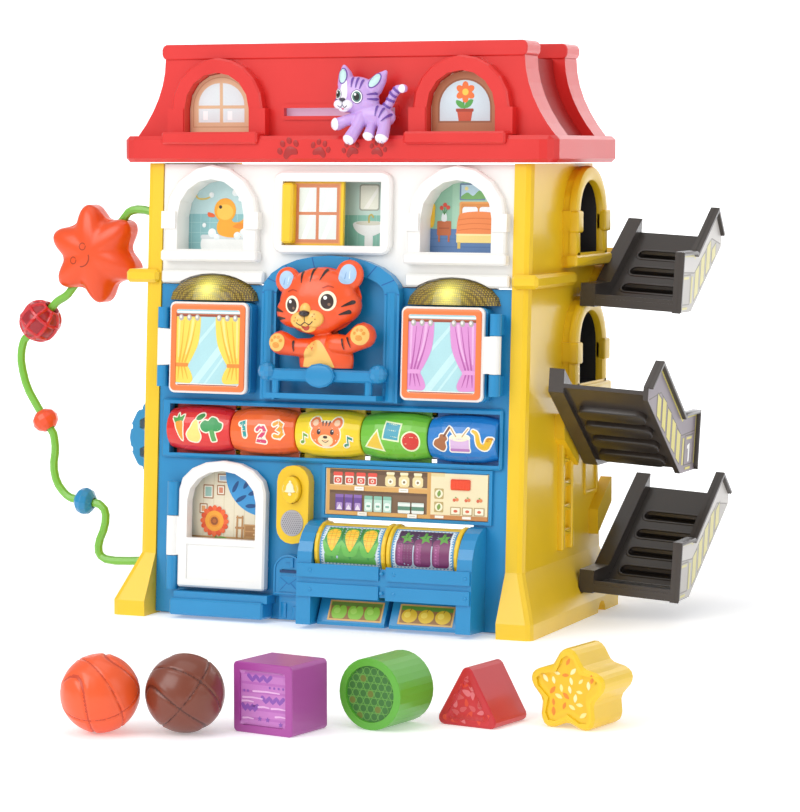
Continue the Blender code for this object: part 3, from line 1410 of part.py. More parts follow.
def power_switch(frame):
    """A slide switch held by a flange behind the wall."""
    rest = SWITCH_X - SWITCH_TRAVEL / 2
    height = SWITCH_SLOT_HEIGHT / 2 - FIT
    x = (rest - SWITCH_KNOB_HALF, rest + SWITCH_KNOB_HALF)
    z = (SWITCH_CENTRE - height, SWITCH_CENTRE + height)
    back = FACADE_THICKNESS + FIT
    knob = box("power_switch", frame, x, (-SWITCH_PROUD - FIT, back + FIT), z, TINY_ROUND)
    x = (x[0] - FACADE_THICKNESS, x[1] + FACADE_THICKNESS)
    z = (z[0] - SMALL_ROUND, z[1] + SMALL_ROUND)
    join(knob, box("switch_flange", frame, x, (back, back + SMALL_ROUND), z))
    as_part(on_joint(knob, "power_switch_joint", (rest, 0, SWITCH_CENTRE)), "power_switch", "red")


def drum_slot(wall, frame):
    z = (DRUM_AXIS_HEIGHT - DRUM_RIM_RADIUS - SMALL_ROUND, DRUM_AXIS_HEIGHT + DRUM_RIM_RADIUS + SMALL_ROUND)
    half = DRUM_PITCH + SMALL_ROUND
    x = (COUNTER_X - half, COUNTER_X + half)
    cut(wall, box("drum_slot", frame, x, (-OVERRUN, FACADE_THICKNESS + OVERRUN), z))


def crates(wall, frame):
    """Two crates under the counter with sloped fronts for their pictures."""
    for end in (-1, 1):
        x = COUNTER_X + end * CRATE_X_OFFSET
        back, slope = CRATE_BACK_Y, CRATE_FRONT_Y + CRATE_FRONT_HEIGHT
        outline = [
            (FIT, GROUND_CLEARANCE),
            (CRATE_FRONT_Y, GROUND_CLEARANCE),
            (CRATE_FRONT_Y, GROUND_CLEARANCE + CRATE_STEP),
            (slope, CRATE_HEIGHT),
            (back, CRATE_HEIGHT + CRATE_STEP),
            (FIT, CRATE_HEIGHT + CRATE_STEP),
        ]
        join(wall, plate("crate", frame, outline, "X", x - CRATE_HALF, x + CRATE_HALF))


def counter(frame):
    """Shop counter: side panels with rounded shoulders, a front of boards and blind bores for the axle."""
    shoulder = COUNTER_TOP - COUNTER_SHOULDER
    side = [(-FIT, GROUND_CLEARANCE), (-COUNTER_PROUD, GROUND_CLEARANCE)]
    for step in range(SHOULDER_STEPS + 1):
        angle = math.pi / 2 * step / SHOULDER_STEPS
        reach = COUNTER_PROUD - FIT
        side.append((-FIT - reach * math.cos(angle), COUNTER_SHOULDER + shoulder * math.sin(angle)))
    left, right = COUNTER_X - COUNTER_HALF, COUNTER_X + COUNTER_HALF
    body = plate("counter", frame, side, "X", left, left + COUNTER_END_WIDTH)
    join(
        body,
        box(
            "counter_skin",
            frame,
            (left + SMALL_ROUND, right - SMALL_ROUND),
            skin_y(),
            board_rows(0, -OVERRUN),
        ),
    )
    join(body, plate("counter_side", frame, side, "X", right - COUNTER_END_WIDTH, right))
    for row in range(2):
        for end in (-1, 1):
            counter_board(body, frame, row, end)
    inner = COUNTER_HALF - COUNTER_END_WIDTH + AXLE_END
    start, end = ((COUNTER_X + s * inner, DRUM_AXIS_Y, DRUM_AXIS_HEIGHT) for s in (-1, 1))
    cut(body, rod("axle_bores", frame, start, end, AXLE_RADIUS + RUN_FIT, sides=ROUND_SIDES))
    as_part(body, "counter", "blue")


def skin_y():
    return (-COUNTER_PROUD, -COUNTER_PROUD + COUNTER_SKIN)


def board_rows(row, margin):
    low = COUNTER_BOARD_LOW + row * COUNTER_BOARD_PITCH
    if margin:
        return (low - margin, low + COUNTER_BOARD_PITCH + COUNTER_BOARD_HEIGHT + margin)
    return (low, low + COUNTER_BOARD_HEIGHT)


def counter_board(body, frame, row, end):
    near, far = COUNTER_X + end * COUNTER_BOARD_GAP / 2, COUNTER_X + end * (COUNTER_HALF - TINY_ROUND)
    z = board_rows(row, 0)
    y = (-COUNTER_PROUD - COUNTER_BOARD_PROUD, -COUNTER_PROUD + SMALL_ROUND)
    join(body, box("board", frame, sorted((near, far)), y, z))


def drums(frame):
    """Two drums that turn on the same axle, each with a raised rim at both ends."""
    half = DRUM_PITCH / 2 - FIT
    rim = half - DRUM_RIM_WIDTH
    profile = (
        (0, half),
        (DRUM_RIM_RADIUS - TINY_ROUND, half),
        (DRUM_RIM_RADIUS, half - TINY_ROUND),
        (DRUM_RIM_RADIUS, rim),
        (DRUM_RADIUS, rim - TINY_ROUND),
        (DRUM_RADIUS, -rim + TINY_ROUND),
        (DRUM_RIM_RADIUS, -rim),
        (DRUM_RIM_RADIUS, -half + TINY_ROUND),
        (DRUM_RIM_RADIUS - TINY_ROUND, -half),
        (0, -half),
    )
    for end, name in ((-1, "drum_left"), (1, "drum_right")):
        centre = (COUNTER_X + end * DRUM_PITCH / 2, DRUM_AXIS_Y, DRUM_AXIS_HEIGHT)
        drum = turned(name, frame, profile, centre, "X")
        reach = half + OVERRUN
        start, stop = ((centre[0] + s * reach, *centre[1:]) for s in (-1, 1))
        cut(drum, rod("drum_bore", frame, start, stop, AXLE_RADIUS + RUN_FIT, sides=ROUND_SIDES))
        as_part(on_joint(drum, name + "_joint", centre), name, "yellow")
    inner = COUNTER_HALF - COUNTER_END_WIDTH + AXLE_END - FIT
    start, stop = ((COUNTER_X + s * inner, DRUM_AXIS_Y, DRUM_AXIS_HEIGHT) for s in (-1, 1))
    as_part(rod("drum_axle", frame, start, stop, AXLE_RADIUS, sides=ROUND_SIDES), "drum_axle", "steel")


def doorbell(frame):
    """The yellow doorbell plate: hollow, with an opening for the button and holes over the speaker."""
    low = (BELL_X - BELL_PLATE_HALF, BELL_PLATE_LOW)
    high = (BELL_X + BELL_PLATE_HALF, BELL_PLATE_LOW + BELL_PLATE_HEIGHT)
    outline = rounded_outline(low, high, BELL_PLATE_HALF - TINY_ROUND, 4)
    body = plate("doorbell_plate", frame, outline, "Y", -BELL_PLATE_PROUD, -FIT, (), SMALL_ROUND)
    low, high = ((p + s * BELL_PLATE_WALL for p in corner) for corner, s in ((low, 1), (high, -1)))
    inside = rounded_outline(tuple(low), tuple(high), BELL_PLATE_HALF - BELL_PLATE_WALL - TINY_ROUND, 4)
    cut(body, plate("plate_inside", frame, inside, "Y", -BELL_PLATE_PROUD + BELL_PLATE_WALL, OVERRUN))
    opening = circle_outline((BELL_X, BELL_CENTRE), BELL_WIDTH / 2 + FIT, ROUND_SIDES, BELL_STRETCH)
    cut(body, plate("bell_opening", frame, opening, "Y", -BELL_PLATE_PROUD - OVERRUN, -SMALL_ROUND))
    for step in range(GRILLE_HOLE_COUNT):
        angle = 2 * math.pi * step / GRILLE_HOLE_COUNT
        x = BELL_X + GRILLE_HOLE_RING * math.cos(angle)
        z = GRILLE_CENTRE + GRILLE_HOLE_RING * math.sin(angle)
        start, stop = (x, -BELL_PLATE_PROUD - OVERRUN, z), (x, -SMALL_ROUND, z)
        cut(body, rod("speaker_hole", frame, start, stop, GRILLE_HOLE_RADIUS, sides=WHEEL_CUT_SIDES))
    as_part(body, "doorbell_plate", "yellow")


def bell_button(frame):
    front = -BELL_PLATE_PROUD - BELL_PROUD
    cap = circle_outline((BELL_X, BELL_CENTRE), BELL_WIDTH / 2, ROUND_SIDES, BELL_STRETCH)
    behind = -BELL_PLATE_PROUD + BELL_PLATE_WALL + FIT
    button = plate("bell_button", frame, cap, "Y", front, behind + FIT, (), TINY_ROUND)
    flange = circle_outline((BELL_X, BELL_CENTRE), BELL_WIDTH / 2 + SMALL_ROUND, ROUND_SIDES, BELL_STRETCH)
    join(button, plate("bell_flange", frame, flange, "Y", behind, behind + SMALL_ROUND))
    start = (BELL_X, behind, BELL_CENTRE)
    stop = (BELL_X, FACADE_THICKNESS + BELL_TRAVEL, BELL_CENTRE)
    join(button, rod("bell_stem", frame, start, stop, BELL_STEM_RADIUS))
    as_part(on_joint(button, "bell_button_joint", (BELL_X, front, BELL_CENTRE)), "bell_button", "yellow")


def keys(frame):
    """Five barrel keys in one opening, each held by a flange behind the wall."""
    half = KEY_PITCH / 2 - FIT
    shoulder = half * KEY_SHOULDER_SHARE
    middle = (KEY_MIDDLE_RADIUS + KEY_END_RADIUS) / 2
    profile = (
        (0, half),
        (KEY_END_RADIUS - TINY_ROUND, half),
        (KEY_END_RADIUS, half - TINY_ROUND),
        (middle + TINY_ROUND, shoulder),
        (KEY_MIDDLE_RADIUS, 0),
        (middle + TINY_ROUND, -shoulder),
        (KEY_END_RADIUS, -half + TINY_ROUND),
        (KEY_END_RADIUS - TINY_ROUND, -half),
        (0, -half),
    )
    back = FACADE_THICKNESS + FIT
    for index, name in enumerate(KEY_NAMES):
        x = KEYS_X + (index - (KEY_COUNT - 1) / 2) * KEY_PITCH
        key = turned(name, frame, profile, (x, KEY_AXIS_Y, KEY_CENTRE), "X", KEY_SIDES)
        wide = (x - half - OVERRUN, x + half + OVERRUN)
        tall = (KEY_CENTRE - KEY_MIDDLE_RADIUS - OVERRUN, KEY_CENTRE + KEY_MIDDLE_RADIUS + OVERRUN)
        cut(key, box("key_back", frame, wide, (back + SMALL_ROUND / 2, back + KEY_MIDDLE_RADIUS), tall))
        wide = (x - half + OVERRUN, x + half - OVERRUN)
        tall = (KEY_CENTRE - KEY_FLANGE_HALF, KEY_CENTRE + KEY_FLANGE_HALF)
        join(key, box("key_flange", frame, wide, (back, back + SMALL_ROUND), tall))
        on_joint(key, name + "_joint", (x, KEY_AXIS_Y, KEY_CENTRE))
        as_part(key, name, name.split("_")[1])


def circuit_y():
    return FACADE_THICKNESS + FIT + SMALL_ROUND + KEY_TRAVEL + KEYPAD_GAP


def circuit_board(frame):
    """The board behind the keys, held by two posts of the front."""
    y = circuit_y()
    z = (KEY_CENTRE - CIRCUIT_HEIGHT / 2, KEY_CENTRE + CIRCUIT_HEIGHT / 2)
    board = box("circuit_board", frame, (-CIRCUIT_HALF, CIRCUIT_HALF), (y, y + CIRCUIT_THICKNESS), z)
    z = (KEY_CENTRE - CHIP_SIZE / 2, KEY_CENTRE + CHIP_SIZE / 2)
    chip_y = (y + CIRCUIT_THICKNESS - FIT, y + CIRCUIT_THICKNESS + CHIP_HEIGHT)
    join(board, box("chip", frame, (-CHIP_SIZE, CHIP_SIZE), chip_y, z))
    as_part(board, "circuit_board", "board_green")


def speaker(frame):
    y = FACADE_THICKNESS + FIT
    start, stop = (BELL_X, y, GRILLE_CENTRE), (BELL_X, y + SPEAKER_DEPTH, GRILLE_CENTRE)
    driver = rod("speaker", frame, start, stop, SPEAKER_RADIUS, SPEAKER_RADIUS * MAGNET_SHARE, ROUND_SIDES)
    as_part(driver, "speaker", "black")


def balcony(frame):
    """Balcony with a back plate, a pointed arch, columns and a rail with balls on its ends."""
    outline = arch_outline(BALCONY_X, BALCONY_HALF, BALCONY_LOW, BALCONY_SPRING, BALCONY_RISE, 12)
    body = plate("balcony", frame, outline, "Y", -BALCONY_ARCH_PROUD, -FIT)
    half, rise = BALCONY_HALF - BALCONY_ARCH_WIDTH, BALCONY_RISE - BALCONY_ARCH_WIDTH
    inner = arch_outline(BALCONY_X, half, BALCONY_LOW - OVERRUN, BALCONY_SPRING, rise, 12)
    cut(
        body, plate("balcony_recess", frame, inner, "Y", -BALCONY_ARCH_PROUD - OVERRUN, -FIT - BALCONY_BACK)
    )
    for end in (-1, 1):
        x = BALCONY_X + end * (BALCONY_HALF - BALCONY_ARCH_WIDTH / 2)
        start, stop = (x, COLUMN_Y, BALCONY_LOW + TINY_ROUND), (x, COLUMN_Y, BALCONY_SPRING + TINY_ROUND)
        join(body, rod("balcony_column", frame, start, stop, COLUMN_RADIUS))
        arm = (BALCONY_X + end * FINIAL_X - RAIL_DEPTH / 2, BALCONY_X + end * FINIAL_X + RAIL_DEPTH / 2)
        z = (RAIL_LOW + TINY_ROUND, RAIL_LOW + RAIL_HEIGHT - TINY_ROUND)
        join(body, box("rail_arm", frame, arm, (RAIL_Y, -FIT - TINY_ROUND), z))
        centre = (BALCONY_X + end * FINIAL_X, RAIL_Y, FINIAL_CENTRE)
        join(body, ellipsoid("finial", frame, centre, (FINIAL_RADIUS, FINIAL_RADIUS, FINIAL_RADIUS)))
    reach, depth = FINIAL_X, RAIL_DEPTH / 2
    x = (BALCONY_X - reach, BALCONY_X + reach)
    y = (RAIL_Y - depth, RAIL_Y + depth)
    join(body, box("rail", frame, x, y, (RAIL_LOW, RAIL_LOW + RAIL_HEIGHT), SMALL_ROUND))
    ledge_z = (BALCONY_LOW + SMALL_ROUND, BALCONY_LOW + SMALL_ROUND + LEDGE_HEIGHT)
    join(body, box("ledge", frame, x, (RAIL_Y - depth, -FIT * 2), ledge_z))
    for share in BALUSTER_SHARES:
        spot = (BALCONY_X + share * 2 * reach, RAIL_Y)
        start, stop = (*spot, ledge_z[0] + TINY_ROUND), (*spot, RAIL_LOW + TINY_ROUND)
        join(body, rod("baluster", frame, start, stop, BALUSTER_RADIUS))
    plaque = circle_outline(
        (BALCONY_X, RAIL_LOW + RAIL_HEIGHT / 2), PLAQUE_HALF_WIDTH, SMALL_SIDES, PLAQUE_STRETCH
    )
    y = (RAIL_Y - depth - PLAQUE_PROUD, RAIL_Y - depth + TINY_ROUND)
    join(body, plate("plaque", frame, plaque, "Y", *y))
    cut(body, stem_hole("balcony_stem_hole", frame, CUB_X, CUB_STEM_HEIGHT, CUB_STEM_RADIUS + SLIDE_FIT))
    as_part(body, "balcony", "blue")


def cub_button(frame):
    """A cub that leans over the balcony. The whole figure is one push button."""
    flat = -BALCONY_ARCH_PROUD - CUB_TRAVEL - SLIDE_FIT
    head = (CUB_HEAD_WIDTH / 2, CUB_HEAD_DEPTH / 2, CUB_HEAD_HEIGHT / 2)
    spot = (CUB_HEAD_X, CUB_Y, CUB_HEAD_CENTRE)
    cub = ellipsoid("tiger_button", frame, spot, head, ROUND_SIDES, CUB_HEAD_TURN)
    muzzle = (CUB_MUZZLE_WIDTH / 2, CUB_MUZZLE_HEIGHT / 2, CUB_MUZZLE_HEIGHT / 2)
    spot = (CUB_MUZZLE_X, CUB_Y - head[1] + SMALL_ROUND * 2, CUB_HEAD_CENTRE - CUB_MUZZLE_DROP)
    join(cub, ellipsoid("muzzle", frame, spot, muzzle))
    body = (CUB_BODY_WIDTH / 2, CUB_BODY_DEPTH / 2, CUB_BODY_HEIGHT / 2)
    join(cub, ellipsoid("cub_body", frame, (CUB_BODY_X, CUB_Y, CUB_BODY_CENTRE), body))
    for x, z, radius in CUB_EARS:
        join(cub, ellipsoid("ear", frame, (x, CUB_Y, z), (radius, radius / 2, radius)))
    for (x, z), (shoulder_x, shoulder_z) in zip(CUB_PAWS, CUB_SHOULDERS):
        paw = (x, CUB_Y - CUB_PAW_RADIUS / 2, z)
        start = (shoulder_x, CUB_Y - FIT, shoulder_z)
        join(cub, rod("arm", frame, start, paw, CUB_PAW_RADIUS * CUB_ARM_SHARE))
        join(cub, ellipsoid("paw", frame, paw, (CUB_PAW_RADIUS, CUB_PAW_RADIUS, CUB_PAW_RADIUS)))
    wide = (CUB_X - CUB_HEAD_WIDTH, CUB_X + CUB_HEAD_WIDTH)
    deep = (CUB_Y - CUB_HEAD_DEPTH, flat + CUB_HEAD_WIDTH)
    tall = (CUB_BODY_FLOOR - CUB_BODY_HEIGHT, CUB_HEAD_CENTRE + CUB_HEAD_WIDTH)
    cut(cub, box("cub_back", frame, wide, (flat, deep[1]), tall))
    cut(cub, box("cub_floor", frame, wide, deep, (tall[0], CUB_BODY_FLOOR)))
    start = (CUB_X, flat - SMALL_ROUND, CUB_STEM_HEIGHT)
    stop = (CUB_X, FACADE_THICKNESS + CUB_STEM_TAIL, CUB_STEM_HEIGHT)
    join(cub, rod("cub_stem", frame, start, stop, CUB_STEM_RADIUS, sides=ROUND_SIDES))
    on_joint(cub, "tiger_button_joint", (CUB_X, flat, CUB_STEM_HEIGHT))
    as_part(cub, "tiger_button", "orange")


def roof_half(z):
    """Half the roof's width at a height: its sides sweep out towards the eave."""
    low, high = ROOF_LOW_Z, ROOF_TOP_Z - ROOF_CAP_HEIGHT
    share = (high - z) / (high - low)
    return ROOF_HALF_TOP + (ROOF_HALF_BOTTOM - ROOF_HALF_TOP) * share**ROOF_CURVE_POWER


def roof_outline(low, high, inset):
    levels = [low + (high - low) * step / ROOF_CURVE_STEPS for step in range(ROOF_CURVE_STEPS + 1)]
    right = [(roof_half(min(z, ROOF_TOP_Z - ROOF_CAP_HEIGHT)) - inset, z) for z in levels]
    return right + [(-x, z) for x, z in reversed(right)]


def roof_shell():
    """The roof in one moulding: eave, a slab at the front and one at the back, both hollow from below."""
    low, eave_top = WALL_TOP_Z + FIT, WALL_TOP_Z + EAVE_HEIGHT
    outline = rounded_outline((-EAVE_HALF_WIDTH, EAVE_FRONT_Y), (EAVE_HALF_WIDTH, EAVE_REAR_Y), EAVE_CORNER)
    roof = plate("roof_shell", None, outline, "Z", low, eave_top, (), EAVE_ROUND)
    high = ROOF_TOP_Z - ROOF_CAP_HEIGHT
    cap_low, cap_high = (-ROOF_CAP_HALF - ROOF_CAP_FLARE, high - FIT), (
        ROOF_CAP_HALF + ROOF_CAP_FLARE, ROOF_TOP_Z
    )
    for front, rear in roof_slabs():
        join(roof, plate("slab", None, roof_outline(eave_top - SMALL_ROUND, high, 0), "Y", front, rear))
        cap = rounded_outline(cap_low, cap_high, SHUTTER_CORNER)
        join(roof, plate("cap", None, cap, "Y", front - ROOF_CAP_PROUD, rear, (), TINY_ROUND))
    for end in (-1, 1):
        dormer(roof, end * DORMER_X)
    slot_frame(roof)
    half = HOUSE_HALF_WIDTH - COLUMN_WIDTH
    cut(roof, box("eave_inside", None, (-half, half), DECK_POCKET_Y, (low - OVERRUN, eave_top - ROOF_SKIN)))
    for front, rear in roof_slabs():
        inside = roof_outline(eave_top - ROOF_SKIN - OVERRUN, high, ROOF_END_WALL)
        cut(roof, plate("slab_inside", None, inside, "Y", front + ROOF_SKIN, rear - ROOF_SKIN))
    for end in (-1, 1):
        opening = arch_outline(
            end * DORMER_X, DORMER_HALF - DORMER_BAND, DORMER_SILL_Z + DORMER_SILL_HEIGHT, DORMER_SPRING_Z
        )
        cut(
            roof,
            plate(
                "dormer_opening",
                None,
                opening,
                "Y",
                ROOF_FRONT_Y - DORMER_PROUD * 2,
                ROOF_FRONT_Y + ROOF_SKIN + OVERRUN,
            ),
        )
    reach = (ROOF_FRONT_Y - DORMER_PROUD, ROOF_FRONT_Y + ROOF_SKIN + OVERRUN)
    cut(roof, box("kitten_slot", None, (SLOT_LEFT_X, SLOT_RIGHT_X), reach, slot_z()))
    start = (DROP_HOLE_X, TROUGH_Y, low)
    cut(
        roof,
        rod(
            "drop_hole",
            None,
            start,
            (DROP_HOLE_X, TROUGH_Y, ROOF_TOP_Z),
            DROP_HOLE_RADIUS + FIT,
            sides=ROUND_SIDES,
        ),
    )
    as_part(roof, "roof_shell", "red")


def roof_slabs():
    front = (ROOF_FRONT_Y, ROOF_FRONT_Y + ROOF_SLAB_DEPTH)
    return front, (ROOF_REAR_Y - ROOF_SLAB_DEPTH, ROOF_REAR_Y)


def slot_z():
    return (SLOT_Z - SLOT_HEIGHT / 2, SLOT_Z + SLOT_HEIGHT / 2)


def slot_frame(roof):
    """A low rim round the kitten's slot."""
    low, high = slot_z()
    outer = rounded_outline(
        (SLOT_LEFT_X - SLOT_FRAME, low - SLOT_FRAME),
        (SLOT_RIGHT_X + SLOT_FRAME, high + SLOT_FRAME),
        SLOT_FRAME,
    )
    join(
        roof, plate("slot_frame", None, outer, "Y", ROOF_FRONT_Y - SMALL_ROUND, ROOF_FRONT_Y + SMALL_ROUND)
    )


def dormer(roof, centre):
    outline = arch_outline(
        centre,
        DORMER_LEG_HALF,
        DORMER_LOW - TINY_ROUND,
        DORMER_SPRING_Z,
        DORMER_RISE,
        10,
    )
    front = ROOF_FRONT_Y - DORMER_PROUD
    join(roof, plate("dormer", None, outline, "Y", front, ROOF_FRONT_Y + ROOF_SKIN / 2, (), SMALL_ROUND))
    for end in (-1, 1):
        x = sorted((centre + end * DORMER_HALF, centre + end * (DORMER_HALF - DORMER_BAND + TINY_ROUND)))
        z = (DORMER_LOW - TINY_ROUND, DORMER_SPRING_Z)
        join(roof, box("dormer_leg", None, x, (front - TINY_ROUND, ROOF_FRONT_Y + ROOF_SKIN / 2), z))
    x = (centre - DORMER_SILL_HALF, centre + DORMER_SILL_HALF)
    y = (EAVE_FRONT_Y - DORMER_SILL_PROUD, ROOF_FRONT_Y + ROOF_SKIN / 2)
    z = (DORMER_SILL_Z, DORMER_SILL_Z + DORMER_SILL_HEIGHT)
    join(roof, box("dormer_sill", None, x, y, z, SMALL_ROUND))


def dormer_panes():
    for name, x in (("dormer_pane_left", -DORMER_X), ("dormer_pane_right", DORMER_X)):
        half = DORMER_HALF - DORMER_BAND - FIT
        low = DORMER_SILL_Z + DORMER_SILL_HEIGHT + FIT
        outline = arch_outline(x, half, low, DORMER_SPRING_Z)
        pane = plate(
            name, None, outline, "Y", ROOF_FRONT_Y + FIT, ROOF_FRONT_Y + FIT + DORMER_PANE_THICKNESS
        )
        as_part(pane, name, "print")


def roof_trough():
    """The tray between the slabs that leads a ball to the drop hole."""
    floor = ROOF_LOW_Z + FIT
    top = ROOF_TOP_Z - ROOF_CAP_HEIGHT - TROUGH_DROP
    front, rear = (ROOF_FRONT_Y + ROOF_SLAB_DEPTH + FIT, ROOF_REAR_Y - ROOF_SLAB_DEPTH - FIT)
    outline = roof_outline(floor, top, TROUGH_INSET)
    trough = plate("roof_trough", None, outline, "Y", front, rear)
    inside = roof_outline(floor + TROUGH_WALL, top + OVERRUN, TROUGH_INSET + TROUGH_WALL)
    cut(trough, plate("trough_inside", None, inside, "Y", front + TROUGH_WALL, rear - TROUGH_WALL))
    start = (DROP_HOLE_X, TROUGH_Y, floor - OVERRUN)
    cut(
        trough,
        rod("trough_hole", None, start, (DROP_HOLE_X, TROUGH_Y, top), DROP_HOLE_RADIUS, sides=ROUND_SIDES),
    )
    as_part(trough, "roof_trough", "dark_red")


def kitten():
    """A small walking kitten on a slider behind the roof's front. Its feet hang in front of the eave."""
    body = (KITTEN_BODY_LENGTH / 2, KITTEN_BODY_DEPTH / 2, KITTEN_BODY_HEIGHT / 2)
    spot = (KITTEN_BODY[0], KITTEN_Y, SLOT_Z + KITTEN_BODY[1])
    cat = ellipsoid("kitten_slider", None, spot, body)
    head = (KITTEN_HEAD_WIDTH / 2, KITTEN_BODY_DEPTH / 2 - FIT, KITTEN_HEAD_HEIGHT / 2)
    spot = (KITTEN_HEAD[0], KITTEN_Y, SLOT_Z + KITTEN_HEAD[1])
    join(cat, ellipsoid("kitten_head", None, spot, head, ROUND_SIDES))
    for base, tip in KITTEN_EARS:
        start = (base[0], KITTEN_Y, SLOT_Z + base[1])
        stop = (tip[0], KITTEN_Y, SLOT_Z + tip[1])
        join(cat, rod("kitten_ear", None, start, stop, KITTEN_EAR_RADIUS, SMALL_ROUND))
    for (hip_x, hip_z), foot in zip(KITTEN_HIPS, KITTEN_FEET):
        hip = (hip_x, KITTEN_Y, SLOT_Z + hip_z)
        toe = (foot[0], foot[1], SLOT_Z + foot[2])
        join(cat, rod("kitten_leg", None, hip, toe, KITTEN_LEG_RADIUS))
    for near, far in zip(KITTEN_TAIL, KITTEN_TAIL[1:]):
        start = (near[0], KITTEN_Y, SLOT_Z + near[1])
        stop = (far[0], KITTEN_Y, SLOT_Z + far[1])
        join(cat, rod("kitten_tail", None, start, stop, KITTEN_TAIL_RADIUS))
    x = (KITTEN_X - KITTEN_FOOT_WIDTH / 4, KITTEN_X + KITTEN_FOOT_WIDTH / 4)
    low, high = slot_z()
    behind = ROOF_FRONT_Y + ROOF_SKIN + FIT
    join(cat, box("kitten_stem", None, x, (KITTEN_Y, behind + FIT), (low + SLIDE_FIT, high - SLIDE_FIT)))
    x = (KITTEN_X - KITTEN_FOOT_WIDTH / 2, KITTEN_X + KITTEN_FOOT_WIDTH / 2)
    z = (SLOT_Z - KITTEN_FOOT_HEIGHT / 2, SLOT_Z + KITTEN_FOOT_HEIGHT / 2)
    join(cat, box("kitten_foot", None, x, (behind, behind + SMALL_ROUND), z))
    on_joint(cat, "kitten_slider_joint", (KITTEN_X, ROOF_FRONT_Y, SLOT_Z))
    as_part(cat, "kitten_slider", "lavender")


def inner_ramp():
    """A channel that leads a dropped ball out of the upper arch."""
    lip = RAMP_THICKNESS + RAMP_LIP
    start, end = (RAMP_START_X, RAMP_START_Z), (RAMP_END_X, RAMP_END_Z)
    outline = [start, end, (end[0], end[1] + lip), (start[0], start[1] + lip)]
    ramp = plate("inner_ramp", None, outline, "Y", *RAMP_Y)
    reach = RAMP_END_X - RAMP_START_X
    fall = (RAMP_START_Z - RAMP_END_Z) / reach
    left = (start[0] + RAMP_THICKNESS, start[1] + RAMP_THICKNESS * (1 - fall))
    right = (end[0] + OVERRUN, end[1] + RAMP_THICKNESS - OVERRUN * fall)
    inside = [left, right, (right[0], right[1] + lip), (left[0], left[1] + lip)]
    cut(
        ramp,
        plate("ramp_inside", None, inside, "Y", RAMP_Y[0] + RAMP_THICKNESS, RAMP_Y[1] - RAMP_THICKNESS),
    )
    as_part(ramp, "inner_ramp", "red")


def back_panels(frame):
    half = HOUSE_HALF_WIDTH - COLUMN_WIDTH - FIT
    y = (-PANEL_SET_BACK - PANEL_THICKNESS, -PANEL_SET_BACK)
    lower = box("back_panel_lower", frame, (-half, half), y, (GROUND_CLEARANCE, SORT_LOW - FIT))
    cut(lower, exit_arch(frame), battery_opening(frame, "battery_opening", 0, y[0] - OVERRUN, OVERRUN))
    as_part(lower, "back_panel_lower", "yellow")
    upper = box("back_panel_upper", frame, (-half, half), y, (SORT_LOW, REAR_TOP))
    reach = (y[0] - OVERRUN, OVERRUN)
    for index, outline in enumerate(sort_holes()):
        cut(upper, plate(f"sort_hole_{index}", frame, outline, "Y", *reach))
    as_part(upper, "back_panel_upper", "white")
    cover = battery_opening(frame, "battery_cover", FIT, y[0] + FIT, y[1])
    as_part(cover, "battery_cover", "white")
    battery_box(frame, y[0])


def exit_arch(frame):
    low, high = (-EXIT_HALF, -EXIT_CORNER * 2), (EXIT_HALF, EXIT_HEIGHT)
    return plate(
        "exit_arch", frame, rounded_outline(low, high, EXIT_CORNER), "Y", -PANEL_SET_BACK * 2, OVERRUN
    )


def battery_opening(frame, name, margin, front, back):
    half = BATTERY_HALF + COVER_MARGIN - margin
    low, high = BATTERY_LOW + margin, BATTERY_LOW + BATTERY_HEIGHT - margin
    outline = rounded_outline((BATTERY_X - half, low), (BATTERY_X + half, high), COVER_MARGIN)
    return plate(name, frame, outline, "Y", front, back)


def battery_box(frame, panel_y):
    """The battery box stands behind its cover and is open towards it."""
    x = (BATTERY_X - BATTERY_HALF, BATTERY_X + BATTERY_HALF)
    y = (panel_y - BATTERY_DEPTH, panel_y - FIT)
    z = (BATTERY_LOW + COVER_MARGIN, BATTERY_LOW + BATTERY_HEIGHT - COVER_MARGIN)
    case = box("battery_box", frame, x, y, z)
    x, z = ((pair[0] + BATTERY_WALL, pair[1] - BATTERY_WALL) for pair in (x, z))
    cut(case, box("battery_inside", frame, x, (y[0] + BATTERY_WALL, y[1] + OVERRUN), z))
    as_part(case, "battery_box", "black")


def sort_holes():
    """The four holes, each the outline of its block with a clearance."""
    grow = SORT_CLEARANCE
    row = [(index - 1.5) * SORT_PITCH for index in range(4)]
    half = CUBE_SIDE / 2 + grow
    square = rounded_outline(
        (row[0] - half, SORT_CENTRE - half), (row[0] + half, SORT_CENTRE + half), BLOCK_ROUND
    )
    circle = circle_outline((row[1], SORT_CENTRE), DROP_HOLE_RADIUS)
    triangle = triangle_outline((row[2], SORT_CENTRE), TRIANGLE_SIDE + grow * 4, TRIANGLE_ROUND)
    star = star_outline(
        (row[3], SORT_CENTRE), STAR_BLOCK_RADIUS + grow, STAR_BLOCK_WAIST + grow, STAR_BLOCK_POINTS
    )
    return square, circle, triangle, star


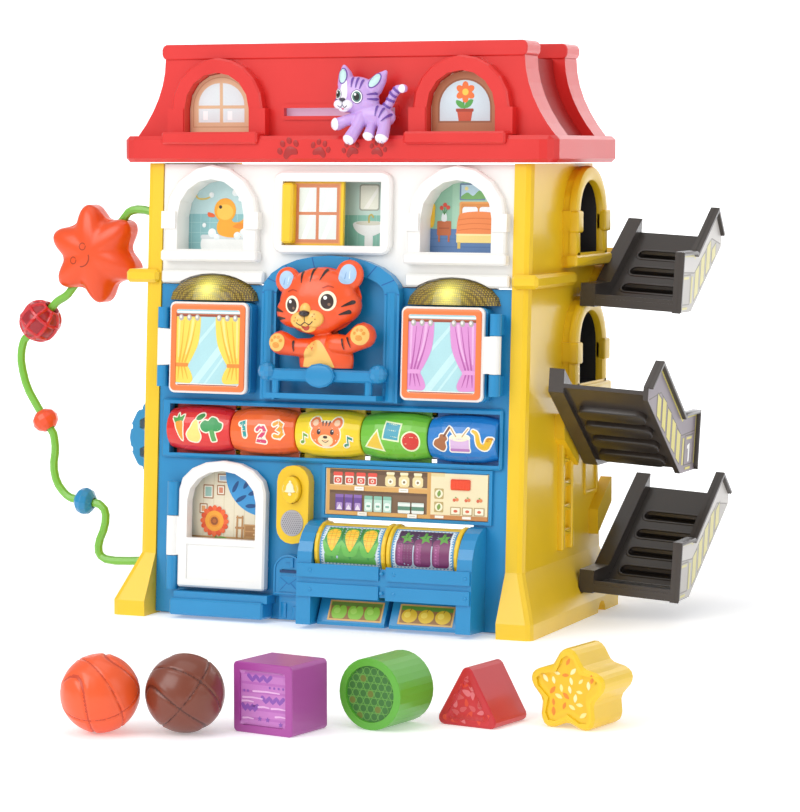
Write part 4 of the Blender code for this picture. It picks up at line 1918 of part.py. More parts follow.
def stair(name, spot, direction, length, run, slots):
    """A ball stair: landing, slotted ramp, a wall rail inside and a tall guard outside."""
    frame = empty(name + "_frame", (STAIR_INNER_X, *spot), (0, STAIR_TILT, 0))
    slope = math.tan(STAIR_SLOPE)
    width = STAIR_OUTER_X - STAIR_INNER_X

    def side(points):
        outline = [(direction * u, z) for u, z in points]
        return outline if direction > 0 else outline[::-1]

    rise = slope * (length - STAIR_LANDING)
    tread = STAIR_RAIL_RISE - STAIR_FLOOR
    floor = [
        (0, tread - STAIR_FLOOR),
        (STAIR_LANDING, tread - STAIR_FLOOR),
        (length, tread - STAIR_FLOOR + rise),
        (length, tread + rise),
        (STAIR_LANDING, tread),
        (0, tread),
    ]
    body = plate(name, frame, side(floor), "X", FIT, width - FIT)
    for index in range(slots):
        u = STAIR_LANDING + STAIR_SLOT_MARGIN + index * STAIR_SLOT_PITCH
        z = (
            tread + slope * (u - STAIR_LANDING) - STAIR_SLOT_PITCH,
            tread + slope * (u - STAIR_LANDING) + STAIR_SLOT_PITCH,
        )
        y = sorted((direction * u, direction * (u + STAIR_SLOT_WIDTH)))
        x = (STAIR_RAIL_WIDTH + STAIR_SLOT_MARGIN, width - STAIR_GUARD_THICKNESS - STAIR_SLOT_MARGIN)
        cut(body, box("stair_slot", frame, x, y, z))
    top_end = STAIR_GUARD_HEIGHT + slope * (run - STAIR_LANDING)
    guard = [
        (0, 0),
        (STAIR_LANDING + SMALL_ROUND, 0),
        (length, rise),
        (length, max(top_end - STAIR_PEAK_DROP, rise + STAIR_LIP)),
        (run, top_end),
        (STAIR_LANDING + SMALL_ROUND * 2, STAIR_GUARD_HEIGHT),
        (STAIR_LANDING, STAIR_GUARD_HEIGHT + SMALL_ROUND),
        (0, STAIR_GUARD_HEIGHT + SMALL_ROUND),
    ]
    join(body, plate("guard", frame, side(guard), "X", width - STAIR_GUARD_THICKNESS, width))
    rail_top = STAIR_RAIL_RISE + STAIR_BLOCK_RISE
    rail = [
        (0, 0),
        (STAIR_LANDING + SMALL_ROUND, 0),
        (length, rise),
        (length, rise + rail_top),
        (STAIR_LANDING, rail_top),
        (0, rail_top),
    ]
    join(body, plate("rail", frame, side(rail), "X", 0, STAIR_RAIL_WIDTH))
    y = sorted((direction * FIT, direction * STAIR_FLOOR))
    x = (STAIR_RAIL_WIDTH - TINY_ROUND, width - STAIR_GUARD_THICKNESS + TINY_ROUND)
    join(body, box("lip", frame, x, y, (TINY_ROUND, STAIR_LIP)))
    return as_part(body, name, "stair_grey")


def wire_outline():
    """The wire's route with its corners cut twice; runs that lie straight stay straight."""
    points = [Vector((x - HOUSE_HALF_WIDTH, WIRE_Y, z)) for x, z in WIRE_POINTS]
    for _ in range(CORNER_CUTS):
        smooth = [points[0]]
        for a, b in zip(points, points[1:]):
            smooth += [a.lerp(b, CORNER_SHARE), b.lerp(a, CORNER_SHARE)]
        points = smooth + [points[-1]]
    return points


def bead_wire():
    curve = bpy.data.curves.new("bead_wire", "CURVE")
    curve.dimensions = "3D"
    curve.bevel_depth = WIRE_RADIUS
    curve.bevel_resolution = 2
    curve.use_fill_caps = True
    points = wire_outline()
    spline = curve.splines.new("POLY")
    spline.points.add(len(points) - 1)
    for point, place in zip(spline.points, points):
        point.co = (*place, 1)
    obj = bpy.data.objects.new("bead_wire", curve)
    COLLECTIONS["tools"].objects.link(obj)
    wire = meshed(obj)
    for (_, z), face in zip((WIRE_POINTS[0], WIRE_POINTS[-1]), WIRE_FLANGE_FACES):
        x = face - HOUSE_HALF_WIDTH
        start, stop = (x, WIRE_Y, z), (x - WIRE_FLANGE_THICKNESS, WIRE_Y, z)
        join(wire, rod("wire_flange", None, start, stop, WIRE_FLANGE_RADIUS))
    as_part(wire, "bead_wire", "green")


def bead(name, centre, direction, shape, half_length, tint):
    """A bead with a straight bore along its run of the wire."""
    spot = Vector((centre[0], WIRE_Y, centre[1]))
    along = Vector((direction[0], 0, direction[1])).normalized()
    reach = along * (half_length + OVERRUN)
    cut(shape, rod("bead_bore", None, spot - reach, spot + reach, BEAD_BORE_RADIUS))
    as_part(on_joint(shape, name + "_joint", spot), name, tint)


def beads():
    (x, z), along = STAR_BEAD
    spot = (x - HOUSE_HALF_WIDTH, z)
    outline = star_outline(
        spot, STAR_BEAD_RADIUS, STAR_BEAD_WAIST, STAR_BEAD_POINTS, math.pi / 2 + STAR_BEAD_TURN
    )
    half = STAR_BEAD_THICKNESS / 2
    star = plate("star_bead", None, outline, "Y", WIRE_Y - half, WIRE_Y + half, (), STAR_BEAD_ROUND)
    bead("star_bead", spot, along, star, STAR_BEAD_RADIUS, "orange")
    (x, z), along = LATTICE_BEAD
    spot = (x - HOUSE_HALF_WIDTH, z)
    radius = LATTICE_BEAD_RADIUS
    ball = ellipsoid(
        "lattice_bead", None, (spot[0], WIRE_Y, spot[1]), (radius, radius, radius), ROUND_SIDES
    )
    bead("lattice_bead", spot, along, ball, radius, "red")
    for name, ((x, z), along), radius, half, tint in (
        ("small_bead", SMALL_BEAD, SMALL_BEAD_RADIUS, SMALL_BEAD_HALF_LENGTH, "orange"),
        ("blue_bead", BLUE_BEAD, BLUE_BEAD_RADIUS, BLUE_BEAD_HALF_LENGTH, "blue"),
    ):
        spot = (x - HOUSE_HALF_WIDTH, z)
        turn = math.atan2(along[0], along[1])
        shape = ellipsoid(name, None, (spot[0], WIRE_Y, spot[1]), (radius, radius, half), SMALL_SIDES, turn)
        bead(name, spot, along, shape, half, tint)


def side_wheel():
    """A toothed wheel with round windows, turning on its own stub axles in the left wall."""
    centre = Vector((WHEEL_X, WHEEL_Y, WHEEL_Z))
    half = Vector((0, WHEEL_THICKNESS / 2, 0))
    wheel = rod("side_wheel", None, centre - half, centre + half, WHEEL_RADIUS, sides=ROUND_SIDES)
    wheel = soften(wheel, SMALL_ROUND)
    for count, ring, radius, name in (
        (WHEEL_TEETH, WHEEL_RADIUS, WHEEL_NOTCH_RADIUS, "wheel_notch"),
        (WHEEL_HOLES, WHEEL_HOLE_RING, WHEEL_HOLE_RADIUS, "wheel_window"),
    ):
        for step in range(count):
            angle = 2 * math.pi * (step + WHEEL_NOTCH_SHARE) / count
            spot = centre + Vector((ring * math.cos(angle), 0, ring * math.sin(angle)))
            cut(wheel, rod(name, None, spot - half * 2, spot + half * 2, radius, sides=WHEEL_CUT_SIDES))
    reach = half + Vector((0, WHEEL_SLOT_GAP + WHEEL_AXLE_REACH - FIT, 0))
    join(
        wheel, rod("wheel_axle", None, centre - reach, centre + reach, WHEEL_AXLE_RADIUS, sides=ROUND_SIDES)
    )
    as_part(on_joint(wheel, "side_wheel_joint", centre), "side_wheel", "blue")


def loose_block(name, spot, outline, face, tint):
    """A block with its outline seen from the front, lying on the ground and turned. Its faces are sunk."""
    lift = -min(z for _, z in outline)
    frame = empty(name + "_joint", (*spot, lift), (0, 0, BLOCK_TURN))
    half = BLOCK_DEPTH / 2
    block = plate(name, frame, outline, "Y", -half, half, (), BLOCK_ROUND)
    cut(block, plate("front_recess", frame, face, "Y", -half - OVERRUN, -half + BLOCK_RECESS))
    cut(block, plate("rear_recess", frame, face, "Y", half - BLOCK_RECESS, half + OVERRUN))
    as_part(block, name, tint)


def loose_ball(name, spot, tint):
    frame = empty(name + "_joint", (*spot, BALL_RADIUS), (0, 0, BLOCK_TURN))
    radius = BALL_RADIUS
    as_part(ellipsoid(name, frame, (0, 0, 0), (radius, radius, radius), ROUND_SIDES), name, tint)


def square_outline(side):
    half = side / 2
    return rounded_outline((-half, -half), (half, half), BLOCK_ROUND)


def star_face(inset):
    """The star block's outline, moved in by the inset."""
    return star_outline((0, 0), STAR_BLOCK_RADIUS - inset, STAR_BLOCK_WAIST - inset, STAR_BLOCK_POINTS)


def loose_pieces():
    rim = BLOCK_ROUND + BLOCK_RIM
    loose_ball("ball_orange", BALL_ORANGE_SPOT, "orange")
    loose_ball("ball_brown", BALL_BROWN_SPOT, "brown")
    face = square_outline(CUBE_SIDE - rim * 2)
    loose_block("block_cube", CUBE_SPOT, square_outline(CUBE_SIDE), face, "purple")
    outline = circle_outline((0, 0), CYLINDER_RADIUS, BLOCK_CIRCLE_SIDES)
    face = circle_outline((0, 0), CYLINDER_RADIUS - rim, BLOCK_CIRCLE_SIDES)
    loose_block("block_cylinder", CYLINDER_SPOT, outline, face, "green")
    outline = triangle_outline((0, 0), TRIANGLE_SIDE, TRIANGLE_ROUND)
    face = triangle_outline((0, 0), TRIANGLE_SIDE - rim * TRIANGLE_INSET_SHARE, TRIANGLE_ROUND / 2)
    loose_block("block_triangle", TRIANGLE_SPOT, outline, face, "red")
    loose_block("block_star", STAR_SPOT, star_face(0), star_face(rim), "yellow")


def main():
    clear_scene()
    COLLECTIONS["parts"] = collection("learning_house")
    COLLECTIONS["tools"] = collection("shapes_for_building")
    COLLECTIONS["tools"].hide_render = True
    front = empty("front_frame", (0, FRONT_FOOT_Y, 0), (-FRONT_LEAN, 0, 0))
    rear = empty("rear_frame", (0, REAR_FOOT_Y, 0), (REAR_LEAN, 0, 0))
    left_wall()
    right_wall()
    base_tray()
    upper_facade(front)
    lower_facade(front)
    window_cards(front)
    sliding_window(front)
    lamps(front)
    shutters(front)
    front_door(front)
    balcony(front)
    cub_button(front)
    keys(front)
    circuit_board(front)
    doorbell(front)
    bell_button(front)
    speaker(front)
    shelf_card(front)
    power_switch(front)
    counter(front)
    drums(front)
    roof_shell()
    roof_trough()
    dormer_panes()
    kitten()
    inner_ramp()
    back_panels(rear)
    bead_wire()
    beads()
    side_wheel()
    stair(
        "stair_top", (STAIR_TOP_Y, STAIR_TOP_Z), 1, STAIR_SHORT_LENGTH, STAIR_SHORT_RUN, STAIR_SHORT_SLOTS
    )
    stair(
        "stair_middle",
        (STAIR_MIDDLE_Y, STAIR_MIDDLE_Z),
        -1,
        STAIR_LONG_LENGTH,
        STAIR_LONG_RUN,
        STAIR_LONG_SLOTS,
    )
    stair(
        "stair_bottom",
        (STAIR_BOTTOM_Y, STAIR_BOTTOM_Z),
        1,
        STAIR_LONG_LENGTH,
        STAIR_LONG_RUN,
        STAIR_LONG_SLOTS,
    )
    loose_pieces()


main()
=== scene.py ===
"""Looks for the learning house toy: materials, printed boards, moulded relief and figures on the CAD frame.
Metres, +Z up, the front towards -Y. Shapes on a surface are given in millimetres across and up it."""

import math
import random

import bmesh
import bpy
from mathutils import Matrix, Vector
from mathutils.bvhtree import BVHTree


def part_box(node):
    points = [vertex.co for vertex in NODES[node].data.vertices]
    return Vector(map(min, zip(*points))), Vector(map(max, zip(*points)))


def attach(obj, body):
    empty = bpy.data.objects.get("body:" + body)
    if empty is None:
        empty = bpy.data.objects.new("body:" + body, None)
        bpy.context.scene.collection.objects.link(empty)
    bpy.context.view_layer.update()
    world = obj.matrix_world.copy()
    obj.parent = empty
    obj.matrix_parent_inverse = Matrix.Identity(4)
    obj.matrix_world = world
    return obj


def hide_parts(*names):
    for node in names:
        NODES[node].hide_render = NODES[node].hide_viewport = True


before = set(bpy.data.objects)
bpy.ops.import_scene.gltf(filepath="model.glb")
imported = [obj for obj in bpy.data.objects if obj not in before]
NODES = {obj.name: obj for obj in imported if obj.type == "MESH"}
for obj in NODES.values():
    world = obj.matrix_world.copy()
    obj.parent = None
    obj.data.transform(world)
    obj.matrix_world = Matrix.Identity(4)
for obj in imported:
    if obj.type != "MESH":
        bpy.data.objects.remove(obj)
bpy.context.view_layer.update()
MM = 0.001
RAY_START = 0.2
DORMER_LOW = 381.2
SCREEN_DOTS, SKIN_GRAIN = 900, 1300
LEAN = math.radians(3.43)
TILT = math.radians(3.4)
YAW = math.radians(-10)


def plane(origin, across, up):
    """Matrix from (across, up, outwards) of a flat place to the world."""
    u = Vector(across).normalized()
    v = Vector(up).normalized()
    turn = Matrix((u, v, u.cross(v))).transposed().to_4x4()
    return Matrix.Translation(origin) @ turn


FACADE = plane((0, -0.0824, 0), (1, 0, 0), (0, math.sin(LEAN), math.cos(LEAN)))
ROOF = plane((0, -0.0510, 0), (1, 0, 0), (0, 0, 1))
FASCIA = plane((0, -0.0710, 0), (1, 0, 0), (0, 0, 1))
RIGHT = plane((0.1625, 0, 0), (0, 1, 0), (0, 0, 1))


def colour(code):
    """An sRGB code as linear numbers."""
    parts = [int(code[i : i + 2], 16) / 255 for i in (1, 3, 5)]
    return tuple(p / 12.92 if p <= 0.04045 else ((p + 0.055) / 1.055) ** 2.4 for p in parts) + (1,)


def scaled(rgba, share):
    return tuple(min(1, c * share) for c in rgba[:3]) + (1,)


# Materials


def new_material(name):
    mat = bpy.data.materials.new(name)
    mat.use_nodes = True
    return mat, mat.node_tree, mat.node_tree.nodes["Principled BSDF"]


def add(tree, kind, inputs=(), **settings):
    node = tree.nodes.new(kind)
    for key, value in settings.items():
        setattr(node, key, value)
    for key, value in dict(inputs).items():
        node.inputs[key].default_value = value
    return node


def mixed(tree, factor, low, high):
    """A node that goes from one colour to another."""
    node = add(tree, "ShaderNodeMix", data_type="RGBA")
    node.inputs[6].default_value = low
    node.inputs[7].default_value = high
    tree.links.new(factor, node.inputs[0])
    return node


def gloss_range(tree, shader, factor, low, high):
    """Roughness that follows a pattern."""
    gloss = add(tree, "ShaderNodeMapRange", {"To Min": low, "To Max": high})
    tree.links.new(factor, gloss.inputs["Value"])
    tree.links.new(gloss.outputs["Result"], shader.inputs["Roughness"])


def plastic(name, code, rough=0.34, coat=0.25, shade=0.07, grain=0.10, glow=0.0, soft=0.0):
    """Moulded plastic: slight clouds in its colour and gloss, and a fine skin."""
    mat, tree, shader = new_material(name)
    base = colour(code)
    place = add(tree, "ShaderNodeTexCoord").outputs["Object"]
    cloud = add(tree, "ShaderNodeTexNoise", {"Scale": 26, "Detail": 3})
    fine = add(tree, "ShaderNodeTexNoise", {"Scale": SKIN_GRAIN, "Detail": 2})
    for node in (cloud, fine):
        tree.links.new(place, node.inputs["Vector"])
    tint = mixed(tree, cloud.outputs["Fac"], scaled(base, 1 - shade), scaled(base, 1 + shade))
    tree.links.new(tint.outputs[2], shader.inputs["Base Color"])
    gloss_range(tree, shader, cloud.outputs["Fac"], rough - 0.06, rough + 0.06)
    bump = add(tree, "ShaderNodeBump", {"Strength": grain, "Distance": 0.0003})
    tree.links.new(fine.outputs["Fac"], bump.inputs["Height"])
    tree.links.new(bump.outputs["Normal"], shader.inputs["Normal"])
    shader.inputs["Coat Weight"].default_value = coat
    shader.inputs["Coat Roughness"].default_value = 0.12
    if soft:
        shader.inputs["Subsurface Weight"].default_value = soft
        shader.inputs["Subsurface Scale"].default_value = 0.004
    if glow:
        shader.inputs["Emission Color"].default_value = base
        shader.inputs["Emission Strength"].default_value = glow
    return mat


INKS = {}


def ink(code):
    """Printed colour on a satin label, with a faint screen of dots."""
    if code in INKS:
        return INKS[code]
    mat, tree, shader = new_material("print_" + code[1:])
    base = colour(code)
    place = add(tree, "ShaderNodeTexCoord").outputs["Object"]
    dots = add(tree, "ShaderNodeTexVoronoi", {"Scale": SCREEN_DOTS})
    cloud = add(tree, "ShaderNodeTexNoise", {"Scale": 45, "Detail": 2})
    for node in (dots, cloud):
        tree.links.new(place, node.inputs["Vector"])
    both = add(tree, "ShaderNodeMath", operation="MULTIPLY_ADD")
    tree.links.new(dots.outputs["Distance"], both.inputs[0])
    both.inputs[1].default_value = 0.35
    tree.links.new(cloud.outputs["Fac"], both.inputs[2])
    tint = mixed(tree, both.outputs[0], scaled(base, 0.93), scaled(base, 1.05))
    tree.links.new(tint.outputs[2], shader.inputs["Base Color"])
    gloss_range(tree, shader, cloud.outputs["Fac"], 0.30, 0.42)
    INKS[code] = mat
    return mat


def metal(name, code, rough):
    mat, tree, shader = new_material(name)
    base = colour(code)
    place = add(tree, "ShaderNodeTexCoord").outputs["Object"]
    lines = add(tree, "ShaderNodeTexNoise", {"Scale": 220, "Detail": 4})
    tree.links.new(place, lines.inputs["Vector"])
    tint = mixed(tree, lines.outputs["Fac"], scaled(base, 0.85), scaled(base, 1.1))
    tree.links.new(tint.outputs[2], shader.inputs["Base Color"])
    gloss_range(tree, shader, lines.outputs["Fac"], rough - 0.08, rough + 0.08)
    shader.inputs["Metallic"].default_value = 1
    return mat


def lens(name, spot):
    """Gold lamp cover: a honeycomb in the plastic, lit from one point behind it."""
    mat, tree, shader = new_material(name)
    place = add(tree, "ShaderNodeTexCoord").outputs["Object"]
    cells = add(tree, "ShaderNodeTexVoronoi", {"Scale": 620, "Randomness": 0.12})
    tree.links.new(place, cells.inputs["Vector"])
    edge = add(tree, "ShaderNodeMapRange", {"From Min": 0.25, "From Max": 0.55})
    tree.links.new(cells.outputs["Distance"], edge.inputs["Value"])
    tint = mixed(tree, edge.outputs["Result"], colour("#B79A22"), colour("#5E4A0C"))
    tree.links.new(tint.outputs[2], shader.inputs["Base Color"])
    bump = add(tree, "ShaderNodeBump", {"Strength": 0.6, "Distance": 0.0006})
    tree.links.new(edge.outputs["Result"], bump.inputs["Height"])
    tree.links.new(bump.outputs["Normal"], shader.inputs["Normal"])
    away = add(tree, "ShaderNodeVectorMath", operation="DISTANCE")
    tree.links.new(place, away.inputs[0])
    away.inputs[1].default_value = spot
    near = add(tree, "ShaderNodeMapRange", {"From Min": 0.0, "From Max": 0.026, "To Min": 1.0, "To Max": 0.0})
    tree.links.new(away.outputs["Value"], near.inputs["Value"])
    steep = add(tree, "ShaderNodeMath", operation="POWER")
    tree.links.new(near.outputs["Result"], steep.inputs[0])
    steep.inputs[1].default_value = 3.2
    glow = mixed(tree, steep.outputs[0], (0, 0, 0, 1), colour("#F4F06A"))
    tree.links.new(glow.outputs[2], shader.inputs["Emission Color"])
    shader.inputs["Emission Strength"].default_value = 1.5
    shader.inputs["Roughness"].default_value = 0.28
    shader.inputs["Coat Weight"].default_value = 0.5
    return mat


RED = plastic("roof_red", "#DC2A26")
FASCIA_RED = plastic("relief_red", "#A81B18", rough=0.4)
# The trough's darker red is painted shade: the recess drawn darker than the roof's own red.
SHADED_TROUGH_RED = plastic("trough_red_painted_shade", "#A81C1A", rough=0.5, coat=0)
WHITE = plastic("house_white", "#F3F2EE", shade=0.02)
YELLOW = plastic("house_yellow", "#F0C61C")
BLUE = plastic("house_blue", "#1C8AC2")
DEEP_BLUE = plastic("groove_blue", "#0E5FA6", rough=0.5, coat=0)
ORANGE = plastic("toy_orange", "#F0501E")
LAVENDER = plastic("kitten_lavender", "#C9A4E2", soft=0.1)
GREY = plastic("stair_grey", "#3D3631", rough=0.3)
GREEN = plastic("wire_green", "#7BC043", rough=0.3)
BLACK = plastic("inner_black", "#17171A", rough=0.6, coat=0)
STEEL = metal("pin_steel", "#B8B9BC", 0.3)
BOARD = plastic("circuit_green", "#14532B", rough=0.5, coat=0)
CARD = plastic("print_card", "#E4D6BE", rough=0.5, coat=0)
BLOCK_PURPLE = plastic("block_purple", "#A8479B")
BLOCK_GREEN = plastic("block_green", "#5DAE33")
BLOCK_RED = plastic("block_red", "#C4232B")
KNOB = plastic("knob_red", "#EE4A24")
KEY_CODES = {
    "red": "#DF2420", "orange": "#F2651C", "yellow": "#F7D51B", "green": "#6FBE2E", "blue": "#1F7CC8"
}


def dress(name, *materials):
    """Gives a CAD node its material."""
    slots = NODES[name].material_slots
    if not slots:
        NODES[name].data.materials.append(materials[0])
    for index in range(len(slots)):
        slots[index].material = materials[min(index, len(materials) - 1)]


# Outlines in millimetres


def rect(x0, y0, x1, y1, r=0.0, steps=4):
    if not r:
        return [(x0, y0), (x1, y0), (x1, y1), (x0, y1)]
    points = []
    for cx, cy, start in (
        (x1 - r, y1 - r, 0), (x0 + r, y1 - r, 90), (x0 + r, y0 + r, 180), (x1 - r, y0 + r, 270)
    ):
        for i in range(steps + 1):
            a = math.radians(start + 90 * i / steps)
            points.append((cx + r * math.cos(a), cy + r * math.sin(a)))
    return points


def disc(x, y, rx, ry=None, turn=0.0, steps=28):
    ry = rx if ry is None else ry
    c, s = math.cos(math.radians(turn)), math.sin(math.radians(turn))
    ring = [
        (rx * math.cos(2 * math.pi * i / steps), ry * math.sin(2 * math.pi * i / steps)) for i in range(steps)
    ]
    return [(x + c * a - s * b, y + s * a + c * b) for a, b in ring]


def arch(x, half, low, spring, rise=None, steps=20):
    rise = half if rise is None else rise
    points = [(x - half, low), (x + half, low)]
    for i in range(steps + 1):
        a = math.pi * i / steps
        points.append((x + half * math.cos(a), spring + rise * math.sin(a)))
    return points


def star(x, y, tip, waist, count, turn=90.0):
    points = []
    for i in range(2 * count):
        a = math.radians(turn + 180 * i / count)
        r = waist if i % 2 else tip
        points.append((x + r * math.cos(a), y + r * math.sin(a)))
    return points


def spline_run(corners, steps):
    """A smooth curve from the second of four corners up to the third."""
    p0, p1, p2, p3 = (Vector(c) for c in corners)
    found = []
    for j in range(steps):
        t = j / steps
        spot = 2 * p1 + (p2 - p0) * t + (2 * p0 - 5 * p1 + 4 * p2 - p3) * t**2
        spot += (3 * p1 - p0 - 3 * p2 + p3) * t**3
        found.append(tuple(spot / 2))
    return found


def smooth(points, steps=5):
    """A closed smooth curve through the points."""
    count = len(points)
    found = []
    for i in range(count):
        found += spline_run([points[(i + k - 1) % count] for k in range(4)], steps)
    return found


def along(points, steps=6):
    """An open smooth curve through the points."""
    ends = [points[0], *points, points[-1]]
    found = []
    for i in range(len(points) - 1):
        found += spline_run(ends[i : i + 4], steps)
    return found + [tuple(points[-1])]


def stroke(points, width, taper=1.0):
    """One outline round an open line, with round ends."""
    pts = [Vector(p) for p in points]
    left, right = [], []
    for i, p in enumerate(pts):
        ahead = (pts[min(i + 1, len(pts) - 1)] - pts[max(i - 1, 0)]).normalized()
        side = Vector((-ahead.y, ahead.x))
        half = width / 2 * (1 + (taper - 1) * i / max(1, len(pts) - 1))
        left.append(p + side * half)
        right.append(p - side * half)
    end = pts[-1] - pts[-2]
    begin = pts[0] - pts[1]

    def cap(centre, heading, half):
        start = math.atan2(heading.y, heading.x) + math.pi / 2
        return [
            centre + half * Vector((math.cos(start - math.pi * k / 6), math.sin(start - math.pi * k / 6)))
            for k in range(1, 6)
        ]

    ring = left + cap(pts[-1], end, width / 2 * taper) + right[::-1] + cap(pts[0], begin, width / 2)
    return [tuple(p) for p in ring]


def signed_area(points):
    """Twice the area, above 0 where the outline runs to the left."""
    pts = [Vector(p) for p in points]
    return sum(a.x * b.y - b.x * a.y for a, b in zip(pts, pts[1:] + pts[:1]))


def grown(points, by):
    """The outline moved out by a distance (in, when it is below 0)."""
    pts = [Vector(p) for p in points]
    way = 1 if signed_area(points) > 0 else -1
    ring = []
    for i, p in enumerate(pts):
        before = (p - pts[i - 1]).normalized()
        after = (pts[(i + 1) % len(pts)] - p).normalized()
        n0, n1 = Vector((before.y, -before.x)), Vector((after.y, -after.x))
        n = (n0 + n1).normalized() if (n0 + n1).length > 1e-6 else n0
        ring.append(tuple(p + n * by * way / max(0.5, n.dot(n0))))
    return ring


def moved(points, dx=0.0, dy=0.0, turn=0.0, size=1.0):
    c, s = math.cos(math.radians(turn)) * size, math.sin(math.radians(turn)) * size
    return [(dx + c * x - s * y, dy + s * x + c * y) for x, y in points]


DIGITS = {
    "1": [(-1.4, 2.4), (0.3, 3.6), (0.3, -3.6)],
    "2": [
        (-2.0, 2.0), (-1.0, 3.4), (1.0, 3.4), (2.0, 2.0), (1.4, 0.4), (-0.4, -1.6), (-2.0, -3.4), (2.2, -3.4)
    ],
    "3": [
        (-1.9, 2.8), (0, 3.6), (1.8, 2.2), (1.2, 0.6), (-0.2, 0.2), (1.5, -0.5), (2.0, -2.0), (0.2, -3.6),
        (-2.0, -2.8)
    ],
}


# Meshes


def finish_mesh(name, bm, materials, body, slot, angle=32.0):
    mesh = bpy.data.meshes.new(name)
    bm.to_mesh(mesh)
    bm.free()
    for mat in materials:
        mesh.materials.append(mat)
    mesh.shade_smooth()
    mesh.set_sharp_from_angle(angle=math.radians(angle))
    obj = bpy.data.objects.new(name, mesh)
    bpy.context.scene.collection.objects.link(obj)
    if body:
        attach(obj, body)
    return obj


def tree_of(*objects):
    """What rays hit: the faces of these objects, in the world."""
    points, faces = [], []
    for obj in objects:
        start = len(points)
        points += [obj.matrix_world @ v.co for v in obj.data.vertices]
        faces += [[start + i for i in p.vertices] for p in obj.data.polygons]
    return BVHTree.FromPolygons(points, faces)


def flat_faces(points, limit):
    """The outline filled with triangles, none with a side over the limit."""
    bm = bmesh.new()
    face = bm.faces.new([bm.verts.new((x, y, 0)) for x, y in points])
    face.normal_update()
    if face.normal.z < 0:
        face.normal_flip()
    bmesh.ops.triangulate(bm, faces=bm.faces[:])
    for _ in range(7):
        long = [e for e in bm.edges if limit and e.calc_length() > limit]
        if not long:
            break
        bmesh.ops.subdivide_edges(bm, edges=long, cuts=1)
        bmesh.ops.triangulate(bm, faces=bm.faces[:])
    return bm


def printed(
    name, body, place, items, slot="printed_board", onto=None, limit=0.0, lift=0.10, step=0.012, wrap=None
):
    """Flat shapes laid on a surface, each a little above the one before. onto sends them down rays onto
    a shape, and wrap bends them in another way."""
    whole = bmesh.new()
    materials = []
    out = place.to_3x3() @ Vector((0, 0, 1))
    for index, (mat, points) in enumerate(items):
        if mat not in materials:
            materials.append(mat)
        part = flat_faces(points, limit)
        high = (lift + step * index) * MM
        spots = {}
        for vert in part.verts:
            x, y = vert.co.x, vert.co.y
            if wrap:
                spots[vert] = whole.verts.new(wrap(x * MM, y * MM, high))
                continue
            spot = place @ Vector((x * MM, y * MM, high))
            if onto:
                hit, normal, _, _ = onto.ray_cast(place @ Vector((x * MM, y * MM, RAY_START)), -out)
                if hit is None:
                    continue
                spot = hit + normal * high
            spots[vert] = whole.verts.new(spot)
        for face in part.faces:
            if all(v in spots for v in face.verts):
                made = whole.faces.new([spots[v] for v in face.verts])
                made.material_index = materials.index(mat)
        part.free()
    return finish_mesh(name, whole, materials, body, slot, 60)


def raised(name, body, place, items, slot):
    """Relief: each item is (material, outline, low, high, rounding), in millimetres above the surface."""
    bm = bmesh.new()
    used = []
    for mat, points, low, high, rounding in items:
        if mat not in used:
            used.append(mat)
        if signed_area(points) < 0:
            points = points[::-1]
        levels = [(0, low)]
        for i in range(4):
            a = math.pi / 2 * i / 3
            levels.append((-rounding * (1 - math.cos(a)), high - rounding * (1 - math.sin(a))))
        rings = []
        for inset, level in levels if rounding else ((0, low), (0, high)):
            ring = grown(points, inset) if inset else points
            rings.append([bm.verts.new(place @ Vector((x * MM, y * MM, level * MM))) for x, y in ring])
        faces = []
        count = len(points)
        for a, b in zip(rings, rings[1:]):
            for i in range(count):
                j = (i + 1) % count
                faces.append(bm.faces.new((a[i], a[j], b[j], b[i])))
        faces.append(bm.faces.new(rings[-1]))
        faces.append(bm.faces.new(rings[0][::-1]))
        for face in faces:
            face.material_index = used.index(mat)
    return finish_mesh(name, bm, used, body, slot)


def lump(bm, place, centre, radii, turn=0.0, detail=3):
    """An ellipsoid: centre and radii in millimetres along (across, up, outwards) of the place."""
    spin = Matrix.Rotation(math.radians(turn), 4, "Z")
    size = Matrix.Diagonal((*[r * MM for r in radii], 1))
    where = place @ Matrix.Translation(Vector(centre) * MM) @ spin @ size
    bmesh.ops.create_icosphere(bm, subdivisions=detail, radius=1, matrix=where)


def limb(bm, place, points, radii, steps=7):
    """A run of balls between points, whose radius goes from one value to the next."""
    for (a, ra), (b, rb) in zip(zip(points, radii), zip(points[1:], radii[1:])):
        for i in range(steps + 1):
            t = i / steps
            r = ra + (rb - ra) * t
            lump(bm, place, Vector(a).lerp(Vector(b), t), (r, r, r), detail=2)


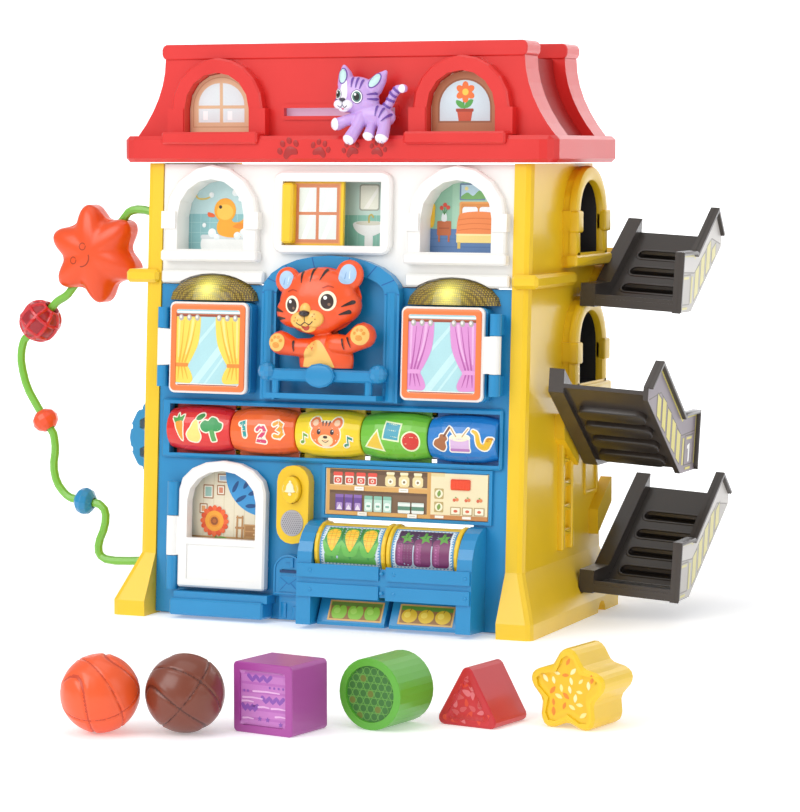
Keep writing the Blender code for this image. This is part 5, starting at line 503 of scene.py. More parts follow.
def fused(name, bm, mat, body, slot, voxel=0.7, rounds=6, cuts=(), shape=None):
    """The lumps made one skin and smoothed, then cut off outside each plane (point, normal)."""
    mesh = bpy.data.meshes.new(name + "_lumps")
    bm.to_mesh(mesh)
    bm.free()
    obj = bpy.data.objects.new(name + "_lumps", mesh)
    bpy.context.scene.collection.objects.link(obj)
    remesh = obj.modifiers.new("skin", "REMESH")
    remesh.mode = "VOXEL"
    remesh.voxel_size = voxel * MM
    relax = obj.modifiers.new("relax", "SMOOTH")
    relax.iterations = rounds
    graph = bpy.context.evaluated_depsgraph_get()
    graph.update()
    skin = bmesh.new()
    skin.from_mesh(obj.evaluated_get(graph).to_mesh())
    bpy.data.objects.remove(obj)
    if shape:
        for vert in skin.verts:
            vert.co = shape(vert.co)
        for _ in range(5):
            bmesh.ops.smooth_vert(
                skin, verts=skin.verts, factor=0.5, use_axis_x=True, use_axis_y=True, use_axis_z=True
            )
    for point, normal in cuts:
        every = skin.verts[:] + skin.edges[:] + skin.faces[:]
        found = bmesh.ops.bisect_plane(skin, geom=every, plane_co=point, plane_no=normal, clear_outer=True)
        edges = [e for e in found["geom_cut"] if isinstance(e, bmesh.types.BMEdge)]
        bmesh.ops.holes_fill(skin, edges=edges)
    return finish_mesh(name, skin, [mat], body, slot, 50)


def node_part(node, point, normal):
    """A copy of the part of a CAD node that lies behind a plane."""
    bm = bmesh.new()
    bm.from_mesh(NODES[node].data)
    bm.transform(NODES[node].matrix_world)
    every = bm.verts[:] + bm.edges[:] + bm.faces[:]
    found = bmesh.ops.bisect_plane(bm, geom=every, plane_co=point, plane_no=normal, clear_outer=True)
    bmesh.ops.holes_fill(bm, edges=[e for e in found["geom_cut"] if isinstance(e, bmesh.types.BMEdge)])
    return bm


# Roof


def roof():
    dress("roof_shell", RED)
    # Painted shade: the trough gets a darker red than the roof.
    dress("roof_trough", SHADED_TROUGH_RED)
    pads = []
    for x, z, size, turn in (
        (-35, 366.5, 1.25, 24), (-9, 366.5, 1.1, -16), (17.5, 366.5, 1.0, 20), (39.5, 366.5, 0.95, -14)
    ):
        pads.append(
            moved(
                smooth(
                    [
                        (-4, -4.2), (0, -2.9), (4, -4.2), (5, -1.6), (2.6, 1.4), (0, 2.6), (-2.6, 1.4),
                        (-5, -1.6)
                    ]
                ),
                x, z, turn, size
            )
        )
        for dx, dy in ((-6.0, 2.2), (-2.4, 5.6), (2.4, 5.6), (6.0, 2.2)):
            pads.append(moved(disc(dx, dy, 1.7, 2.2, steps=16), x, z, turn, size))
    raised("roof_paw_prints", "root", FASCIA, [(FASCIA_RED, p, -0.3, 0.45, 0.3) for p in pads], "red_plastic")
    wood, frame_ink, pane = ink("#DDB892"), ink("#C79A75"), ink("#DDE9EC")
    low = DORMER_LOW
    items = [(wood, arch(-103, 27.2, low, 399.5))]
    items.append((frame_ink, arch(-103, 25.0, low + 3.5, 399.5, 25.0)))
    items.append((wood, arch(-103, 24.2, low + 4.3, 399.5, 24.2)))
    for side in (-1, 1):
        x = sorted((-103 + side * 1.4, -103 + side * 20.0))
        items.append((pane, rect(x[0], low + 7.5, x[1], 399.5)))
        quarter = [(-103 + side * 1.4, 402.0)]
        for i in range(9):
            a = math.radians(90 * i / 8)
            quarter.append((-103 + side * (1.4 + 18.6 * math.cos(a)), 402.0 + 17.5 * math.sin(a)))
        items.append((pane, quarter if side > 0 else quarter[::-1]))
        items.append((ink("#F7FBFB"), rect(x[0] + 4, low + 9.5, x[0] + 8, 397.5)))
    printed("dormer_print_left", "root", ROOF, items, lift=-0.3)
    wood = ink("#B47A55")
    items = [(wood, arch(103, 27.2, low, 399.5)), (ink("#9A6342"), arch(103, 22.0, low + 6.5, 399.5, 22.0))]
    items.append((ink("#CFE4EC"), arch(103, 20.6, low + 7.8, 399.5, 20.6)))
    items += potted_flower(103, low + 7.8, 1.0)
    printed("dormer_print_right", "root", ROOF, items, lift=-0.3)


def potted_flower(x, y, size):
    """A flower in a pot, as a small picture."""
    items = [(ink("#3E8E4B"), stroke(moved(along([(0, 8), (-1, 14), (0.5, 20)]), x, y, 0, size), 1.3 * size))]
    for turn in (-50, 50):
        leaf = smooth([(0, 0), (3, 2.6), (8, 2.4), (10, 0), (6, -2), (2.5, -1.8)])
        items.append((ink("#58A84F"), moved(leaf, x, y + 10 * size, 90 + turn, size * 0.9)))
    for i in range(6):
        petal = disc(0, 4.6, 2.6, 3.6, steps=14)
        items.append((ink("#F07A3A"), moved(petal, x + 0.5 * size, y + 22 * size, 60 * i, size)))
    items.append((ink("#F7D154"), moved(disc(0, 0, 2.6, steps=14), x + 0.5 * size, y + 22 * size, 0, size)))
    items.append((ink("#C9573A"), moved([(-5, 0), (5, 0), (6.4, 8), (-6.4, 8)], x, y, 0, size)))
    items.append((ink("#A84430"), moved(rect(-7.2, 7, 7.2, 9.4, 0.6), x, y, 0, size)))
    return items


def ringed(name, body, place, items, slot):
    """Raised rings: each item is (material, outer, inner, low, high, rounding), both outlines with as many points."""
    bm = bmesh.new()
    used = []
    for mat, outer, inner, low, high, rounding in items:
        if mat not in used:
            used.append(mat)
        r = rounding
        loops = [
            (outer, low), (outer, high - r), (grown(outer, -r * 0.3), high - r * 0.3),
            (grown(outer, -r), high)
        ]
        loops += [
            (grown(inner, r), high), (grown(inner, r * 0.3), high - r * 0.3), (inner, high - r), (inner, low)
        ]
        rings = [
            [bm.verts.new(place @ Vector((x * MM, y * MM, z * MM))) for x, y in points] for points, z in loops
        ]
        count = len(outer)
        for a, b in zip(rings, rings[1:]):
            for i in range(count):
                j = (i + 1) % count
                bm.faces.new((a[i], a[j], b[j], b[i])).material_index = used.index(mat)
    return finish_mesh(name, bm, used, body, slot)


# White storey


def upper_storey():
    dress("upper_facade", WHITE)
    dress("sliding_window", YELLOW)
    card = -14.4
    teal, pale, white = ink("#8CBFC2"), ink("#BBD9DA"), ink("#F5F7F5")
    items = [(pale, rect(-138.5, 283.5, -68, 350.5)), (teal, rect(-138.5, 283.5, -68, 318))]
    for i in range(9):
        items.append((ink("#A5CFD0"), rect(-138.5 + 8 * i, 283.5, -138.0 + 8 * i, 318)))
    for j in range(4):
        items.append((ink("#A5CFD0"), rect(-138.5, 287 + 8 * j, -68, 287.5 + 8 * j)))
    items.append((ink("#D9C26A"), stroke(along([(-126, 340), (-126, 331), (-118, 330), (-112, 333)]), 1.4)))
    items += [(white, rect(-122, 287, -72, 301, 6)), (ink("#D7DEE0"), rect(-122, 298, -72, 301.5, 1.5))]
    duck = smooth(
        [
            (-106, 302), (-96, 299.5), (-84, 301), (-80, 308), (-83, 315), (-88, 312), (-94, 312), (-97, 317),
            (-104, 315), (-108, 309)
        ]
    )
    items += [
        (ink("#F6A72B"), duck), (ink("#F6A72B"), disc(-101, 321, 9.5)),
        (ink("#F9C24E"), disc(-101, 319.5, 7.2, 6.2))
    ]
    items += [
        (ink("#E8622C"), smooth([(-111, 318), (-116, 319.2), (-115.5, 315.8), (-110, 315.6)])),
        (ink("#3A2A22"), disc(-105, 323.5, 1.4))
    ]
    items.append((ink("#EE8E25"), smooth([(-94, 308), (-87, 306.4), (-84, 310), (-89, 310.8)])))
    for x, z, r in (
        (-112, 303, 3.6), (-108, 299.8, 2.6), (-90, 301, 3.0), (-84, 303, 3.8), (-78, 301, 2.8),
        (-113, 333, 2.2), (-92, 335, 3.0), (-88, 329.5, 1.6), (-119, 309, 1.8)
    ):
        items += [
            (ink("#E9F1F2"), disc(x, z, r, steps=18)),
            (white, disc(x - r * 0.25, z + r * 0.25, r * 0.55, steps=14))
        ]
    printed("bathroom_print", "root", FACADE, items, lift=card + 0.1)
    wall, tile = ink("#C6E0D6"), ink("#8CC7B5")
    items = [(wall, rect(-43, 290, 45, 346)), (tile, rect(-43, 290, 45, 318))]
    for i in range(11):
        items.append((ink("#A3D3C4"), rect(-43 + 8 * i, 290, -42.5 + 8 * i, 318)))
    items += [
        (ink("#A9ADA0"), rect(14.5, 321.5, 31.5, 342, 2)), (ink("#EEF0E0"), rect(15.5, 322.5, 30.5, 341, 1.5))
    ]
    items.append((ink("#FAFBF1"), [(18, 323), (22, 323), (30, 336), (30, 340)]))
    items += [
        (white, rect(19.5, 292, 26.5, 303)),
        (white, smooth([(10, 312), (23, 313.5), (36, 312), (33, 305), (23, 301.5), (13, 305)]))
    ]
    items += [
        (ink("#DAD9C9"), disc(23, 311.8, 11, 1.7)),
        (ink("#C9B45A"), stroke(along([(23, 312.5), (23, 317), (25, 318.4), (26.5, 316.5)]), 1.3))
    ]
    items += [
        (ink("#D88FA6"), rect(37, 309, 40, 318, 1)), (ink("#8FB9D9"), stroke([(38.5, 312), (39.5, 324)], 1.0))
    ]
    printed("washroom_print", "root", FACADE, items, lift=card + 0.1)
    wall, floor = ink("#93C3A8"), ink("#5B7FB0")
    items = [
        (wall, rect(68, 283.5, 138.5, 350.5)), (ink("#A6D0B6"), rect(92, 283.5, 138.5, 350.5)),
        (floor, rect(68, 283.5, 138.5, 308))
    ]
    items += [(ink("#4C6FA2"), rect(68, 300 - 6 * i, 138.5, 300.6 - 6 * i)) for i in range(3)]
    items += [
        (ink("#6D86A6"), rect(98, 330, 119, 343, 0.8)), (ink("#BFDCEB"), rect(99.2, 331.2, 117.8, 341.8))
    ]
    items.append(
        (
            ink("#79B26A"),
            smooth([(99.2, 331.2), (104, 336), (109, 333.5), (114, 337.5), (117.8, 334), (117.8, 331.2)])
        )
    )
    items.append((ink("#F6E9A0"), disc(103.5, 339, 1.5, steps=14)))
    items += [
        (ink("#E9A35A"), rect(98, 318, 136, 329, 1.5)), (ink("#D98C45"), rect(99.5, 319, 134.5, 327.5, 1))
    ]
    items += [
        (ink("#F2F4F6"), rect(100.5, 318, 113, 325, 2)), (ink("#F2F4F6"), rect(114.5, 318, 127, 325, 2)),
        (ink("#D5DEE6"), rect(100.5, 318, 127, 319.2))
    ]
    items.append(
        (
            ink("#EE8A4C"),
            smooth(
                [
                    (96, 306), (97, 316), (100, 320), (114, 321.5), (130, 320), (138, 316), (138, 304),
                    (116, 303), (97, 303.5)
                ]
            )
        )
    )
    for z in (307, 311, 315):
        items.append((ink("#E0753A"), stroke(along([(97.5, z), (112, z + 1.4), (136, z)]), 0.7)))
    items += [
        (ink("#F3DB8B"), rect(96, 297.5, 138, 304, 0.8)), (ink("#D9BE69"), rect(97, 293, 99.5, 298)),
        (ink("#F6E6A6"), rect(96, 303, 138, 304.4))
    ]
    items += [
        (ink("#C0683C"), rect(80, 303, 91.5, 314, 0.8)), (ink("#A85430"), rect(81.5, 308, 90, 309)),
        (ink("#C0683C"), rect(81, 298, 82.5, 303)), (ink("#C0683C"), rect(89, 298, 90.5, 303))
    ]
    items += [
        (ink("#E4ECEC"), smooth([(84, 314), (83.4, 317), (84.5, 320), (87, 320), (88, 317), (87.5, 314)]))
    ]
    for dx, dz in ((-2.4, 5.0), (0.4, 7.4), (3.0, 5.4)):
        items += [
            (ink("#4F8F55"), stroke([(85.8, 319), (85.8 + dx, 319 + dz)], 0.6)),
            (ink("#D9503F"), disc(85.8 + dx, 319 + dz, 1.7, steps=12))
        ]
    items += [
        (ink("#F0C23A"), disc(74, 324, 4.4)),
        (ink("#F0C23A"), smooth([(70, 322), (72, 331), (76, 331), (78, 322), (77, 310), (71, 310)]))
    ]
    printed("bedroom_print", "root", FACADE, items, lift=card + 0.1)
    bar, glass = ink("#D0835B"), ink("#E3ECE6")
    left, right, low, high = -32.0, 4.6, 295.8, 341.0
    items = [
        (ink("#E7A04F"), rect(left - 1.6, low - 1.2, right + 1.2, high + 1.2)),
        (bar, rect(left, low, right, high))
    ]
    middle, level = (left + right) / 2, (low + high) / 2
    for x in ((left + 2.6, middle - 1.3), (middle + 1.3, right - 2.2)):
        for z in ((low + 2.6, level - 1.2), (level + 1.2, high - 2.6)):
            items += [
                (glass, rect(x[0], z[0], x[1], z[1])),
                (ink("#F4F8F4"), [(x[0] + 2, z[0]), (x[0] + 6, z[0]), (x[1] - 1, z[1]), (x[1] - 5, z[1])])
            ]
    printed("window_pane_print", "window_pane", FACADE, items, lift=1.85)


# Lamps and shutters


def lamp_row():
    for name, x in (("lamp_lens_left", -101.2), ("lamp_lens_right", 101.2)):
        spot = FACADE @ (Vector((x, 258.5, 15)) * MM)
        dress(name, lens("gold_" + name, spot))


def shutter_prints():
    for name, x, cloth in (
        ("shutter_left", -98.5, ("#F8D758", "#E9B035", "#F9E38A", "#E88F3A")),
        ("shutter_right", 98.5, ("#DB93CF", "#B860A8", "#E8B5DF", "#E3A0D6"))
    ):
        dress(name, WHITE)
        outer = rect(x - 32.0, 178.2, x + 32.0, 246.3, 3.6)
        inner = rect(x - 27.6, 182.6, x + 27.6, 241.9, 1.8)
        border = plastic(name + "_border", "#EF7B3C", rough=0.38)
        ringed(name + "_frame", name, FACADE, [(border, outer, inner, 16.5, 17.6, 0.25)], "printed_board")
        main, fold, light, tie = (ink(c) for c in cloth)
        glass, streak, line, rod = ink("#AEDADF"), ink("#C3E6E8"), ink("#F6F6F0"), ink("#9C4B33")
        items = [(glass, rect(x - 28, 182.2, x + 28, 242.2))]
        items.append((streak, [(x - 16, 183), (x - 9, 183), (x + 17, 215), (x + 17, 224)]))
        items.append((streak, [(x - 4, 183), (x - 2, 183), (x + 15, 205), (x + 15, 208)]))
        items.append((streak, [(x - 8, 214), (x + 8, 232), (x + 8, 236), (x - 8, 218)]))
        items += [
            (line, rect(x - 28, 239.3, x + 28, 240.5)), (rod, rect(x - 28, 236.4, x + 28, 238.8)),
            (ink("#C77A5C"), rect(x - 28, 238.0, x + 28, 238.6))
        ]
        items += [(line, rect(x - 28, 183.3, x + 28, 184.0)), (rod, rect(x - 28, 182.2, x + 28, 183.3))]
        for side in (-1, 1):
            def at(u, z):
                return (x + side * u, z)

            drape = [at(28, 236.2)] + [
                at(u, z) for u, z in along([(6.5, 236.2), (6.8, 226), (8.5, 215), (13, 205), (17, 198.5)], 4)
            ]
            items.append((main, drape + [at(28, 198.5)]))
            flare = [at(28, 198)] + [
                at(u, z) for u,
                z in along(
                    [(17.5, 198), (14.5, 193), (12.8, 188), (14.5, 184.6), (20, 184.2), (28, 184.8)], 4
                )
            ]
            items.append((main, flare))
            for u0, u1, u2 in ((10.5, 14.5, 19.5), (15.5, 18.5, 22), (21, 22.5, 24.5)):
                items.append(
                    (
                        fold,
                        stroke([at(u, z) for u, z in along([(u0, 233), (u1, 215), (u2, 201)], 5)], 0.4, 4.0)
                    )
                )
            items.append(
                (light, stroke([at(u, z) for u, z in along([(13, 234), (15, 220), (19, 207)], 5)], 2.2, 0.5))
            )
            items.append((light, stroke([at(25, 234), at(25.5, 205)], 1.8, 0.6)))
            for u0, u1 in ((20, 17), (22.5, 21), (25, 25.5)):
                items.append((fold, stroke([at(u0, 196.5), at(u1, 187.5)], 1.4, 0.3)))
            ends = sorted((x + side * 16.8, x + side * 28))
            items.append((tie, rect(ends[0], 197, ends[1], 200, 1.2)))
            for u in (9.5, 16.5, 23.5):
                items += [
                    (ink("#B4B0AC"), disc(x + side * u, 235.6, 2.1, 2.5, steps=16)),
                    (ink("#E9E6E1"), disc(x + side * u - 0.4, 236.1, 1.1, 1.3, steps=12))
                ]
        printed(name + "_print", name, FACADE, items, lift=16.7)


# Blue storey


def balcony_parts():
    dress("balcony", BLUE)
    dress("lower_facade", BLUE)
    items = []
    for angle in (22, 48, 74, 106, 132, 158):
        a = math.radians(angle)
        inner = (2 + 46.6 * math.cos(a), 257 + 17.4 * math.sin(a))
        outer = (2 + 57.2 * math.cos(a), 257 + 28.0 * math.sin(a))
        items.append((DEEP_BLUE, stroke([inner, outer], 0.9)))
    for side in (-1, 1):
        items.append((DEEP_BLUE, stroke([(2 + side * 46.2, 256.6), (2 + side * 57.4, 256.6)], 0.9)))
    printed("balcony_joints", "root", FACADE, items, "blue_plastic", lift=10.05)
    raised(
        "balcony_plaque", "root", FACADE, [(BLUE, disc(2, 193.25, 11.6, 8.3, steps=32), 27.0, 28.3, 0.8)],
        "blue_plastic"
    )


KEY_X = [2.5 + 55.6 * (i - 2) for i in range(5)]


def sticker(items, border="#F6EED6", by=1.0):
    """The pieces of a picture, each with a pale edge behind all of them."""
    return [(ink(border), grown(p, by)) for _, p in items] + items


def note(x, y, code, size=1.0):
    mat = ink(code)
    shapes = [
        moved(disc(-1.6, -3, 1.7, 1.3, 20, steps=14), x, y, 0, size),
        moved(rect(-0.6, -3, 0.4, 4), x, y, 0, size)
    ]
    shapes.append(moved([(-0.6, 4), (-0.6, 2.2), (3.4, 0.8), (3.4, 2.6)], x, y, 0, size))
    return [(mat, s) for s in shapes]


def key_prints():
    for name, code in KEY_CODES.items():
        dress("key_" + name, plastic("key_" + name, code, rough=0.28, coat=0.4))
    h = 148.0
    pictures = {}
    x = KEY_X[0]
    carrot = smooth([(-3.2, 5), (0, 6.2), (3.2, 5), (2.2, -2), (0, -9), (-2.2, -2)])
    items = [
        (
            ink("#4E9E46"),
            moved(
                smooth([(-3, 5), (-5, 10), (-1.5, 9), (0, 12), (1.5, 9), (5, 10), (3, 5), (0, 4.2)]),
                x - 14.5, h, 12
            )
        )
    ]
    items.append((ink("#F39A2B"), moved(carrot, x - 14.5, h, 12)))
    items.append(
        (
            ink("#EBDD7C"),
            moved(
                smooth(
                    [
                        (-2, 6), (0, 8), (2, 6), (3.6, 1), (6, -4), (4, -8.4), (0, -9.2), (-4, -8.4),
                        (-6, -4), (-3.6, 1)
                    ]
                ),
                x - 1.5, h - 0.5, -8
            )
        )
    )
    items.append(
        (
            ink("#3F8D45"),
            moved(
                smooth([(0, 0), (2.4, 2.4), (6.4, 2.6), (7.4, 0.4), (4.4, -1.6), (1.6, -1.4)]), x - 0.5,
                h + 8, 18
            )
        )
    )
    items.append((ink("#5CA65A"), moved(rect(-2, -9, 2, 0, 0.8), x + 13.5, h, 10)))
    items.append(
        (
            ink("#3E9A58"),
            moved(
                smooth(
                    [
                        (-7.5, 0), (-9, 4), (-6, 7.5), (-2.5, 7), (0, 9.6), (4, 8.4), (6, 5.8), (9, 4),
                        (8, 0), (4, -1.4), (0, -0.4), (-4, -1.6)
                    ]
                ),
                x + 13, h, 4
            )
        )
    )
    pictures["red"] = sticker(items)
    items = []
    for digit, dx, dy, turn, code in (
        ("1", -14.5, 2.2, 8, "#1E9A98"), ("2", 0.5, -1.8, -4, "#D8436E"), ("3", 15, 2.0, 6, "#F0A32A")
    ):
        for width, mat in ((5.2, ink("#F9F0DC")), (2.9, ink(code))):
            items.append((mat, stroke(moved(DIGITS[digit], KEY_X[1] + dx, h + dy, turn, 1.6), width)))
    pictures["orange"] = items
    x = KEY_X[2]
    items = [(ink("#E8743A"), disc(x + s * 9, h + 8.5, 4.4, steps=20)) for s in (-1, 1)]
    items.append((ink("#EE7C3C"), disc(x, h, 12.2, 9.8)))
    face = sticker(items)
    face += [(ink("#F6C9A0"), disc(x + s * 9, h + 8.7, 2.5, steps=16)) for s in (-1, 1)]
    face += [
        (ink("#F7D9A6"), disc(x, h - 4.6, 6.4, 4.4)), (ink("#3B2B28"), disc(x, h - 2.2, 1.9, 1.2, steps=14))
    ]
    face += [(ink("#2B2326"), disc(x + s * 5.6, h + 1.8, 1.6, 2.1, steps=16)) for s in (-1, 1)]
    face += [(ink("#FFFFFF"), disc(x + s * 5.6 + 0.5, h + 2.6, 0.55, steps=10)) for s in (-1, 1)]
    face.append((ink("#3B2B28"), stroke(along([(x - 2.6, h - 4.8), (x, h - 6.2), (x + 2.6, h - 4.8)]), 0.5)))
    face += [
        (ink("#4A3630"), stroke([(x + dx, h + 9.4), (x + dx * 0.8, h + 6.4)], 1.3, 0.4)) for dx in (-3, 0, 3)
    ]
    face += sticker(
        note(x - 18.5, h - 3.5, "#6CA23A"), by=0.8
    ) + sticker(note(x + 18.5, h - 5, "#2D8C74"), by=0.8)
    pictures["yellow"] = face
    x = KEY_X[3]
    items = [(ink("#E8C23A"), moved([(-7, -5.6), (7, -5.6), (0, 7)], x - 14, h - 3.4, -10))]
    items += [
        (ink("#4EA3B8"), moved(rect(-6, -6, 6, 6), x - 0.5, h + 4, -7)),
        (ink("#D3382E"), disc(x + 15, h - 3, 6.6))
    ]
    pictures["green"] = sticker(items, "#EAF3C4", 1.2)
    x = KEY_X[4]
    items = [
        (
            ink("#A8683C"),
            moved(
                smooth(
                    [
                        (-4, -7), (4, -7), (5.2, -3), (3, 0.2), (3.4, 3), (0, 4.6), (-3.4, 3), (-3, 0.2),
                        (-5.2, -3)
                    ]
                ),
                x - 14.5, h - 1, -28
            )
        )
    ]
    items.append((ink("#7A4426"), moved(rect(-0.9, 3, 0.9, 11.5, 0.4), x - 14.5, h - 1, -28)))
    items += [
        (ink("#D9B7DC"), rect(x - 7.5, h - 9, x + 7.5, h + 0.5, 1.2)),
        (ink("#B77BB8"), rect(x - 7.8, h - 9.2, x + 7.8, h - 7, 0.8))
    ]
    items += [
        (ink("#F6EBCB"), disc(x, h + 1, 7.6, 2.6)),
        (ink("#C9A36A"), stroke([(x - 3, h + 2), (x - 8, h + 8)], 0.9)),
        (ink("#C9A36A"), stroke([(x + 2, h + 2), (x + 6, h + 8)], 0.9))
    ]
    horn = along(
        [(x + 10, h + 6.5), (x + 13.5, h + 4), (x + 15.5, h - 3.5), (x + 20, h - 5.5), (x + 23, h - 0.5)], 5
    )
    items += [
        (ink("#E7B92C"), stroke(horn, 2.0, 2.6)),
        (ink("#C8872A"), disc(x + 23.4, h + 0.4, 3.0, 1.5, 15, steps=16))
    ]
    pictures["blue"] = sticker(items, "#F3F0E4")
    for name, picture in pictures.items():
        key = "key_" + name
        printed(
            key + "_print", key, FACADE, picture, onto=tree_of(NODES[key]), limit=1.6, lift=0.06, step=0.01
        )


# Figures


FRONT = plane((0, 0, 0), (1, 0, 0), (0, 0, 1))


def raised_spots(name, mat, body, slot, place, spots, onto):
    """Small domes that lie on a figure: each spot is (x, y, radius across, radius up, height)."""
    bm = bmesh.new()
    out = place.to_3x3() @ Vector((0, 0, 1))
    for x, y, rx, ry, high in spots:
        hit = onto.ray_cast(place @ Vector((x * MM, y * MM, RAY_START)), -out)[0]
        where = place.inverted() @ hit
        lump(bm, place, (x, y, where.z / MM), (rx, ry, high), detail=3)
    return finish_mesh(name, bm, [mat], body, slot, 60)


def tiger_cub():
    fur = plastic("cub_orange", "#F0571F", soft=0.1)
    bm = bmesh.new()
    place = FACADE
    lump(bm, place, (-4, 250.5, 18), (32, 25.5, 14.5), 6.7, 4)
    lump(bm, place, (-21, 243, 17), (18, 14, 12), 6.7, 4)
    lump(bm, place, (14, 247, 17), (17.5, 14.5, 12), 6.7, 4)
    lump(bm, place, (-4.5, 265.5, 18), (18, 11, 11), 6.7, 3)
    for x, h, r in ((-30.5, 266, 10.6), (21.3, 271, 11.8)):
        lump(bm, place, (x, h, 17), (r, r, 5.2), 0, 3)
    lump(bm, place, (3.5, 205, 17.3), (23, 21, 6.1), 0, 4)
    limb(bm, place, [(-10, 214, 19), (-22, 214.5, 21), (-33, 217.8, 22)], [8, 7, 9.6])
    limb(bm, place, [(12, 218, 19), (24, 217.5, 21), (36, 224.8, 22)], [8, 7.4, 10.4])
    spot, turn = FACADE @ (Vector((0, 199.2, 13.7)) * MM), FACADE.to_3x3()
    cuts = [(spot, turn @ Vector((0, 0, -1))), (spot, turn @ Vector((0, -1, 0)))]
    skin = fused("tiger_cub", bm, fur, "tiger_button", "orange_plastic", 0.8, 5, cuts)
    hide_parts("tiger_button")
    stem = node_part("tiger_button", FACADE @ (Vector((0, 0, 14)) * MM), turn @ Vector((0, 0, 1)))
    finish_mesh("cub_stem", stem, [fur], "tiger_button", "orange_plastic")
    tree = tree_of(skin)
    cream = plastic("cub_cream", "#F5C261", soft=0.1)
    raised_spots(
        "cub_muzzle", cream, "tiger_button", "orange_plastic", place,
        [
            (-13.4, 235.6, 8.6, 6.8, 4.4), (-2.6, 236.9, 8.8, 7, 4.4), (-8.2, 230.6, 7, 4.6, 3.2),
            (-8.6, 243.6, 4.6, 5.4, 3.0)
        ],
        tree
    )
    nose = plastic("cub_nose", "#241A1B", rough=0.2, coat=0.6)
    raised_spots(
        "cub_nose_tip", nose, "tiger_button", "orange_plastic", place, [(-8.9, 240.6, 5.0, 3.0, 6.4)], tree
    )
    dark, light = ink("#2A1D1C"), ink("#F5C469")
    items = [
        (
            light,
            smooth(
                [
                    (-14.6, 199), (-12.4, 209), (-7, 218), (-3.2, 220.6), (1.5, 218), (8, 209), (13, 199),
                    (14, 192), (-15, 192)
                ]
            )
        )
    ]
    for x, h, rx, ry, turn in ((-29.6, 266.2, 6.2, 7.2, 14), (21.6, 271.4, 7.0, 7.8, -14)):
        items.append((ink("#A9C9E6"), disc(x, h, rx, ry, turn)))
        items += [
            (ink("#7FA6D2"), moved(stroke([(-2.2, -3.4), (-1, 1.6)], 1.0, 0.4), x, h)),
            (ink("#DCEBF6"), moved(stroke([(1.6, -3.0), (2.0, 2.6)], 1.0, 0.4), x, h))
        ]
    for x, h, turn, long in ((-14.5, 268.5, 10, 9), (-5.6, 270.5, -6, 11), (3.4, 270.5, -22, 9)):
        items.append((dark, moved(stroke([(0, long / 2), (0, -long / 2)], 2.8, 0.2), x, h, turn)))
    for points in (
        ((-36.5, 243.5), (-29.5, 241.6)), ((-34.5, 236.6), (-28, 236.6)), ((27.5, 250), (20, 246.5)),
        ((25, 242.6), (17.6, 240.4))
    ):
        items.append((dark, stroke(points, 3.2, 0.25)))
    for x, h, r in ((-20.6, 247.2, 6.6), (9.2, 250.6, 7.2)):
        items.append((ink("#FBEFD2"), disc(x, h, r * 0.96, r * 1.06)))
        items += [
            (ink("#3A2B28"), disc(x - 0.2, h - 0.4, r * 0.70, r * 0.80)),
            (ink("#FFFFFF"), disc(x - 1.6, h + 2.4, r * 0.2, steps=16)),
            (ink("#8A6A55"), disc(x + 1.4, h - 2.6, r * 0.16, steps=14))
        ]
        items.append(
            (ink("#B93A16"), stroke(along([(x - 4, h + 10), (x, h + 11.4), (x + 4, h + 10.4)]), 1.1, 0.6))
        )
    for x, h, r in ((-33.4, 218, 6.6), (36.2, 225, 7.2)):
        items += [(light, disc(x, h, r)), (ink("#E59A3E"), disc(x, h - 2.1, 2.8, 2.2))]
        items += [
            (ink("#E59A3E"), disc(x + dx, h + dy, 1.25, steps=14)) for dx,
            dy in ((-3.4, 1.4), (-1.2, 3.6), (1.6, 3.6), (3.7, 1.3))
        ]
    items += [
        (dark, stroke([(-20.6, 218.5), (-19.8, 211.8)], 1.8, 0.4)),
        (dark, stroke([(20.6, 221), (22.4, 214.2)], 1.8, 0.4)),
        (dark, stroke([(26, 222.6), (28.4, 216)], 1.6, 0.4))
    ]
    printed(
        "cub_markings", "tiger_button", place, items, "orange_plastic", onto=tree, limit=1.8, lift=0.05,
        step=0.02
    )
    face = tree_of(bpy.data.objects["cub_muzzle"])
    lines = [
        (dark, stroke([(-8.8, 238), (-8.6, 234.6)], 0.7)),
        (
            ink("#C2432C"),
            smooth(
                [(-11.6, 231.4), (-8.4, 230.6), (-5.0, 231.9), (-6.4, 228.6), (-8.6, 227.6), (-10.8, 228.4)]
            )
        )
    ]
    lines.append(
        (
            dark,
            stroke(along([(-15.5, 233.4), (-12.2, 231.6), (-8.6, 233.8), (-4.8, 232.2), (-1.6, 234.6)]), 0.7)
        )
    )
    lines += [
        (ink("#B5762C"), disc(x, h, 0.55, steps=10)) for x,
        h in ((-16.5, 237.2), (-14.4, 235.4), (-17.4, 234.8), (-1.6, 238.4), (0.6, 236.4), (-0.4, 240.2))
    ]
    printed(
        "cub_mouth", "tiger_button", place, lines, "orange_plastic", onto=face, limit=0.9, lift=0.05,
        step=0.02
    )


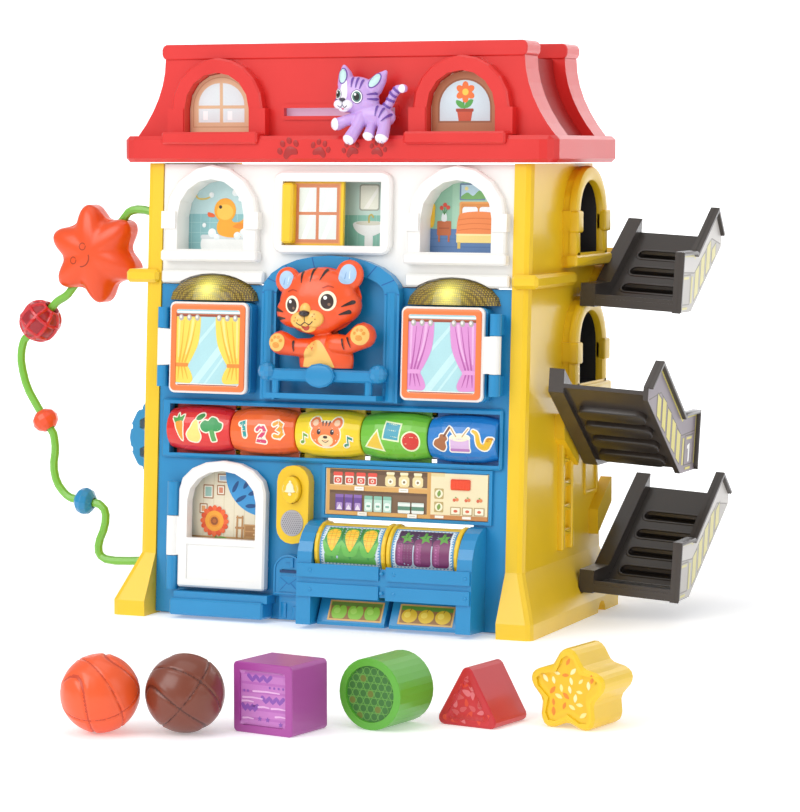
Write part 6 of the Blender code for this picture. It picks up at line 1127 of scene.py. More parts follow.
def kitten_figure():
    fur = LAVENDER
    bm = bmesh.new()
    place = FRONT
    lump(bm, place, (34, 392.6, 65), (17.6, 9.8, 8), -4, 4)
    lump(bm, place, (20.5, 408.7, 66), (17.6, 14.4, 8.6), -4, 4)
    lump(bm, place, (13, 404.0, 66.5), (10.5, 8.6, 8), 0, 3)
    lump(bm, place, (29, 404.5, 66), (9.5, 8.4, 7.4), 0, 3)
    for base, tip in (((11.2, 417), (9.0, 431)), ((33.6, 414.5), (43.6, 426.4))):
        middle = ((base[0] + tip[0]) / 2, (base[1] + tip[1]) / 2)
        limb(bm, place, [(*base, 65), (*middle, 65), (*tip, 65)], [7.4, 5.6, 1.6], 6)
    limb(bm, place, [(21.5, 391.5, 67), (13, 389.4, 71), (6.3, 386.8, 71)], [5.2, 4.6, 5.2])
    limb(bm, place, [(25.5, 392.5, 68), (23, 384, 73), (19.6, 376.2, 78)], [5.6, 4.8, 5.2])
    limb(bm, place, [(34.5, 388.5, 66), (34.6, 383, 73), (34.8, 378.6, 77.2)], [4.6, 4.0, 4.4])
    limb(bm, place, [(42.5, 392.5, 67), (45.8, 385, 73), (46.1, 377.0, 78)], [7.2, 5.0, 5.2])
    tail = [(43.5, 398, 65), (47.2, 403.6, 64.5), (49.5, 409, 64), (53.2, 413.2, 64), (58, 413.7, 64)]
    limb(bm, place, tail, [3.9, 3.7, 3.6, 3.5, 3.4], 5)
    cuts = [(FRONT @ (Vector((0, 400, 58.6)) * MM), Vector((0, 1, 0)))]
    skin = fused("lavender_kitten", bm, fur, "kitten", "lavender_plastic", 0.6, 5, cuts)
    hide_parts("kitten_slider")
    stem = node_part("kitten_slider", FRONT @ (Vector((0, 400, 59.4)) * MM), Vector((0, -1, 0)))
    finish_mesh("kitten_stem", stem, [fur], "kitten", "lavender_plastic")
    # The track glows a little: painted light that brightens the strip lying in the slot's shade.
    track = plastic("track_lavender_painted_glow", "#E3C3E4", rough=0.45, glow=0.25)
    strips = [
        (track, rect(-56, 388, 64, 405), -7.4, -6.6, 0), (track, rect(-56, 385.8, 64, 388), -7.4, -4.0, 0),
        (track, rect(-56, 405, 64, 407.2), -7.4, -4.0, 0)
    ]
    raised("kitten_track", "root", ROOF, strips, "lavender_plastic")
    tree = tree_of(skin)
    pale = plastic("kitten_white", "#F3ECF6", soft=0.1)
    raised_spots(
        "kitten_muzzle", pale, "kitten", "lavender_plastic", place,
        [(8.6, 401.9, 4.8, 3.8, 2.6), (15.0, 401.6, 5.0, 3.9, 2.6), (12.0, 398.7, 4.6, 2.8, 2.0)], tree
    )
    nose = plastic("kitten_nose", "#3A2A3E", rough=0.2, coat=0.6)
    raised_spots(
        "kitten_nose_tip", nose, "kitten", "lavender_plastic", place, [(11.6, 405.4, 2.5, 1.6, 3.4)], tree
    )
    purple, white = ink("#6C44A0"), ink("#F6F0F8")
    items = [
        (white, smooth([(12.4, 421.6), (15.2, 414), (15.0, 407.4), (12, 403.6), (9.0, 407.2), (8.8, 413.6)]))
    ]
    for x, z, rx, ry, turn in ((9.8, 423.6, 3.0, 5.4, 6), (36.6, 419.8, 3.2, 5.8, -38)):
        items += [(purple, disc(x, z, rx + 0.9, ry + 0.9, turn)), (ink("#BFE0DC"), disc(x, z, rx, ry, turn))]
    for x, z, r in ((6.6, 409.6, 3.3), (23.4, 407.6, 4.3)):
        items += [
            (ink("#5A3B86"), disc(x, z, r * 1.12, r * 1.24)), (ink("#FFFFFF"), disc(x, z, r, r * 1.12)),
            (ink("#4E7A70"), disc(x, z, r * 0.82, r * 0.94))
        ]
        items += [
            (ink("#1E2222"), disc(x, z, r * 0.52, r * 0.68)),
            (ink("#FFFFFF"), disc(x - 0.28 * r, z + 0.4 * r, r * 0.22, steps=12))
        ]
    for points in (
        ((18.4, 421.4), (18.6, 415)), ((22.8, 421.2), (22.2, 414.6)), ((27.0, 419.6), (25.6, 413.8)),
        ((37.2, 410), (31.4, 409.2)), ((37.2, 405.4), (31.8, 405.8)), ((3.0, 405), (5.2, 405.6)),
        ((4.0, 401), (6.0, 402.4))
    ):
        items.append((purple, stroke(points, 2.1, 0.4)))
    for x, z, turn in ((38.4, 396.6, -4), (43.2, 395.0, -20), (47.2, 391.4, -44)):
        items.append((purple, moved(stroke([(0, 3.0), (0, -3.6)], 2.0, 0.4), x, z, turn)))
    for t in (0.45, 1.25, 2.05, 2.85):
        i = int(t)
        p, q = tail[i], tail[i + 1]
        x, z = p[0] + (q[0] - p[0]) * (t - i), p[1] + (q[1] - p[1]) * (t - i)
        way = Vector((q[0] - p[0], q[1] - p[1])).normalized() * 1.0
        side = Vector((-way.y, way.x)).normalized() * 3.3
        items.append(
            (
                purple,
                [
                    (x - way.x + side.x, z - way.y + side.y), (x - way.x - side.x, z - way.y - side.y),
                    (x + way.x - side.x, z + way.y - side.y), (x + way.x + side.x, z + way.y + side.y)
                ]
            )
        )
    items += [
        (white, disc(57.6, 413.6, 2.4, 2.8)), (white, disc(4.6, 386.8, 4.2, 4.4)),
        (white, disc(18.6, 374.6, 4.6, 3.4)), (white, disc(46.2, 375.4, 4.6, 3.4)),
        (white, disc(34.8, 377.4, 3.8, 2.8))
    ]
    for x, z in ((2.6, 387.6), (2.4, 385.4), (17.0, 373.4), (19.4, 373.0), (44.8, 374.2), (47.2, 374.0)):
        items.append((ink("#C9B4D6"), stroke([(x, z), (x + 0.2, z - 1.6)], 0.6)))
    printed(
        "kitten_markings", "kitten", place, items, "lavender_plastic", onto=tree, limit=1.1, lift=0.05,
        step=0.02
    )
    face = tree_of(bpy.data.objects["kitten_muzzle"])
    lines = [
        (
            ink("#3A2A3E"),
            stroke(along([(8.2, 400.8), (10.2, 399.6), (11.9, 401.4), (13.8, 399.4), (15.8, 400.6)]), 0.6)
        ),
        (ink("#3A2A3E"), stroke([(11.8, 404), (11.9, 401.4)], 0.5))
    ]
    lines.append((ink("#D46A88"), smooth([(10.6, 399.2), (12.0, 399.0), (13.4, 399.2), (12.0, 397.4)])))
    printed(
        "kitten_mouth", "kitten", place, lines, "lavender_plastic", onto=face, limit=0.7, lift=0.05, step=0.02
    )


# Counter and lower storey


SIGHT = (
    Vector((math.cos(math.radians(22.6)), math.sin(math.radians(22.6)), 0)), Vector((0.032, -0.077, 0.9965)),
    Vector((0.383, -0.920, 0.083))
)


def seamed_balls():
    """Two balls with the grooves of a sports ball: two rings at right angles, and a lobe on each side of one."""
    rows = (
        (
            "ball_orange", "#EF5A26", "#C9401A", (49, -541, 25.3), (0.745, 0.464, -0.477),
            (-0.142, 0.839, 0.525), "orange_matte"
        ),
        (
            "ball_brown", "#7A3A25", "#542314", (98.4, -520.4, 25.3), (0.401, 0.671, -0.624),
            (0.855, -0.487, -0.177), "brown_matte"
        ),
    )
    for name, code, dark, centre, first, second, slot in rows:
        skin_mat, groove = plastic(name + "_skin", code, rough=0.36), plastic(
            name + "_groove", dark, rough=0.45
        )
        a, b = (
            sum((axis * share for axis, share in zip(SIGHT, way)), Vector()).normalized()
            for way in (first, second)
        )
        b = (b - a * a.dot(b)).normalized()
        c = a.cross(b)
        bm = bmesh.new()
        bmesh.ops.create_icosphere(bm, subdivisions=6, radius=1)
        radius, closeness = 25.2, {}
        for vert in bm.verts:
            d = vert.co.normalized()
            lobe = abs(math.hypot(d.dot(b) / 0.883, d.dot(c) / 0.629) - 1) * 0.66
            near = min(
                abs(math.asin(max(-1, min(1, d.dot(a))))), abs(math.asin(max(-1, min(1, d.dot(b))))), lobe
            ) * radius
            closeness[vert] = near
            dip = 0.75 * math.exp(-((near / 0.62) ** 2)) - 0.2 * math.exp(-(((near - 1.7) / 0.7) ** 2))
            vert.co = (Vector(centre) + d * (radius - 0.2 - dip)) * MM
        for face in bm.faces:
            face.material_index = int(sum(closeness[v] for v in face.verts) / len(face.verts) < 0.42)
        skin = finish_mesh(name + "_seamed", bm, [skin_mat, groove], name, slot, 60)
        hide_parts(name)


# Beads


def puffed_star():
    """The star bead with full, soft arms round the same bore."""
    mat = plastic("star_orange", "#E8501C", rough=0.3, coat=0.08)
    middle, bore = Vector((-244, 5, 282)) * MM, Vector((0.6416, 0, 0.7670)).normalized()

    def shape(spot):
        p = spot - middle
        wave = 0.5 + 0.5 * math.cos(6 * (math.atan2(p.z, p.x) - math.radians(98)))
        share = min(1, math.hypot(p.x, p.z) / (0.0290 + 0.0125 * wave))
        full = 0.36 + 0.86 * math.sqrt(max(0, 1 - share**2.3))
        away = (p - bore * p.dot(bore)).length
        keep = 1 - min(1, max(0, (away - 0.0052) / 0.0045))
        return middle + Vector((p.x, p.y * (full + (1 - full) * keep), p.z))

    bm = bmesh.new()
    bm.from_mesh(NODES["star_bead"].data)
    bm.transform(NODES["star_bead"].matrix_world)
    skin = fused("soft_star", bm, mat, "star_bead", "soft_orange", 0.8, 2, shape=shape)
    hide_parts("star_bead")
    line = ink("#A8350F")
    items = []
    for x, z in ((-249.0, 288.2), (-258.0, 276.6)):
        ring = [
            (x + 2.8 * math.cos(math.radians(a)), z + 2.8 * math.sin(math.radians(a)))
            for a in range(40, 371, 15)
        ]
        items.append((line, stroke(ring, 0.9)))
    smile = [
        (-250.6 + 7.6 * math.cos(math.radians(a)), 279.2 + 7.6 * math.sin(math.radians(a)))
        for a in range(14, -101, -12)
    ]
    items.append((line, stroke(smile, 1.1)))
    printed("star_smile", "star_bead", FRONT, items, "soft_orange", onto=tree_of(skin), limit=1.2, lift=0.05)


def lattice_ball():
    """A ball of ribs with sunk panes between them, bored for the wire."""
    middle, bore = Vector((-299, 5, 225)) * MM, Vector((0.693, 0, 0.721)).normalized()
    side = bore.cross(Vector((0, 1, 0))).normalized()
    other = bore.cross(side)
    deep = plastic("lattice_pane", "#A01722", rough=0.3)
    rib = plastic("lattice_rib", "#D2232B", rough=0.22, coat=0.5)
    radius, count, rows = 17.7, 120, 56
    profile = [(-11.5, 4.35, None), (-15.0, 5.8, None)]
    for i in range(rows + 1):
        lat = math.radians(-67 + 134 * i / rows)
        profile.append((math.sin(lat), math.cos(lat), lat))
    profile += [(15.0, 5.8, None), (11.5, 4.35, None)]
    bm = bmesh.new()
    rings, sunk = [], {}
    for high, wide, lat in profile:
        ring = []
        for k in range(count):
            lon = 2 * math.pi * k / count
            out = side * math.cos(lon) + other * math.sin(lon)
            if lat is None:
                spot, depth = bore * high + out * wide, 1.0
            else:
                turn = (lon / (2 * math.pi) * 8 + 0.5) % 1 - 0.5
                near = min(
                    abs(turn) / 8 * 2 * math.pi * wide, abs(lat - 0.42), abs(lat + 0.42), 1.17 - abs(lat)
                ) * radius
                depth = min(1, max(0, (near - 0.8) / 0.9))
                spot = (bore * high + out * wide) * (radius - 1.7 * depth * depth * (3 - 2 * depth))
            vert = bm.verts.new(middle + spot * MM)
            sunk[vert] = depth
            ring.append(vert)
        rings.append(ring)
    for a, b in zip(rings, rings[1:] + rings[:1]):
        for k in range(count):
            j = (k + 1) % count
            face = bm.faces.new((a[k], a[j], b[j], b[k]))
            face.material_index = int(sum(sunk[v] for v in face.verts) > 3.2)
    skin = finish_mesh("lattice_ball", bm, [rib, deep], "lattice_bead", "red_plastic", 50)
    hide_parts("lattice_bead")


def small_beads():
    """The two small beads, turned round the bore with soft ends."""
    rows = (("small_bead", ORANGE, "orange_plastic"), ("blue_bead", BLUE, "blue_plastic"))
    for name, mat, slot in rows:
        node = NODES[name]
        bm = bmesh.new()
        bm.from_mesh(node.data)
        bm.transform(node.matrix_world)
        skin = fused(name + "_soft", bm, mat, name, slot, 0.35, 6)
        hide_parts(name)


# Stairs


def stair_labels():
    # Pocket floors are darker than the stair grey: painted shade deep in the slots.
    dark = plastic("pocket_grey_painted_shade", "#2A2522", rough=0.34, coat=0.1)
    steep = math.tan(math.radians(34))
    rows = (
        ("stair_top", (171, 22, 246), 1, 108, 87, 3), ("stair_middle", (171, 71, 121), -1, 131, 105, 4),
        ("stair_bottom", (171, 22, 21), 1, 131, 105, 4)
    )
    for name, spot, way, length, run, slots in rows:
        # The top and bottom labels get paler inks than the middle one: a painted reflection of glancing light, not a
        # different print.
        pale = name != "stair_middle"
        edge, panel, band, bar, line = (
            ink(code)
            for code in (
                ("#8D8781", "#BDB9B3", "#CFCBC6", "#DDD592", "#E0D9A0") if pale
                else ("#5A4E4B", "#857A80", "#81767E", "#D4C75F", "#D6CA55")
            )
        )
        frame_of = Matrix.Translation(Vector(spot) * MM) @ Matrix.Rotation(TILT, 4, "Y")
        turn = frame_of.to_3x3()
        outer = plane(frame_of @ Vector((0.079, 0, 0)), turn @ Vector((0, 1, 0)), turn @ Vector((0, 0, 1)))
        rise, top_end = steep * (length - 36), 46 + steep * (run - 36)
        guard = [
            (0, 0), (37.5, 0), (length, rise), (length, max(top_end - 24, rise + 10)), (run, top_end),
            (39, 46), (36, 47.5), (0, 47.5)
        ]

        def turned(points):
            return [(way * u, z) for u, z in points]

        near = grown(guard, -2.8)
        rim = [
            guard[3], guard[4], guard[5], guard[6], guard[7], guard[0], near[0], near[7], near[6], near[5],
            near[4], near[3]
        ]
        raised(name + "_rim", "root", outer, [(GREY, turned(rim), -0.4, 3.4, 0.7)], "dark_grey_plastic")
        fine, low = grown(guard, -4.0), grown(guard, -17.5)
        items = [
            (panel, grown(guard, -0.4)),
            (
                edge,
                [
                    near[7], near[6], near[5], near[4], near[3], (length - 3, low[3][1] - 1),
                    (run - 6, top_end - 25), (40, 29.5), (3, 31)
                ]
            )
        ]
        items.append(
            (
                band,
                [
                    near[7], near[6], near[5], near[4], near[3], (length - 3, low[3][1]),
                    (run - 6, top_end - 24), (40, 30.5), (3, 32)
                ]
            )
        )
        items.append((line, stroke([fine[4], fine[5], fine[6], fine[7], (4.0, 6)], 1.5)))
        u = 47.0
        while u < length - 5:
            under, over = steep * (u - 37.5) + 4.6, 26.5 + steep * (u - 36)
            over = min(over, top_end - 24 - max(0, u - run + 6) * 0.9)
            if over - under > 6:
                corner = [
                    (u - 4.6, under - 2.4), (u + 4.6, under + 2.8), (u + 4.6, over + 2.0),
                    (u - 4.6, over - 2.8)
                ]
                items += [(edge, grown(corner, 0.9)), (bar, corner)]
            u += 13.8
        items += [
            (edge, rect(8.6, 5.4, 30.4, 29.4)), (panel, rect(9.6, 6.4, 29.4, 28.4)),
            (bar, rect(32.2, 6.4, 36.4, 27.4)), (bar, rect(13, 25.6, 26, 27.6)), (bar, rect(13, 2.0, 26, 3.8))
        ]
        items = [(mat, turned(points)) for mat, points in items]
        if name == "stair_middle":
            items.append((ink("#F7F6F2"), stroke(moved(DIGITS["1"], -19.5, 15.6, 0, 1.75), 3.4)))
        printed(name + "_label", "root", outer, items, "dark_grey_plastic", lift=0.08)
        floor = plane(frame_of @ Vector((0, 0, 0.007)), turn @ Vector((1, 0, 0)), turn @ Vector((0, 1, 0)))
        ends = sorted((way * 5.5, way * 32.5))
        ringed(
            name + "_vent_rim", "root", floor,
            [
                (
                    GREY, rect(13.4, ends[0], 73.6, ends[1], 3.4),
                    rect(14.8, ends[0] + 1.4, 72.2, ends[1] - 1.4, 2.0), 0, 0.9, 0.3
                )
            ],
            "dark_grey_plastic"
        )
        # The vent slots are printed near-black: painted shade standing in for the openings.
        vents = [
            (
                ink("#14110E"),
                [(x + 17 + 13.5 * i, way * u) for x, u in ((0, 11), (8, 11), (13.5, 27), (5.5, 27))]
            )
            for i in range(4)
        ]
        printed(name + "_vents", "root", floor, vents, "dark_grey_plastic", lift=0.08)
        start, along_way = frame_of @ Vector((0, way * 0.036, 0.007)), turn @ Vector(
            (0, way * math.cos(math.radians(34)), math.sin(math.radians(34)))
        )
        above, below = plane(start, turn @ Vector((way, 0, 0)), along_way), plane(
            start, turn @ Vector((-way, 0, 0)), along_way
        )
        lips, walls, floors = [], [], []
        for i in range(slots):
            v0, v1 = (
                (6 + 18.5 * i) / math.cos(math.radians(34)), (15 + 18.5 * i) / math.cos(math.radians(34))
            )
            for side, place_rows in ((way, lips), (-way, walls)):
                x0, x1 = sorted((side * 18, side * 69))
                if place_rows is lips:
                    lips.append(
                        (
                            GREY, rect(x0 - 1.6, v0 - 1.6, x1 + 1.6, v1 + 1.6, 6.4),
                            rect(x0 + 0.3, v0 + 0.3, x1 - 0.3, v1 - 0.3, 4.8), -0.6, 0.45, 0.25
                        )
                    )
                else:
                    walls.append(
                        (
                            GREY, rect(x0 - 1.6, v0 - 1.8, x1 + 1.6, v1 + 1.8, 6.6), rect(x0, v0, x1, v1, 5),
                            2.0, 6.6, 0.2
                        )
                    )
                    # Painted shade: dark floors under the slots.
                    floors.append((dark, rect(x0 - 1.4, v0 - 1.6, x1 + 1.4, v1 + 1.6, 6.4), 5.6, 7.4, 0.9))
        ringed(name + "_slot_lips", "root", above, lips, "dark_grey_plastic")
        ringed(name + "_pad_walls", "root", below, walls, "dark_grey_plastic")
        raised(name + "_pads", "root", below, floors, "dark_grey_plastic")


# Right wall


def side_arches():
    """The moulded surrounds of the two ball openings, and black linings behind them that stand in for the shade
    inside (painted shade).
    """
    rings, shade_linings = [], []
    for low in (286, 184):
        spring = low + 57.5 - 27
        outer, inner = arch(44, 38.4, low - 2, spring, 38.4), arch(44, 26.2, low, spring, 26.2)
        rings.append((YELLOW, outer, inner, 5.4, 11.5, 3.6))
        # Black lining: painted shade inside the opening.
        shade_linings.append(
            (
                BLACK, arch(44, 26.9, low + 0.1, spring, 26.9), arch(44, 26.3, low + 0.7, spring, 26.3), -17,
                6.2, 0.1
            )
        )
    ringed("side_arch_mouldings", "root", RIGHT, rings, "yellow_plastic")
    ringed("side_arch_shade_linings", "root", RIGHT, shade_linings, "black_plastic")
    bands = []
    for low in (286, 184):
        for y0, y1 in ((4.4, 17.8), (70.2, 83.6)):
            bands.append((YELLOW, rect(y0, low + 17, y1, low + 34, 2), 6, 13.2, 1.6))
        bands.append((YELLOW, rect(1.5, low - 9, 86.5, low - 0.2, 2), 5, 13.5, 2))
    for y in (-0.8, 20.8):
        bands.append((YELLOW, rect(y - 2.8, 56, y + 2.8, 155, 1.4), 0, 4.6, 1.4))
    for i in range(5):
        bands.append((YELLOW, rect(0, 67.2 + 19 * i, 20, 72.5 + 19 * i, 0.6), 0, 3.4, 1.0))
    raised("side_wall_relief", "root", RIGHT, bands, "yellow_plastic")
    ringed(
        "side_wall_panels", "root", RIGHT,
        [(YELLOW, rect(58, 93, 88, 136, 2.4), rect(61, 96, 85, 133, 1), 0, 1.6, 0.5)], "yellow_plastic"
    )


# Loose blocks


def seeds(codes, count, reach, inside, shape, seed, gap):
    """Small shapes scattered inside an outline, none on another."""
    rng = random.Random(seed)
    kept, items = [], []
    for _ in range(4000):
        if len(kept) == count:
            break
        x, y = rng.uniform(-reach, reach), rng.uniform(-reach, reach)
        if inside(x, y) and all(math.hypot(x - a, y - b) > gap for a, b in kept):
            kept.append((x, y))
            items.append(
                (
                    ink(codes[len(kept) % len(codes)]),
                    moved(shape, x, y, rng.uniform(0, 360), rng.uniform(0.8, 1.15))
                )
            )
    return items


def block_faces():
    leaf = smooth([(0, -2.7), (1.3, 0), (0, 2.7), (-1.3, 0)], 4)
    drop = smooth([(0, 3.4), (1.8, -0.2), (1.3, -2.3), (0, -2.9), (-1.3, -2.3), (-1.8, -0.2)], 4)
    cube = [(ink("#C57CC2"), rect(-17.4, -17.4, 17.4, 17.4, 0.8))]
    cube += [(ink("#B96BB8"), rect(-17, z, 17, z + 1.6)) for z in (-14, -8, 3, 8.5, 14.5)]
    for x, z, long in ((-3, 12.6, 17), (7, -0.6, 16), (-10.5, -6.4, 11)):
        wave = [(x - long / 2 + long * i / 12, z + 1.4 * math.cos(math.pi * i / 2)) for i in range(13)]
        cube.append((ink("#8E57B0"), stroke(wave, 2.6)))
    for x0, x1, z in (
        (-16, -1, -0.2), (-16.5, -8, -2.6), (-8, 12, 4.2), (-4, 4, -5.6), (6, 16.5, -5.8), (-16, -8, -13.4),
        (9, 16.6, -10.8)
    ):
        cube.append((ink("#E7B7E2"), stroke([(x0, z), ((x0 + x1) / 2, z + 0.4), (x1, z)], 1.3, 0.6)))
    cube += [
        (ink("#8E57B0"), rect(x, z, x + 1.5, z + 1.5, 0.4)) for x,
        z in ((4, 6.6), (7.4, 6.6), (10.8, 6.6), (14.2, 6.6), (-15.6, 3.4), (-12.8, 3.4))
    ]
    cube += [
        (ink("#8E57B0"), moved(star(0, 0, 1.9, 0.9, 5), x, z)) for x,
        z in ((-3, -13), (3, -13.2), (13, -15.4))
    ]
    round_face = [(ink("#3F7F35"), disc(0, 0, 17.9, steps=48))]
    for i in range(-4, 5):
        for j in range(-4, 5):
            x, y = 5.5 * i + (2.75 if j % 2 else 0), 4.8 * j
            if math.hypot(x, y) < 18.4:
                for r, code in (
                    (2.75, "#6AA84A"), (2.25, "#6E7A30" if (3 * i + 5 * j) % 7 == 0 else "#3A7431")
                ):
                    ring = disc(x, y, r, steps=20)
                    items = [
                        (a, b) if math.hypot(a, b) < 17.7
                        else (a * 17.7 / math.hypot(a, b), b * 17.7 / math.hypot(a, b)) for a, b in ring
                    ]
                    round_face.append((ink(code), items))

    def in_triangle(x, y):
        return y > -10.4 and abs(x) * 1.732 + y < 17.4

    def in_star(x, y):
        return math.hypot(x, y) < 12.4 + 8.0 * max(0, math.cos(5 * (math.atan2(y, x) - math.pi / 2))) ** 1.5

    base = [(-14.9, -13.4), (14.9, -13.4), (17.0, -10.0), (2.2, 15.6), (-2.2, 15.6), (-17.0, -10.0)]
    three = [(ink("#CB2F36"), base)]
    three += seeds(("#E0737A", "#DD4630", "#D4555A"), 34, 17, in_triangle, drop, 4, 4.6)
    five = [(ink("#F0BE22"), smooth(star(0, 0, 22.0, 13.4, 5), 3))]
    five += seeds(("#F7E693", "#E8892A", "#F9EDB0"), 30, 20, in_star, leaf, 9, 5.0)
    rows = (
        ("block_cube", cube, "purple_plastic", 22.5), ("block_cylinder", round_face, "green_plastic", 23.1),
        ("block_triangle", three, "red_plastic", 14.2), ("block_star", five, "yellow_plastic", 26.0),
    )
    for name, picture, slot, level in rows:
        low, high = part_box(name)
        middle = Vector(((low[0] + high[0]) / 2, (low[1] + high[1]) / 2, low[2] + level * MM))
        for side, turn in (("front", YAW), ("rear", YAW + math.pi)):
            place = plane(middle, (math.cos(turn), math.sin(turn), 0), (0, 0, 1))
            printed(
                name + "_" + side, name, place, picture, slot, onto=tree_of(NODES[name]), limit=4.0,
                lift=0.06, step=0.006
            )


# Door, bell and letter box


def domes(name, mat, body, slot, spots, detail=3):
    """Round heads: each is (place, x, y, surface, radius, height), in millimetres."""
    bm = bmesh.new()
    for place, x, y, level, radius, high in spots:
        lump(bm, place, (x, y, level), (radius, radius, high), detail=detail)
    return finish_mesh(name, bm, [mat], body, slot, 60)


def sunflower(x, y, r):
    """A large flower on a stem, as a picture."""
    items = [
        (ink("#5E8F3F"), stroke(along([(x, y - r * 0.6), (x + 1, y - r * 1.2), (x - 1, y - r * 2.2)]), 2.0))
    ]
    items.append(
        (
            ink("#6FA24A"),
            moved(smooth([(0, 0), (4, 4), (11, 4), (14, 0), (9, -3), (3, -3)]), x + 1, y - r * 1.25, -18)
        )
    )
    for i in range(16):
        petal = disc(0, r * 0.78, r * 0.20, r * 0.30, steps=14)
        items.append((ink("#E4552B" if i % 2 else "#EE6A3A"), moved(petal, x, y, 22.5 * i)))
    items += [
        (ink("#F0A535"), disc(x, y, r * 0.70)), (ink("#E8912C"), disc(x, y, r * 0.42)),
        (ink("#B9672A"), disc(x, y, r * 0.30))
    ]
    for i in range(10):
        a = math.radians(36 * i)
        items.append(
            (ink("#8A4A22"), disc(x + r * 0.2 * math.cos(a), y + r * 0.2 * math.sin(a), 0.7, steps=8))
        )
    return items


def door_print():
    dress("front_door", WHITE)
    items = [(ink("#E9DFC4"), rect(-119, 59, -54.5, 122))]
    items += [(ink("#DCCFAE"), rect(-119 + 9 * i, 59, -118.4 + 9 * i, 122)) for i in range(1, 8)]
    items += [(ink("#B88A5A"), rect(-119, 59, -54.5, 63.5)), (ink("#CDA26F"), rect(-119, 62.6, -54.5, 63.5))]
    for x0, y0, x1, y1, code in (
        (-110, 93, -101, 104, "#9CC3B5"), (-113, 81, -106, 89, "#E3A36C"), (-98, 96, -91, 104, "#D98A6A"),
        (-97.5, 106, -86, 113, "#A9BFD4")
    ):
        items += [
            (ink("#A8754A"), rect(x0, y0, x1, y1, 0.5)),
            (ink("#F4EEDC"), rect(x0 + 0.9, y0 + 0.9, x1 - 0.9, y1 - 0.9))
        ]
        items.append((ink(code), rect(x0 + 1.8, y0 + 1.8, x1 - 1.8, y1 - 1.8)))
    quarter = [(-54.5, 81.0), (-54.5, 122), (-90, 122)]
    for i in range(13):
        a = math.radians(180 + 84 * i / 12)
        quarter.append((-57 + 33.5 * math.cos(a), 114.4 + 33.5 * math.sin(a)))
    items.append((ink("#3F97D2"), quarter))
    for x, y, turn in ((-82, 103, 62), (-77, 94, 30), (-68, 88.6, 4), (-72, 106, 55), (-66, 99, 20)):
        items.append(
            (
                ink("#1D4E86"),
                moved(smooth([(-5, 0), (-2, 1.6), (3, 1.3), (5.5, 0), (3, -1.3), (-2, -1.6)]), x, y, turn)
            )
        )
    items += [
        (ink("#C99A63"), rect(-74, 63.5, -56, 74)), (ink("#B07F4C"), rect(-72.6, 69, -57.4, 73)),
        (ink("#B07F4C"), rect(-72.6, 64.5, -57.4, 68))
    ]
    items += [
        (ink("#E6C48F"), disc(-65, 71, 0.8, steps=10)), (ink("#E6C48F"), disc(-65, 66.2, 0.8, steps=10))
    ]
    for x in (-80, -75.5):
        items.append((ink("#BD8B57"), stroke([(x, 63.5), (x + 0.4, 80)], 1.4)))
    items += [
        (ink("#BD8B57"), stroke([(-80, 79), (-75, 79)], 1.4)),
        (ink("#BD8B57"), stroke([(-80.6, 71), (-74.4, 71)], 1.8))
    ]
    items += sunflower(-99.5, 75.5, 11.6)
    printed("door_picture", "root", FACADE, items, lift=-4.3)


